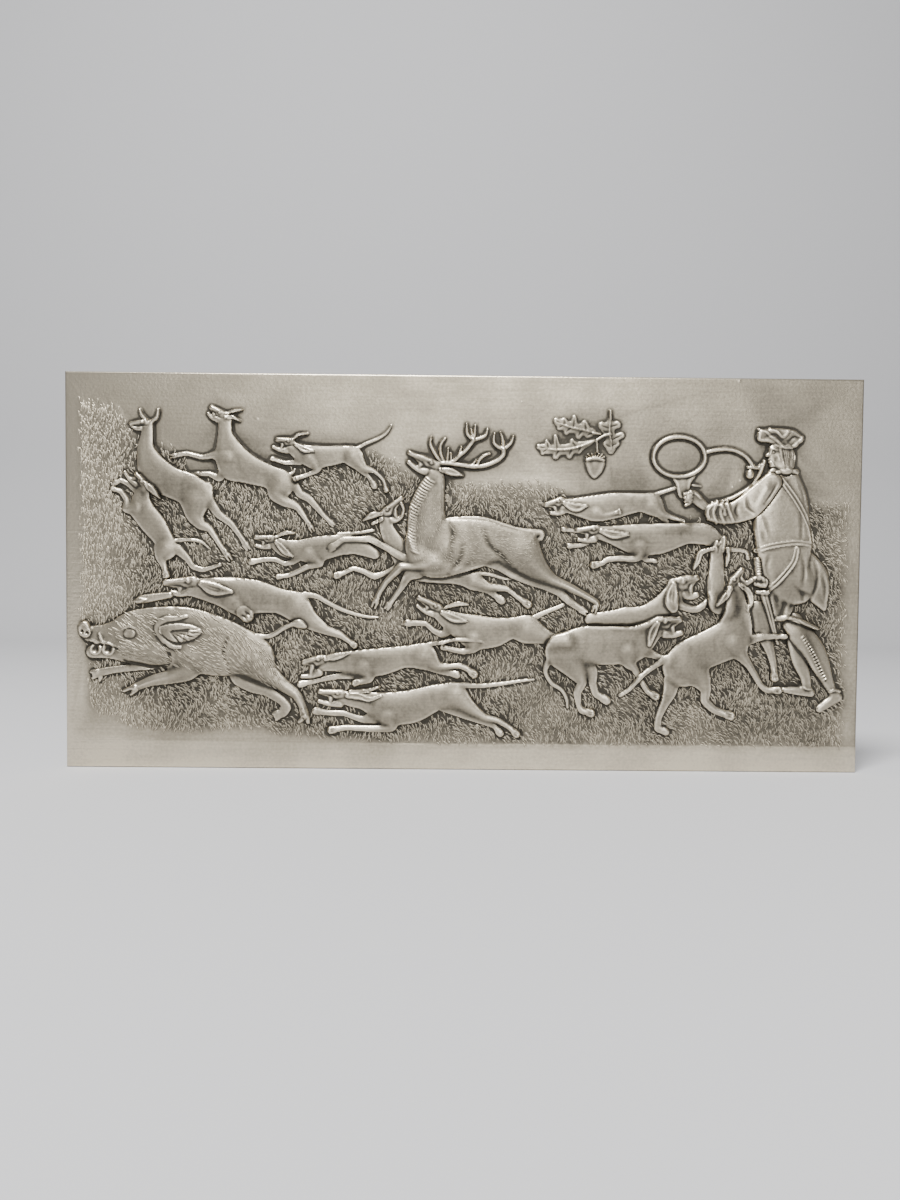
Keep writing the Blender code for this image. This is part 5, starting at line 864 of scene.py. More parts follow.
    def tall_hound(self) -> None:
        """The hound upright behind the rearing one."""
        self.beast(
            trunk=[[(327, 112, 3.2), (327, 104, 3.8), (327, 95, 4.6), (329, 86, 6)],
                   [(348, 82, 5.2), (350.4, 76, 5.4), (352.6, 70, 3.8)]],
            far=[[(330, 112.6, 1.6), (337.7, 112.7, 1.1), (342, 111.8, 1), (342.8, 109.2, 0.9)]],
            near=[[(352, 70, 3.6), (355.2, 61, 2.3), (357, 54, 1.7), (357.4, 49, 1.8)]],
            ears=[[(324.4, 113.2, 1), (318.9, 111, 1.5), (317.3, 106.6, 1.5), (315.6, 103.2, 0.8)],
                  [(332.8, 113.6, 0.8), (332.6, 108.9, 1.2), (331.8, 104.6, 0.7)]],
            heads=[dict(skull=(328.4, 112.6), r=2.6, nose=(331, 119.6), jaw=(326.6, 116.8),
                        cheek=(326.6, 113.6))])

    def front_hounds(self) -> None:
        """The two large hounds in front of the huntsman."""
        # the hound facing right, head low
        self.beast(
            trunk=[[(250.5, 61.4, 8.4), (262, 63.8, 9.8), (275, 63.9, 9.8), (286, 65, 8.8),
                    (294, 70.6, 5.6), (299, 74.6, 4.4)]],
            far=[[(258, 58, 6), (264.5, 51, 3.4), (265.5, 45, 2.1), (267.2, 39.4, 1.9), (271.6, 36.6, 1.9)],
                 [(290, 62, 4), (295, 59.8, 2.2), (300, 57.6, 1.5)]],
            near=[[(250, 60.4, 8.6), (257, 51.4, 5.4), (260, 45.4, 2.7), (257.8, 39.8, 2.1),
                   (258.7, 33.4, 1.5), (260.4, 30.8, 1.9), (264, 29.6, 1.8)],
                  [(283, 61, 5.5), (283.6, 55.4, 3.2), (286.4, 52.3, 2), (289.5, 47, 1.5),
                   (293.4, 40.8, 1.6), (296.8, 38.6, 1.8)]],
            ears=[[(297.4, 75.4, 1.3), (295.2, 71, 2.1), (293.6, 64.6, 1.1)]],
            tail=[(244, 57, 2), (241.6, 52, 1.3), (242.3, 48.3, 1.1), (245, 44.3, 1.1), (249.7, 41.2, 1),
                  (252.3, 37, 0.9), (253, 32.3, 0.6)],
            heads=[dict(skull=(300.4, 74.2), r=4.5, nose=(310, 77.6), jaw=(310, 69.8), cheek=(301.8, 70.6),
                        wide=0.5)],
            seams=[[(291, 72), (286, 66), (286.4, 57)], [(261, 72), (262, 64), (259, 56.5)],
                   [(270, 71), (271, 64), (269, 58)]])
        # the rearing hound, seen from behind, looking up
        self.beast(
            trunk=[[(336.2, 93, 4.2), (337, 86, 5.4), (337.4, 79, 6.8), (335.4, 69, 9.6), (326, 63.6, 9.4),
                    (315, 58.6, 9), (310.4, 53, 9.8)]],
            far=[[(308, 52, 6), (305.4, 45, 4.2), (304.4, 40, 3.4), (301.6, 33.6, 2.2), (299, 27, 1.7),
                  (299, 22, 2), (302, 20.6, 1.6)],
                 [(340, 68, 5), (345, 67.6, 2.6), (351.5, 69.1, 1.5), (361, 69.2, 1.2)]],
            near=[[(312, 55, 9), (319, 48.6, 5.8), (322.6, 42, 2.8), (322.6, 36.2, 2.3), (327.4, 31.6, 2),
                   (334.6, 28.9, 2)],
                  [(336, 66, 6), (340.4, 59.6, 3.4), (344.3, 54.6, 2.1), (347.8, 49, 1.7),
                   (350.5, 44.4, 1.6), (353.8, 42, 1.7), (358.4, 41.8, 1.7)]],
            ears=[[(338.8, 95.4, 1.1), (343.3, 91.6, 1.5), (344.2, 86.5, 1.4), (342.5, 82.3, 0.6)],
                  [(334.2, 93.6, 1), (330.6, 88.4, 1.5), (327.2, 84.7, 0.6)]],
            tail=[(302.4, 57.6, 1.9), (296, 53, 1.3), (290, 48.3, 1.2), (284, 41.6, 1.1),
                  (279.6, 38.5, 0.9)],
            heads=[dict(skull=(336.4, 96.2), r=3.4, nose=(340.4, 103.6), jaw=(345, 97.2),
                        cheek=(338.8, 95.2))],
            seams=[[(331, 74), (326, 66), (329, 57)], [(313, 66.5), (314.5, 60), (310.5, 52)],
                   [(337, 92), (336.4, 84), (338, 76)]])

    def huntsman(self) -> None:
        """The huntsman in coat and cocked hat, blowing his horn."""
        self.legs_and_shoes()
        self.coat()
        self.sleeve_and_hand()
        self.head_and_hat()

    def legs_and_shoes(self) -> None:
        """The huntsman's far leg, and the near one with its buttoned gaiter."""
        far = Figure(self.sheet)
        far.mass([(366.4, 70, 3.6), (367.6, 65.6, 3.9), (370, 57, 4), (373, 49, 2.9), (374, 43.5, 2.4)],
                 [(362.4, 42, 1.4), (368.4, 41.6, 2.1), (376, 40.6, 2.2)],
                 blend=0.8)
        far.line([(371.4, 43.8), (374.4, 42.6), (377, 43.2)], 0.5, 0.4)
        far.line([(361.8, 40.6), (368, 39.9), (376, 38.8)], 0.4, 0.3)
        self.sheet.lay(far, ride=0.7)
        near = Figure(self.sheet)
        near.mass([(366.4, 76, 5.6), (371.4, 69, 6.4), (377, 62, 6), (380.2, 56, 5.2), (383.4, 49, 3.6),
                   (387, 41.6, 2.3), (388.2, 39.4, 2.4)],
                  [(389.4, 38.6, 2.7), (385, 35.6, 2.3), (380.6, 32.4, 1.8)],
                  blend=0.6, ease=0.8)
        near.calm(0.6)
        near.mass([(385.4, 41.4, 0.8), (388, 42.4, 0.8), (390.6, 41.6, 0.8)], over=0.4)
        near.line([(391.4, 36.6), (385.6, 33.2), (380.8, 30.4)], 0.4, 0.3)
        seam = smooth_path([(370.6, 69.3), (374.2, 64), (377.4, 58.4), (380.4, 52.2), (383.4, 46.4)], 1.9)
        near.line([tuple(q) for q in seam], 0.35, -0.35)
        for a, b in zip(seam, seam[1:]):
            across = np.array([b[1] - a[1], a[0] - b[0]]) / np.hypot(*(b - a))
            near.line([tuple(a - 1.1 * across), tuple(a + 1.1 * across)], 0.4, 0.5)
        self.sheet.lay(near, ride=0.75)

    def coat(self) -> None:
        """The coat with its belt, baldric and skirts, over the breeches and the gaiter's top."""
        fig = Figure(self.sheet)
        fig.mass([(361, 98, 9.4), (360.2, 91, 8.2), (359.8, 85, 6.4), (359.8, 80.6, 4)],
                 blend=1.0, full=3.2)
        for fold in ([(352, 99), (356, 92), (357.6, 85)], [(362, 95), (361.4, 87), (360, 80)],
                     [(366, 92), (365.6, 86), (363, 81)]):
            fig.line(fold, 0.9, -0.4)
        fig.mass([(371, 108, 5.6), (375.6, 100, 7.6), (377.8, 93, 6.4), (380, 87.6, 3.6),
                  (381.8, 83.6, 1.4)],
                 blend=1.2, full=3.4)
        fig.mass([(359, 147, 9), (359.6, 137, 12.4), (359, 127, 14.2), (360.4, 117.6, 13.8)],
                 [(360.6, 114, 13.4), (361.4, 103, 11.8), (365, 96, 10.6), (369.4, 91.6, 5.8)],
                 blend=1.0, full=5.0, over=0.12)
        for fold in ([(375.8, 108), (377.4, 101), (376.8, 94.6), (374.2, 88.6)],
                     [(379.6, 101), (381.6, 94), (381.6, 87)], [(352.4, 110), (351, 103.6), (353.2, 98)],
                     [(369, 110), (370.4, 103), (369.6, 95)]):
            fig.line(fold, 0.9, -0.36)
        fig.swell([(356, 134, 7), (356, 124, 8)], 0.08)
        for fold in ([(365.6, 152), (369, 142), (371.4, 131)], [(368, 152), (371, 143), (372.6, 134)],
                     [(352.6, 120), (350.6, 127), (347.6, 131.4)],
                     [(367.6, 131), (368.6, 124), (368.4, 118)], [(350, 117), (349, 122)]):
            fig.line(fold, 0.7, -0.28)
        fig.calm(0.5)
        for band, wide in (([(346.6, 112.4), (353, 114.7), (360, 116), (367, 116.7), (374.6, 116)], 1.35),
                           ([(356.6, 150), (362.1, 142.9), (366.7, 136.2), (370.7, 129.2), (373.6, 122.4),
                             (374.6, 117.4)],
                            1.45),
                           ([(366.5, 113.4), (365.2, 107.4), (361.4, 101.7), (357, 96.8), (353.2, 93.4)],
                            1.45)):
            fig.mass([(*q, wide) for q in band], over=0.3, full=4)
            fig.line(band, 0.55, -0.34)
        fig.mass([(355.4, 77.4, 1), (359.6, 78.4, 1.3), (364, 78.6, 1.4), (368.4, 77.2, 1.4),
                  (373, 75.6, 1.4), (378.4, 73.4, 1)],
                 over=0.35)
        fig.line([(357, 77.6), (363, 77.6), (367.4, 77.4), (371, 75), (377, 73.4)], 0.4, -0.3)
        self.sheet.lay(fig, ride=0.7)

    def sleeve_and_hand(self) -> None:
        """The near arm with its gathered sleeve, and the hand round the horn."""
        arm = Figure(self.sheet)
        arm.mass([(313, 138.4, 2.8), (316, 138.4, 3.1), (318.6, 136.2, 2.7), (322, 133.6, 2.3),
                  (326, 131.6, 2.6)],
                 blend=0.5)
        arm.mass([(353.6, 146.6, 5.2), (348.4, 140.6, 6.2), (342.6, 134.8, 6.6), (335.4, 131.4, 5.6),
                  (329, 131, 5.4), (325.4, 131.4, 5)],
                 full=3.0, over=0.12, ease=0.8)
        arm.swell([(350, 143, 5), (343, 135.4, 5.6)], 0.3)
        for fold in ([(324.6, 136.2), (321.6, 132.6), (322.2, 128.2)],
                     [(326.8, 137), (324.6, 131.6), (326.4, 126.2)],
                     [(329.6, 137.2), (328.2, 131.8), (330.4, 125.8)],
                     [(331.6, 137.4), (332.2, 133), (334.8, 127)],
                     [(326, 136.2), (329.6, 134), (330.4, 130.6)]):
            arm.mass([(*q, 0.95) for q in fold], over=0.32)
        for fold in ([(336.6, 136), (335.6, 132), (337.6, 128)],
                     [(341, 138.6), (341.8, 134), (345.6, 130.6)],
                     [(349.4, 136), (352.6, 140.6), (355.4, 145.6)]):
            arm.line(fold, 0.8, -0.36)
        for k in range(4):
            arm.mass([(313.8 - 0.3 * k, 141.2 - 1.75 * k, 1), (310.2 + 0.25 * k, 140.4 - 1.8 * k, 0.95)],
                     over=0.3)
        arm.mass([(318, 139.2, 1.2), (316, 141.2, 1.1), (313.2, 141.8, 1)], over=0.3)
        self.sheet.lay(arm, ride=0.55)

    def head_and_hat(self) -> None:
        """The head in plain profile, with tied-back hair, collar and cocked hat."""
        fig = Figure(self.sheet)
        fig.mass([(360.6, 153.6, 3.8), (359.4, 156, 4.2), (359, 160.6, 5.6)],
                 [(356.2, 162.6, 4.3), (355.6, 159, 3.4), (354.6, 156.4, 2)],
                 blend=0.9)
        fig.mass([(352.9, 162, 0.8), (351.5, 160.3, 1)], over=0.2)
        for x, y, r in ((352.3, 158.3, 0.7), (352.5, 157, 0.7), (353.4, 155.2, 1.1)):
            fig.mass([(x, y, r), (x + 0.5, y, r)], over=0.15)
        fig.line([(351.6, 157.7), (353.8, 157.6)], 0.26, -0.35)
        fig.line([(352.6, 163.2), (354.4, 163.6), (356.2, 163)], 0.4, 0.35)
        fig.dot(354.4, 161.9, 0.95, -0.35)
        fig.dot(354.4, 161.9, 0.5, 0.5)
        fig.swell([(356.4, 160, 2.2), (357, 158.6, 2.2)], 0.25)
        fig.mass([(361.4, 164, 3.2), (362.6, 159.4, 3.3), (362.4, 155.6, 2.8)],
                 [(358.4, 163.6, 1.4), (359.2, 160.4, 1.4), (360.4, 157, 1.6)],
                 over=0.16)
        for k in range(6):
            fig.line([(358.6 + 1.1 * k, 163.6), (359.6 + 1.0 * k, 159), (360.2 + 0.8 * k, 153.8)],
                     0.42, -0.36)
        fig.mass([(356, 151.6, 1.2), (361, 152.2, 1.5), (366, 152.2, 1.5)], over=0.3)
        fig.mass([(348.8, 170.6, 2.6), (356, 170.4, 3.6), (363, 169.8, 3.6), (367.6, 168.6, 2.2)],
                 [(348.2, 168.8, 1.8), (353.4, 168.6, 2.2), (359, 166.6, 3), (364.6, 166.4, 2.6)],
                 blend=0.7, over=0.2, full=3.0)
        for fold in ([(347.2, 173.2), (350.4, 172.2), (353, 169.6), (356, 167.6), (359.6, 164.6),
                      (363.4, 164.4), (366.8, 167), (369.2, 169.6)],
                     [(352.8, 173.6), (355.6, 172.4), (358.2, 169.8), (360, 170.2), (362, 172.6),
                      (365.6, 172.2)]):
            fig.mass([(*q, 0.85) for q in fold], over=0.28)
        fig.line([(350, 169.6), (354.4, 170.6), (358, 168)], 0.8, -0.35)
        fig.line([(361.6, 167.4), (364.4, 169.6), (367, 169)], 0.8, -0.35)
        fig.dot(369.4, 170.4, 0.7, 0.4)
        self.sheet.lay(fig, ride=0.5)

    def horn(self) -> None:
        """The looped hunting horn, its bell opening into the loop."""
        fig = Figure(self.sheet)
        fig.mass([(303.8, 149.6, 0.9), (306.8, 146.4, 1.3), (308.6, 141, 1.3)],
                 [(315, 149.6, 0.9), (312.2, 146.4, 1.3), (310.8, 141, 1.3)],
                 [(309.5, 148.6, 1.6), (309.6, 145.6, 2), (309.7, 140, 1.4)],
                 blend=1.1, gain=0.8)
        ring = [(307.4 + 13.0 * np.cos(a), 159.2 + 10.0 * np.sin(a), 1.15)
                for a in np.linspace(-np.pi / 2, 1.5 * np.pi, 25)]
        fig.mass(ring, gain=1.25)
        fig.mass([(320.4, 161.4, 1.1), (325, 162.6, 1.1), (330.6, 163.2, 1.1), (335.5, 162.5, 1.1),
                  (340.4, 160, 1.1), (343.4, 156.6, 1.1), (344.6, 154.4, 1.2)],
                 gain=1.2)
        fig.mass([(343.2, 151.6, 1.8), (342.9, 150.4, 2.1)], over=0.3)
        fig.mass([(342.2, 154.2, 0.9), (344.8, 154.2, 1.2), (347.4, 154, 0.9), (348, 155.6, 0.7)],
                 over=0.25)
        fig.mass([(350.2, 157.4, 0.9), (349, 154.1, 1.1), (347, 149.2, 1.1), (343.9, 144.6, 1.1),
                  (339, 141.2, 1.1), (334.4, 138.8, 1.1), (328.6, 136.6, 1)],
                 gain=1.2)
        self.sheet.lay(fig, ride=0.6)

    def sword(self) -> None:
        """The hanger at the huntsman's side, with its ribbed grip and shell guard."""
        fig = Figure(self.sheet)
        fig.mass([(350.9, 91, 2.1), (353.4, 83, 1.9), (355.7, 74.5, 1.5), (358.8, 65.6, 0.9)])
        fig.line([(351.2, 90), (353.6, 82), (355.9, 74.5), (358.4, 67)], 0.4, -0.3)
        fig.mass([(347.2, 107.6, 1.7), (348.2, 100, 1.7)])
        for k in range(6):
            fig.line([(345.4 + 0.15 * k, 106.8 - 1.25 * k), (349.4 + 0.15 * k, 107.2 - 1.25 * k)],
                     0.38, 0.45)
        fig.mass([(345.6, 97.8, 1.4), (348.4, 98.6, 1.6), (351.6, 97.2, 1.4), (351.2, 94.8, 1.2)],
                 [(347, 95.6, 1.2), (349.4, 95, 1.4)], over=0.35)
        for x in (347, 349.2, 351.2):
            fig.line([(x, 98.8), (x + 0.2, 95)], 0.35, -0.3)
        fig.mass([(347.8, 91.4, 1.2), (352.8, 91.4, 1.3)], over=0.35)
        self.sheet.lay(fig, ride=0.5)

    def oak_sprig(self) -> None:
        """The sprig of oak with its acorn."""
        fig = Figure(self.sheet)
        leaves = (([(246.3, 175.6), (253.5, 173.3), (260, 172), (266.4, 170.2)],
                   [(245.4, 176.8, 1.4), (249.5, 177, 1.2), (254.5, 178.4, 1.2), (259.8, 175.4, 1.7),
                    (247, 173.2, 1.2), (250.6, 171, 1.4), (256.7, 169.2, 1.7), (261.2, 169.4, 1.3)]),
                  ([(239.6, 162.6), (248.4, 162.2), (256.4, 163.6), (266, 167.2)],
                   [(237, 163.6, 1.4), (238.8, 160.7, 1.1), (240.8, 166.4, 0.9), (245.2, 168.8, 1),
                    (253.6, 166.4, 1.3), (245.4, 159, 1.7), (252.2, 159.2, 1.5), (257, 161.4, 1.2)]),
                  ([(272.4, 177.4), (272.2, 171), (273.1, 166.4), (273, 162)],
                   [(268.4, 174.4, 2), (269.2, 171.8, 1.3), (276.2, 175, 1.9), (278.4, 169.8, 1.6),
                    (270.5, 165.2, 1.5), (276, 165.6, 1.5), (273, 161.6, 1)]))
        for rib, lobes in leaves:
            path = smooth_path(rib)
            near = [path[min(np.argmin(np.hypot(*(path - lobe[:2]).T)) + 2, len(path) - 1)]
                    for lobe in lobes]
            fig.mass([(*q, r) for q, r in zip(rib, (1.3, 2.6, 2.3, 0.7))],
                     *[[(*foot, 2), lobe] for foot, lobe in zip(near, lobes)],
                     blend=0.5, full=3.0, gain=0.42)
            fig.line(rib, 0.4, 0.4)
            for foot, lobe in zip(near, lobes):
                fig.line([tuple(foot), lobe[:2]], 0.34, -0.2)
        for twig in ([(272.6, 178, 0.7), (272.5, 181.7, 0.8)],
                     [(272.9, 170.3, 0.7), (269.5, 169.4, 0.8), (265.6, 167.1, 0.8)],
                     [(264, 170.6, 0.7), (267.6, 170.3, 0.7)], [(265.8, 166.4, 0.7), (266.2, 161.4, 0.8)]):
            fig.mass(twig, over=0.3)
        fig.mass([(262, 155.6, 1.8), (263.2, 152, 1.7), (264.6, 149.8, 1)],
                 [(265.2, 155.6, 2.6), (264.9, 150, 1.1)],
                 [(268.6, 155.6, 1.8), (267.2, 152, 1.7), (265.2, 149.8, 1)],
                 blend=0.8, gain=0.6)
        fig.mass([(261, 157.2, 0.9), (265.2, 157.9, 1), (269.4, 157.2, 0.9)], over=0.3)
        for k in range(7):
            a = math.radians(-63 + 21 * k)
            fig.mass([(265.2 + 2.6 * math.sin(a), 157.4 + 1.2 * math.cos(a), 0.5),
                      (265.2 + 5.2 * math.sin(a), 157.4 + 3.4 * math.cos(a), 0.42)],
                     over=0.2)
        self.sheet.lay(fig, ride=0.4)

    def draw(self) -> None:
        """Draws the whole relief, from the figures farthest back to those in front."""
        self.hinds()
        self.left_hounds()
        self.boar_hound()
        self.boar()
        self.middle_hounds()
        self.stag()
        self.lower_hounds()
        self.right_hounds()
        self.horn()
        self.tall_hound()
        self.huntsman()
        self.sword()
        self.front_hounds()
        self.oak_sprig()


@dataclass
class Meadow:
    """Where the grass grows in the picture, and which way its blades lean."""

    horizon: Path = ((0, 184), (26, 182), (36, 166), (60, 158), (62, 146), (120, 151), (124, 154),
                     (146, 154), (154, 160), (166, 155), (176, 146), (191, 144.5), (243, 144.5), (252, 139),
                     (262, 133), (300, 131), (306, 127), (330, 127), (345, 131), (376, 135), (400, 135))
    foot: Path = ((0, 44), (10, 36), (14, 29), (24, 24.5), (33, 21), (60, 18.5), (85, 20), (100, 20.5),
                  (106, 17.5), (140, 15.5), (190, 14), (300, 13.8), (400, 13.8))
    left_edge: Path = ((0, 13), (60, 12), (66, 8.5), (120, 8), (199, 8))
    right_edge: float = 391.5
    fade: float = 5.0

    def share(self, sheet: Sheet) -> np.ndarray:
        """How much grass there is at each point of the sheet, from 0 to 1.

        Args:
            sheet: The sheet.

        Returns:
            The share at each point.
        """
        x, y = sheet.x[None, :], sheet.y[:, None]
        top = np.interp(sheet.x, *zip(*self.horizon))[None, :]
        low = np.interp(sheet.x, *zip(*self.foot))[None, :]
        left = np.interp(sheet.y, *zip(*self.left_edge))[:, None]
        ragged = 0.8 * np.sin(1.3 * x + 0.7 * y) + 0.6 * np.sin(2.9 * x - 1.1 * y)
        inside = np.minimum.reduce([top - y, 1.6 * (y - low), 1.4 * (x - left),
                                    0.9 * (self.right_edge - x) + 0 * y])
        return np.clip(0.5 + (inside + ragged) / self.fade, 0, 1)

    def lean(self, sheet: Sheet) -> np.ndarray:
        """Which way the blades point, as an angle from the picture's x in radians.

        Args:
            sheet: The sheet.

        Returns:
            The angle at each point.
        """
        x, y = sheet.x[None, :], sheet.y[:, None]
        waves = math.radians(108) + 0.35 * np.sin(x / 17 + y / 11) + 0.45 * np.sin(x / 5.3 - y / 4.1)
        upright = math.radians(92) + 0.3 * np.sin(y / 2.2 + x)
        left = np.clip((30 - x) / 6, 0, 1) * np.clip((y - 60) / 20, 0, 1)
        return waves * (1 - left) + left * upright


@dataclass
class BoarCoat:
    """Where the boar's bristles grow, and which way they lie."""

    body: Roll = ((25, 64, 5), (36, 66, 11), (46, 66.4, 12.6), (60, 65.4, 13.6), (75, 61.6, 13),
                  (88, 58.6, 10), (97, 53, 7.4), (105, 45.6, 4))
    bare_spots: Roll = ((57.6, 69, 12.5), (32.7, 68.4, 4.6), (19, 62, 8))

    def share(self, sheet: Sheet) -> np.ndarray:
        """Where bristles grow, from 0 to 1.

        Args:
            sheet: The sheet.

        Returns:
            The share at each point.
        """
        patch = Figure(sheet)
        patch.mass(self.body)
        share = blur(patch.cover, 2)
        for x, y, r in self.bare_spots:
            away = np.hypot(sheet.x[None, :] - x, 1.4 * (sheet.y[:, None] - y)) / r
            share = share * np.clip(3 * (away - 0.85), 0, 1)
        return share

    def lie(self, sheet: Sheet) -> np.ndarray:
        """Down and to the right, steeper over the rump."""
        x, y = sheet.x[None, :], sheet.y[:, None]
        return -math.radians(28) - 0.35 * np.clip((x - 75) / 20, 0, 1) + 0.2 * np.sin(x / 6 + y / 4)


@dataclass
class StagCoat:
    """The short hair on the stag's neck and side."""

    body: Roll = ((181, 133, 6.5), (181.8, 122, 8.4), (185, 112, 11), (196, 114, 11.6), (208, 116, 10),
                  (218, 116, 8), (228, 112, 7.6))

    def share(self, sheet: Sheet) -> np.ndarray:
        """Where the hair shows, from 0 to 1.

        Args:
            sheet: The sheet.

        Returns:
            The share at each point.
        """
        patch = Figure(sheet)
        patch.mass(self.body)
        return blur(patch.cover, 4)

    def lie(self, sheet: Sheet) -> np.ndarray:
        """Down the neck, then back along the side.

        Args:
            sheet: The sheet.

        Returns:
            The angle at each point, in radians.
        """
        x, y = sheet.x[None, :], sheet.y[:, None]
        along = np.clip((x - 184) / 14, 0, 1)
        return -math.radians(70) * (1 - along) - math.radians(14) * along + 0.15 * np.sin(x / 5 + y / 3)


@dataclass
class PlaqueCasting:
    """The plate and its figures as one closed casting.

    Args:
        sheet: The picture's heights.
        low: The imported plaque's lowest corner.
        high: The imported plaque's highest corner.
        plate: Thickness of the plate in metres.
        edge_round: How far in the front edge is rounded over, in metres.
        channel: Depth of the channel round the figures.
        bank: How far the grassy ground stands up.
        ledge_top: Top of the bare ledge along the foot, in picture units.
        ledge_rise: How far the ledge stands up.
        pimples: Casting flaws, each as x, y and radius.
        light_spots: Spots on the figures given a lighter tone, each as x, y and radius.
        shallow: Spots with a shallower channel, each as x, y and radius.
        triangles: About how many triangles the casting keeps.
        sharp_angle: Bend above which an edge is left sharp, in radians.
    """

    sheet: Sheet
    low: Vector
    high: Vector
    plate: float = 0.0030
    edge_round: float = 0.0010
    channel: float = 0.30
    bank: float = 0.15
    ledge_top: float = 13.6
    ledge_rise: float = 0.16
    pimples: Roll = ((338.4, 147.6, 0.55), (334.6, 144.4, 0.4), (337, 197.4, 0.6), (96, 176, 0.4),
                     (228, 186, 0.4))
    light_spots: Roll = ((361, 126, 22), (345, 141, 10))
    shallow: Roll = ((259, 167, 20),)
    triangles: int = 190000
    sharp_angle: float = math.radians(62)
    relief: np.ndarray = field(init=False)
    patina_and_painted_light: np.ndarray = field(init=False)
    turf: np.ndarray = field(init=False)

    def __post_init__(self) -> None:
        """Works out the surface heights in metres, where the patina gathers, and the painted light and
        shade added to that tone.
        """
        sheet = self.sheet
        self.turf = Meadow().share(sheet)
        near = blur(sheet.cover, self.cells(0.9))
        gentle = np.zeros_like(sheet.h)
        for x, y, r in self.shallow:
            gentle += np.exp(-(((sheet.x[None, :] - x)**2 + (sheet.y[:, None] - y)**2) / r**2)**2)
        sunk = -self.channel * np.clip(near * 2.4, 0, 1) * (1 - sheet.cover) * (1 - 0.8 * gentle)
        away = 1 - np.clip(near * 2.0, 0, 1)
        lift = self.bank * blur(self.turf * (1 - sheet.cover), self.cells(1.2)) * away
        ledge = self.ledge_rise * np.clip((self.ledge_top - sheet.y) / 0.7, 0, 1)[:, None]
        ledge = ledge * np.clip((sheet.x - 110) / 60, 0.25, 1)[None, :] * (1 - sheet.cover)
        flaws = np.zeros_like(sheet.h)
        for x, y, r in self.pimples:
            flaws += 0.3 * np.exp(-((sheet.x[None, :] - x)**2 + (sheet.y[:, None] - y)**2) / r**2)
        crisp = sheet.h - blur(sheet.h, self.cells(1.1))
        relief = sheet.h + np.clip(0.7 * crisp, -0.32, 0.28) * sheet.cover + sunk + lift + ledge + flaws
        rise = -self.low.y - self.plate
        self.relief = self.plate + rise * relief / relief.max()
        fine = blur(relief, self.cells(0.7)) - relief
        broad = blur(relief, self.cells(2.6)) - relief
        shade = np.clip(1.5 * fine, -0.5, 0.26) + np.clip(0.34 * broad, -0.10, 0.3)
        # painted light: slopes that face down are painted darker and slopes that face up painted lighter,
        # as under a lamp from above; from here shade holds both this and the hollows' patina
        under = np.gradient(blur(relief, self.cells(0.4)), self.sheet.cell, axis=0)
        shade += 0.32 * np.clip(under, 0, 1.1) - 0.24 * np.clip(-under, 0, 1.1)
        shade *= 1 - 0.35 * gentle
        among = blur(sheet.cover, self.cells(5.0))
        # painted highlight: the tone is lighter along the plate's top edge and, by half, towards its left
        # edge, where the light catches
        top_edge = np.clip(1 - (LAYOUT_HEIGHT - sheet.y) / 1.2, 0, 1)[:, None]
        left_edge = np.clip(1 - sheet.x / 6, 0, 1)[None, :]
        rim = top_edge + left_edge * 0.5
        # a lighter tone over the figures at these spots
        lightened = np.zeros_like(relief)
        for x, y, r in self.light_spots:
            lightened += np.exp(-((sheet.x[None, :] - x)**2 + (sheet.y[:, None] - y)**2) / r**2)
        # the grass ground darker away from the left edge, the ground darker still among the figures, and
        # the figures' own tone
        from_left_side = np.clip((sheet.x - 18) / 26, 0, 1)[None, :]
        turf_darkening = self.turf * (0.10 + 0.20 * from_left_side)
        ground_and_figure_tone = (0.21 - 0.22 * lightened) * sheet.cover + (turf_darkening + 0.56 * among) * (1 - sheet.cover)
        # painted light: the bare plate is made lighter along its bottom and left edges
        low_band = np.clip((13 - sheet.y) / 4, 0, 1)[:, None]
        left_band = np.clip((12 - sheet.x) / 5, 0, 1)[None, :]
        painted_band_light = 0.22 * low_band + 0.30 * left_band
        # the tone: patina in the hollows, the ground and figure tones, the painted slope light, the painted
        # highlight along the top and left edges, and the painted light of the bottom and left bands
        self.patina_and_painted_light = np.clip(0.16 + shade - 0.15 * rim - painted_band_light * (1 - sheet.cover) + ground_and_figure_tone, -0.1, 1)

    def cells(self, width: float) -> int:
        """Number of grid cells in a width in picture units, at least one."""
        return max(1, int(round(width / self.sheet.cell)))

    def place(self, x: np.ndarray, y: np.ndarray) -> tuple[np.ndarray, np.ndarray]:
        """Picture units to metres along and up the plaque."""
        return (self.low.x + (self.high.x - self.low.x) * x / LAYOUT_LENGTH,
                self.low.z + (self.high.z - self.low.z) * y / LAYOUT_HEIGHT)

    def sample(self, values: np.ndarray, x: np.ndarray, z: np.ndarray) -> np.ndarray:
        """Reads a grid of values at points given in metres.

        Args:
            values: Values over the sheet's grid.
            x: Places along the plaque.
            z: Places up the plaque.

        Returns:
            The value at each point.
        """
        u = (x - self.low.x) / (self.high.x - self.low.x) * (len(self.sheet.x) - 1)
        v = (z - self.low.z) / (self.high.z - self.low.z) * (len(self.sheet.y) - 1)
        i = np.clip(u.astype(int), 0, len(self.sheet.x) - 2)
        j = np.clip(v.astype(int), 0, len(self.sheet.y) - 2)
        fu, fv = np.clip(u - i, 0, 1), np.clip(v - j, 0, 1)
        low = values[j, i] * (1 - fu) + values[j, i + 1] * fu
        high = values[j + 1, i] * (1 - fu) + values[j + 1, i + 1] * fu
        return low * (1 - fv) + high * fv

    def depth(self) -> np.ndarray:
        """Surface height with the plate's edge rounded over.

        Returns:
            The heights in metres, over the grid.
        """
        unit = (self.high.x - self.low.x) / LAYOUT_LENGTH
        to_side = np.minimum(self.sheet.x, LAYOUT_LENGTH - self.sheet.x)[None, :] * unit
        to_end = np.minimum(self.sheet.y, LAYOUT_HEIGHT - self.sheet.y)[:, None] * unit
        q = np.clip(1 - np.minimum(to_side, to_end) / self.edge_round, 0, 1)
        return self.relief - self.edge_round * 0.8 * (1 - np.sqrt(1 - q * q))

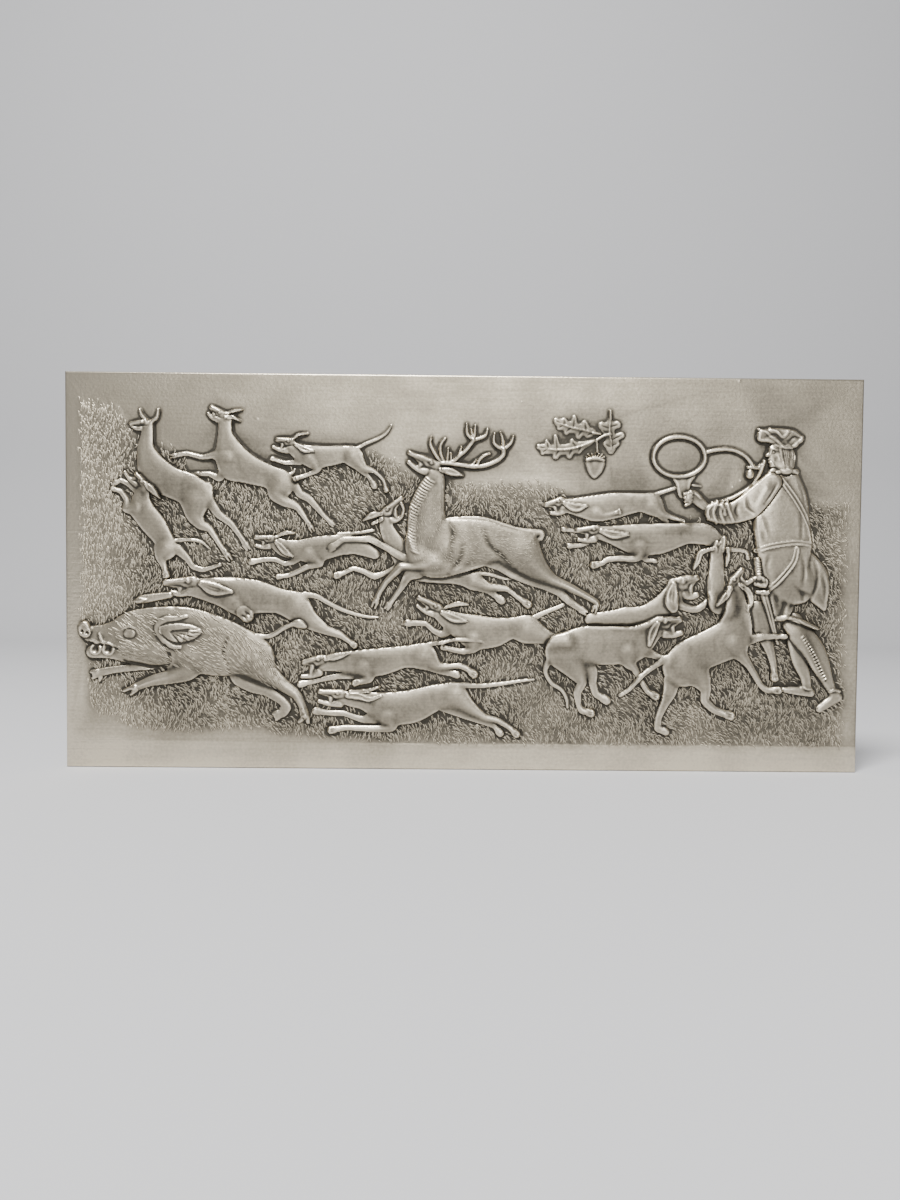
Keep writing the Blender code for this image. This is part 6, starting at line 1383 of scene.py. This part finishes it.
    def mesh(self) -> bpy.types.Mesh:
        """Closed mesh of the fine relief in front, straight edges and a flat back.

        Returns:
            The mesh.
        """
        nx, ny = len(self.sheet.x), len(self.sheet.y)
        x, z = self.place(self.sheet.x, self.sheet.y)
        front = np.empty((ny, nx, 3))
        front[:, :, 0], front[:, :, 1], front[:, :, 2] = x[None, :], -self.depth(), z[:, None]
        index = np.arange(nx * ny).reshape(ny, nx)
        quads = np.stack([index[:-1, :-1], index[:-1, 1:], index[1:, 1:], index[1:, :-1]], -1)
        quads = quads.reshape(-1, 4)
        rim = np.concatenate([index[0, :-1], index[:-1, -1], index[-1, :0:-1], index[:0:-1, 0]])
        behind = front.reshape(-1, 3)[rim] * (1, 0, 1)
        back = np.arange(len(rim)) + nx * ny
        sides = np.stack([np.roll(rim, -1), rim, back, np.roll(back, -1)], -1)
        corners = np.concatenate([quads.ravel(), sides.ravel(), back[::-1]])
        count = len(quads) + len(sides)
        starts = np.append(np.arange(count) * 4, count * 4)
        mesh = bpy.data.meshes.new("casting")
        mesh.vertices.add(nx * ny + len(rim))
        mesh.vertices.foreach_set("co", np.concatenate([front.reshape(-1, 3), behind]).ravel())
        mesh.loops.add(len(corners))
        mesh.loops.foreach_set("vertex_index", corners.astype(np.int32))
        mesh.polygons.add(len(starts))
        mesh.polygons.foreach_set("loop_start", starts.astype(np.int32))
        mesh.update(calc_edges=True)
        return mesh

    def build(self, finish: bpy.types.Material) -> bpy.types.Object:
        """Makes the casting, thins it where it is calm and marks its patina with the painted light and
        shade.

        Args:
            finish: The metal.

        Returns:
            The finished object.
        """
        casting = add_object("hunt_casting", self.mesh())
        thin = casting.modifiers.new("Thin", "DECIMATE")
        thin.ratio = self.triangles / (2 * len(casting.data.polygons))
        casting = plain_copy(casting, "hunt_casting")
        mesh = casting.data
        co = np.empty(len(mesh.vertices) * 3)
        mesh.vertices.foreach_get("co", co)
        co = co.reshape(-1, 3)
        for name, grid in (("patina_and_painted_light", self.patina_and_painted_light), ("turf", self.turf * (1 - self.sheet.cover))):
            values = self.sample(grid, co[:, 0], co[:, 2])
            layer = mesh.attributes.new(name, "FLOAT", "POINT")
            layer.data.foreach_set("value", values.astype(np.float32))
        mesh.materials.clear()
        mesh.materials.append(finish)
        mesh.shade_smooth()
        mesh.set_sharp_from_angle(angle=self.sharp_angle)
        return casting


@dataclass
class StrokeField:
    """Short raised strokes laid over part of the casting, such as grass blades or bristles.

    Args:
        name: Name of the finished piece.
        casting: The casting that they stand on.
        share: Where they grow, from 0 to 1, over the sheet's grid.
        flow: Their direction at each grid point, as an angle from the picture's x in radians.
        length: Stroke length in metres.
        width: Stroke width in metres.
        height: Stroke height in metres.
        density: Strokes in a square metre.
        stray: Largest turn away from the flow, in radians.
        curl: How far the stroke bends sideways, as a share of its length.
        seed: Seed of the scatter.
        step: Spacing of the carrying surface, in picture units.
        soak: How much of the ground's dark the strokes take.
        soak_width: Width over which that dark is evened out, in picture units.
        soak_level: Ground tone, patina with painted light and shade, that leaves the strokes as they are.
        bare_below: Share below which nothing grows.
    """

    name: str
    casting: PlaqueCasting
    share: np.ndarray
    flow: np.ndarray
    length: float = 0.0034
    width: float = 0.00095
    height: float = 0.00066
    density: float = 500000.0
    stray: float = 0.42
    curl: float = 0.16
    seed: int = 3
    step: float = 1.0
    soak: float = 0.5
    soak_width: float = 3.0
    soak_level: float = 0.4
    bare_below: float = 0.04

    def ground(self) -> bpy.types.Mesh:
        """The stretch of surface that carries the strokes, with their direction on it.

        Returns:
            Its mesh.
        """
        k = self.casting.cells(self.step)
        sheet = self.casting.sheet
        j = np.arange(0, len(sheet.y) - 1, k)
        i = np.arange(0, len(sheet.x) - 1, k)
        grid = np.ix_(j, i)
        x, z = self.casting.place(sheet.x[i], sheet.y[j])
        shape = (len(j), len(i))
        co = np.stack([np.broadcast_to(x[None, :], shape), -self.casting.relief[grid],
                       np.broadcast_to(z[:, None], shape)], -1)
        share = self.share[grid]
        index = np.arange(len(j) * len(i)).reshape(shape)
        least = np.minimum.reduce([share[:-1, :-1], share[:-1, 1:], share[1:, 1:], share[1:, :-1]])
        quads = np.stack([index[:-1, :-1], index[:-1, 1:], index[1:, 1:], index[1:, :-1]], -1)
        quads = quads[least > self.bare_below]
        used, faces = np.unique(quads, return_inverse=True)
        mesh = bpy.data.meshes.new(self.name + "_ground")
        mesh.from_pydata(co.reshape(-1, 3)[used].tolist(), [], faces.reshape(-1, 4).tolist())
        angle = self.flow[grid].ravel()[used]
        way = np.stack([np.cos(angle), np.zeros_like(angle), np.sin(angle)], -1)
        layer = mesh.attributes.new("way", "FLOAT_VECTOR", "POINT")
        layer.data.foreach_set("vector", way.astype(np.float32).ravel())
        layer = mesh.attributes.new("share", "FLOAT", "POINT")
        layer.data.foreach_set("value", share.ravel()[used].astype(np.float32))
        return mesh

    def stroke(self, finish: bpy.types.Material) -> bpy.types.Object:
        """One stroke: a thin crested leaf along X that rises towards Z, pointed at both ends.

        Args:
            finish: The metal.

        Returns:
            The stroke as an object.
        """
        stations = ((-0.5, 0.0), (-0.26, 0.9), (0.16, 1.0), (0.5, 0.0))
        verts, shade = [], []
        for t, full in stations:
            side = self.curl * self.length * (4 * t * t - 0.5)
            if full == 0.0:
                verts.append((t * self.length, side, -0.15 * self.height))
                shade.append(0.3)
                continue
            for across, up in ((-0.5, -0.25), (0.0, 1.0), (0.5, -0.25)):
                verts.append((t * self.length, side + across * full * self.width, up * full * self.height))
                shade.append(0.04 if up > 0 else 0.66)
        faces = [(0, 2, 1), (0, 3, 2), (1, 2, 5, 4), (2, 3, 6, 5), (4, 5, 7), (5, 6, 7)]
        mesh = bpy.data.meshes.new(self.name + "_stroke")
        mesh.from_pydata(verts, [], faces)
        mesh.attributes.new("patina_and_painted_light", "FLOAT", "POINT").data.foreach_set("value", shade)
        mesh.materials.append(finish)
        mesh.shade_smooth()
        return add_object(self.name + "_stroke", mesh)

    def tree(self, stroke: bpy.types.Object, finish: bpy.types.Material) -> bpy.types.NodeTree:
        """Node tree that scatters the stroke over the ground, turned along its flow.

        Args:
            stroke: The stroke to scatter.
            finish: The metal.

        Returns:
            The tree.
        """
        tree = bpy.data.node_groups.new(self.name, "GeometryNodeTree")
        face = tree.interface
        face.new_socket("Geometry", in_out="INPUT", socket_type="NodeSocketGeometry")
        for label, kind in (("Density", "NodeSocketFloat"), ("Stray", "NodeSocketFloat"),
                            ("Seed", "NodeSocketInt")):
            face.new_socket(label, in_out="INPUT", socket_type=kind)
        face.new_socket("Geometry", in_out="OUTPUT", socket_type="NodeSocketGeometry")
        node, link = tree.nodes.new, tree.links.new
        start, end = node("NodeGroupInput"), node("NodeGroupOutput")
        scatter = node("GeometryNodeDistributePointsOnFaces")
        grown = node("GeometryNodeInputNamedAttribute")
        grown.data_type = "FLOAT"
        grown.inputs["Name"].default_value = "share"
        thick = node("ShaderNodeMath")
        thick.operation = "MULTIPLY"
        link(grown.outputs["Attribute"], thick.inputs[0])
        link(start.outputs["Density"], thick.inputs[1])
        link(start.outputs["Geometry"], scatter.inputs["Mesh"])
        link(thick.outputs[0], scatter.inputs["Density"])
        link(start.outputs["Seed"], scatter.inputs["Seed"])
        way = node("GeometryNodeInputNamedAttribute")
        way.data_type = "FLOAT_VECTOR"
        way.inputs["Name"].default_value = "way"
        stray = node("FunctionNodeRandomValue")
        stray.data_type = "FLOAT"
        less = node("ShaderNodeMath")
        less.operation = "MULTIPLY"
        less.inputs[1].default_value = -1.0
        link(start.outputs["Stray"], less.inputs[0])
        link(less.outputs[0], stray.inputs[2])
        link(start.outputs["Stray"], stray.inputs[3])
        link(start.outputs["Seed"], stray.inputs["Seed"])
        turn = node("ShaderNodeVectorRotate")
        turn.rotation_type = "Y_AXIS"
        link(way.outputs["Attribute"], turn.inputs["Vector"])
        link(stray.outputs[1], turn.inputs["Angle"])
        along = node("FunctionNodeAlignRotationToVector")
        stand = node("FunctionNodeAlignRotationToVector")
        along.axis, stand.axis, stand.pivot_axis = "X", "Z", "X"
        link(turn.outputs["Vector"], along.inputs["Vector"])
        link(along.outputs["Rotation"], stand.inputs["Rotation"])
        link(scatter.outputs["Normal"], stand.inputs["Vector"])
        size = node("FunctionNodeRandomValue")
        size.data_type = "FLOAT"
        size.inputs[2].default_value, size.inputs[3].default_value = 0.7, 1.25
        size.inputs["Seed"].default_value = self.seed + 1
        source = node("GeometryNodeObjectInfo")
        source.inputs["Object"].default_value = stroke
        copies = node("GeometryNodeInstanceOnPoints")
        link(scatter.outputs["Points"], copies.inputs["Points"])
        link(source.outputs["Geometry"], copies.inputs["Instance"])
        link(stand.outputs["Rotation"], copies.inputs["Rotation"])
        link(size.outputs[1], copies.inputs["Scale"])
        real, dress = node("GeometryNodeRealizeInstances"), node("GeometryNodeSetMaterial")
        dress.inputs["Material"].default_value = finish
        link(copies.outputs["Instances"], real.inputs["Geometry"])
        link(real.outputs["Geometry"], dress.inputs["Geometry"])
        link(dress.outputs["Geometry"], end.inputs["Geometry"])
        return tree

    def build(self, finish: bpy.types.Material) -> bpy.types.Object:
        """Grows the strokes and makes them one plain mesh.

        Args:
            finish: The metal.

        Returns:
            The finished object.
        """
        carrier = add_object(self.name + "_carrier", self.ground())
        stroke = self.stroke(finish)
        grow = carrier.modifiers.new("Grow", "NODES")
        grow.node_group = self.tree(stroke, finish)
        for label, value in (("Density", self.density), ("Stray", self.stray), ("Seed", self.seed)):
            grow[socket_key(grow.node_group, label)] = value
        piece = plain_copy(carrier, self.name)
        bpy.data.objects.remove(stroke, do_unlink=True)
        self.take_ground_tone(piece.data)
        return piece

    def take_ground_tone(self, mesh: bpy.types.Mesh) -> None:
        """Darkens the strokes where the ground round them is dark, from its patina and its painted light
        and shade alike.

        Args:
            mesh: The strokes' mesh.
        """
        spots = np.empty(3 * len(mesh.vertices), np.float32)
        mesh.vertices.foreach_get("co", spots)
        around = blur(self.casting.patina_and_painted_light, self.casting.cells(self.soak_width))
        ground = self.casting.sample(around, spots[0::3], spots[2::3])
        values = mesh.attributes["patina_and_painted_light"].data
        stroke_tone = np.empty(len(values), np.float32)
        values.foreach_get("value", stroke_tone)
        stroke_tone = stroke_tone + self.soak * (ground - self.soak_level)
        values.foreach_set("value", stroke_tone.astype(np.float32))


def socket_key(tree: bpy.types.NodeTree, label: str) -> str:
    """Identifier of a node tree's named input."""
    return next(item.identifier for item in tree.interface.items_tree
                if item.item_type == "SOCKET" and item.in_out == "INPUT" and item.name == label)


def add_object(name: str, mesh: bpy.types.Mesh) -> bpy.types.Object:
    """Puts a mesh into the scene under a name.

    Args:
        name: That name.
        mesh: The mesh.

    Returns:
        The new object.
    """
    made = bpy.data.objects.new(name, mesh)
    bpy.context.scene.collection.objects.link(made)
    return made


def plain_copy(source: bpy.types.Object, name: str) -> bpy.types.Object:
    """Turns an object and its modifiers into one plain mesh object, and removes the source.

    Args:
        source: The object.
        name: Name of the plain one.

    Returns:
        The plain object.
    """
    graph = bpy.context.evaluated_depsgraph_get()
    mesh = bpy.data.meshes.new_from_object(source.evaluated_get(graph))
    bpy.data.objects.remove(source, do_unlink=True)
    made = add_object(name, mesh)
    made.name = name
    mesh.name = name
    return made


@dataclass(frozen=True)
class PewterFinish:
    """Warm grey cast tin alloy: wiped bright on the high edges, dark in the hollows."""

    bright: tuple[float, float, float, float] = (0.70, 0.625, 0.485, 1.0)
    middle: tuple[float, float, float, float] = (0.385, 0.342, 0.262, 1.0)
    dark: tuple[float, float, float, float] = (0.068, 0.062, 0.050, 1.0)
    grain_per_metre: float = 700.0
    brush_per_metre: float = 22.0

    def material(self, name: str = "pewter") -> bpy.types.Material:
        """Builds the node material, which reads the turf attribute and the attribute of patina with painted
        light and shade.

        Args:
            name: Name of the material.

        Returns:
            The material.
        """
        material = bpy.data.materials.new(name)
        material.use_nodes = True
        nodes, link = material.node_tree.nodes, material.node_tree.links.new
        shader = nodes["Principled BSDF"]
        shader.inputs["Metallic"].default_value = 1.0
        place = nodes.new("ShaderNodeTexCoord")
        patina_and_painted_light = nodes.new("ShaderNodeAttribute")
        patina_and_painted_light.attribute_name = "patina_and_painted_light"

        def noise(scale: float, detail: float, source: Any) -> Any:
            """Value of a noise texture.

            Args:
                scale: Its scale.
                detail: Its detail.
                source: Socket of its coordinates.

            Returns:
                The socket of the value.
            """
            node = nodes.new("ShaderNodeTexNoise")
            node.inputs["Scale"].default_value = scale
            node.inputs["Detail"].default_value = detail
            link(source, node.inputs["Vector"])
            return node.outputs["Fac"]

        def combine(a: Any, b: Any, scale: float) -> Any:
            """Adds scale times b to a.

            Args:
                a: Socket of the first value.
                b: Socket of the value that is scaled.
                scale: How much of b is added.

            Returns:
                The socket of the sum.
            """
            node = nodes.new("ShaderNodeMath")
            node.operation = "MULTIPLY_ADD"
            link(b, node.inputs[0])
            node.inputs[1].default_value = scale
            link(a, node.inputs[2])
            return node.outputs[0]

        stretch = nodes.new("ShaderNodeMapping")
        stretch.inputs["Scale"].default_value = (self.brush_per_metre, 1.0, self.brush_per_metre * 40)
        link(place.outputs["Object"], stretch.inputs["Vector"])
        cloud = noise(38.0, 6.0, place.outputs["Object"])
        brush = noise(1.0, 4.0, stretch.outputs["Vector"])
        grain = noise(self.grain_per_metre, 3.0, place.outputs["Object"])
        tone = combine(patina_and_painted_light.outputs["Fac"], cloud, 0.40)
        tone = combine(tone, brush, 0.15)
        tone = combine(tone, grain, 0.24)
        ramp = nodes.new("ShaderNodeValToRGB")
        stops = ramp.color_ramp.elements
        stops[0].position, stops[0].color = 0.30, self.bright
        stops[1].position, stops[1].color = 1.0, self.dark
        middle = stops.new(0.58)
        middle.color = self.middle
        link(tone, ramp.inputs["Fac"])
        link(ramp.outputs["Color"], shader.inputs["Base Color"])
        rough = nodes.new("ShaderNodeMapRange")
        rough.inputs["From Min"].default_value, rough.inputs["From Max"].default_value = 0.3, 1.0
        rough.inputs["To Min"].default_value, rough.inputs["To Max"].default_value = 0.30, 0.60
        link(tone, rough.inputs["Value"])
        link(rough.outputs["Result"], shader.inputs["Roughness"])

        relief = combine(grain, brush, 0.6)
        bump = nodes.new("ShaderNodeBump")
        bump.inputs["Strength"].default_value = 0.35
        bump.inputs["Distance"].default_value = 0.0003
        link(relief, bump.inputs["Height"])
        turf = nodes.new("ShaderNodeAttribute")
        turf.attribute_name = "turf"
        tuft = noise(620.0, 2.5, place.outputs["Object"])
        tufts = nodes.new("ShaderNodeMath")
        tufts.operation = "MULTIPLY"
        link(turf.outputs["Fac"], tufts.inputs[0])
        link(tuft, tufts.inputs[1])
        rise = nodes.new("ShaderNodeBump")
        rise.inputs["Strength"].default_value = 0.4
        rise.inputs["Distance"].default_value = 0.0006
        link(tufts.outputs[0], rise.inputs["Height"])
        link(bump.outputs["Normal"], rise.inputs["Normal"])
        link(rise.outputs["Normal"], shader.inputs["Normal"])
        return material


@dataclass(frozen=True)
class Studio:
    """Plain pale floor, soft light and the camera at the photograph's angle."""

    eye: tuple[float, float, float] = (-0.0101, -0.4560, 0.0017)
    down: float = math.radians(1.89)
    right_turn: float = math.radians(0.40)
    roll: float = math.radians(0.52)
    lens: float = 27.0
    floor_depth: float = 0.75
    cove: float = 0.30
    floor_front: float = -6.0
    half_width: float = 8.0
    backdrop: float = 2.2

    def camera(self) -> None:
        """Places the camera, its lens given for a 36 mm long side."""
        forward = Vector((math.sin(self.right_turn) * math.cos(self.down),
                          math.cos(self.right_turn) * math.cos(self.down), -math.sin(self.down)))
        level = Vector((math.cos(self.right_turn), -math.sin(self.right_turn), 0))
        upright = level.cross(forward)
        right = level * math.cos(self.roll) + upright * math.sin(self.roll)
        up = right.cross(forward)
        turn = Matrix((right, up, -forward)).transposed().to_4x4()
        data = bpy.data.cameras.new("eye")
        data.lens, data.sensor_width, data.clip_start = self.lens, 36.0, 0.01
        seen = bpy.data.objects.new("eye", data)
        bpy.context.scene.collection.objects.link(seen)
        seen.matrix_world = Matrix.Translation(Vector(self.eye)) @ turn
        bpy.context.scene.camera = seen

    def lamp(self, name: str, place: tuple[float, float, float], power: float, size: float) -> None:
        """Adds a soft square light aimed at the plaque.

        Args:
            name: Name of the light.
            place: Where it hangs.
            power: Power in watts.
            size: Side of the square in metres.
        """
        data = bpy.data.lights.new(name, "AREA")
        data.energy, data.size = power, size
        light = bpy.data.objects.new(name, data)
        bpy.context.scene.collection.objects.link(light)
        light.location = place
        light.rotation_euler = (-Vector(place)).to_track_quat("-Z", "Y").to_euler()

    def sweep(self, level: float) -> bpy.types.Object:
        """A floor that curves up into a plain backdrop.

        Args:
            level: Height of the floor.

        Returns:
            The floor.
        """
        profile = [(self.floor_front, 0.0), (self.floor_depth, 0.0)]
        for k in range(1, 13):
            a = math.radians(90 * k / 12)
            profile.append((self.floor_depth + self.cove * math.sin(a), self.cove * (1 - math.cos(a))))
        profile.append((self.floor_depth + self.cove, self.backdrop))
        verts = [(side, y, z) for y, z in profile for side in (-self.half_width, self.half_width)]
        faces = [(2 * k, 2 * k + 1, 2 * k + 3, 2 * k + 2) for k in range(len(profile) - 1)]
        mesh = bpy.data.meshes.new("sweep")
        mesh.from_pydata([(x, y, z + level) for x, y, z in verts], [], faces)
        mesh.shade_smooth()
        paper = bpy.data.materials.new("paper")
        paper.use_nodes = True
        shader = paper.node_tree.nodes["Principled BSDF"]
        shader.inputs["Base Color"].default_value = (0.50, 0.50, 0.51, 1)
        shader.inputs["Roughness"].default_value = 0.9
        mesh.materials.append(paper)
        return add_object("sweep", mesh)

    def build(self, level: float) -> None:
        """Sets the camera, lights, floor and the plain surrounding tone.

        Args:
            level: Height of the floor.
        """
        self.camera()
        self.lamp("key", (-0.26, -0.66, 1.60), 66.0, 0.50)
        self.lamp("front", (0.15, -1.5, 0.50), 11.0, 1.0)
        self.sweep(level)
        world = bpy.data.worlds.new("room")
        world.use_nodes = True
        world.node_tree.nodes["Background"].inputs["Color"].default_value = (0.90, 0.90, 0.91, 1)
        world.node_tree.nodes["Background"].inputs["Strength"].default_value = 0.30
        bpy.context.scene.world = world


def keep(piece: bpy.types.Object) -> None:
    """Reports a piece's triangles, ties it to the plaque's body and hides the imported plaque.

    Args:
        piece: The piece.
    """
    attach(piece, "root")
    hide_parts("plaque")
    piece.data.calc_loop_triangles()
    LOG.info("%s: %d triangles", piece.name, len(piece.data.loop_triangles))


def main() -> None:
    """Builds the casting, its grass and coats, and the studio, in that order."""
    logging.basicConfig(level=logging.INFO, format="%(message)s")
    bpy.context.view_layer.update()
    low, high = (Vector(corner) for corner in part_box("plaque"))
    sheet = Sheet(GRID_CELL)
    HuntingPicture(sheet).draw()
    casting = PlaqueCasting(sheet, low, high)
    pewter = PewterFinish().material()
    keep(casting.build(pewter))
    clear = blur(sheet.cover, casting.cells(CLEAR_WIDTH)) < CLEAR_COVER
    turf, lean = casting.turf * clear, Meadow().lean(sheet)
    stag, boar = StagCoat(), BoarCoat()
    coats = (
        StrokeField("grass", casting, turf, lean),
        StrokeField("stubble", casting, turf, lean + STUBBLE_TURN, length=0.0020, width=0.0008,
                    height=0.00048, density=150000, seed=8),
        StrokeField("stag_hair", casting, stag.share(sheet), stag.lie(sheet), length=0.0022,
                    width=0.0005, height=0.00016, density=500000, stray=0.2, curl=0.05, seed=12),
        StrokeField("bristles", casting, boar.share(sheet), boar.lie(sheet), length=0.0050,
                    width=0.00095, height=0.00058, density=330000, stray=0.16, curl=0.08, seed=5))
    for coat in coats:
        keep(coat.build(pewter))
    Studio().build(low.z)


if __name__ == "__main__":
    main()
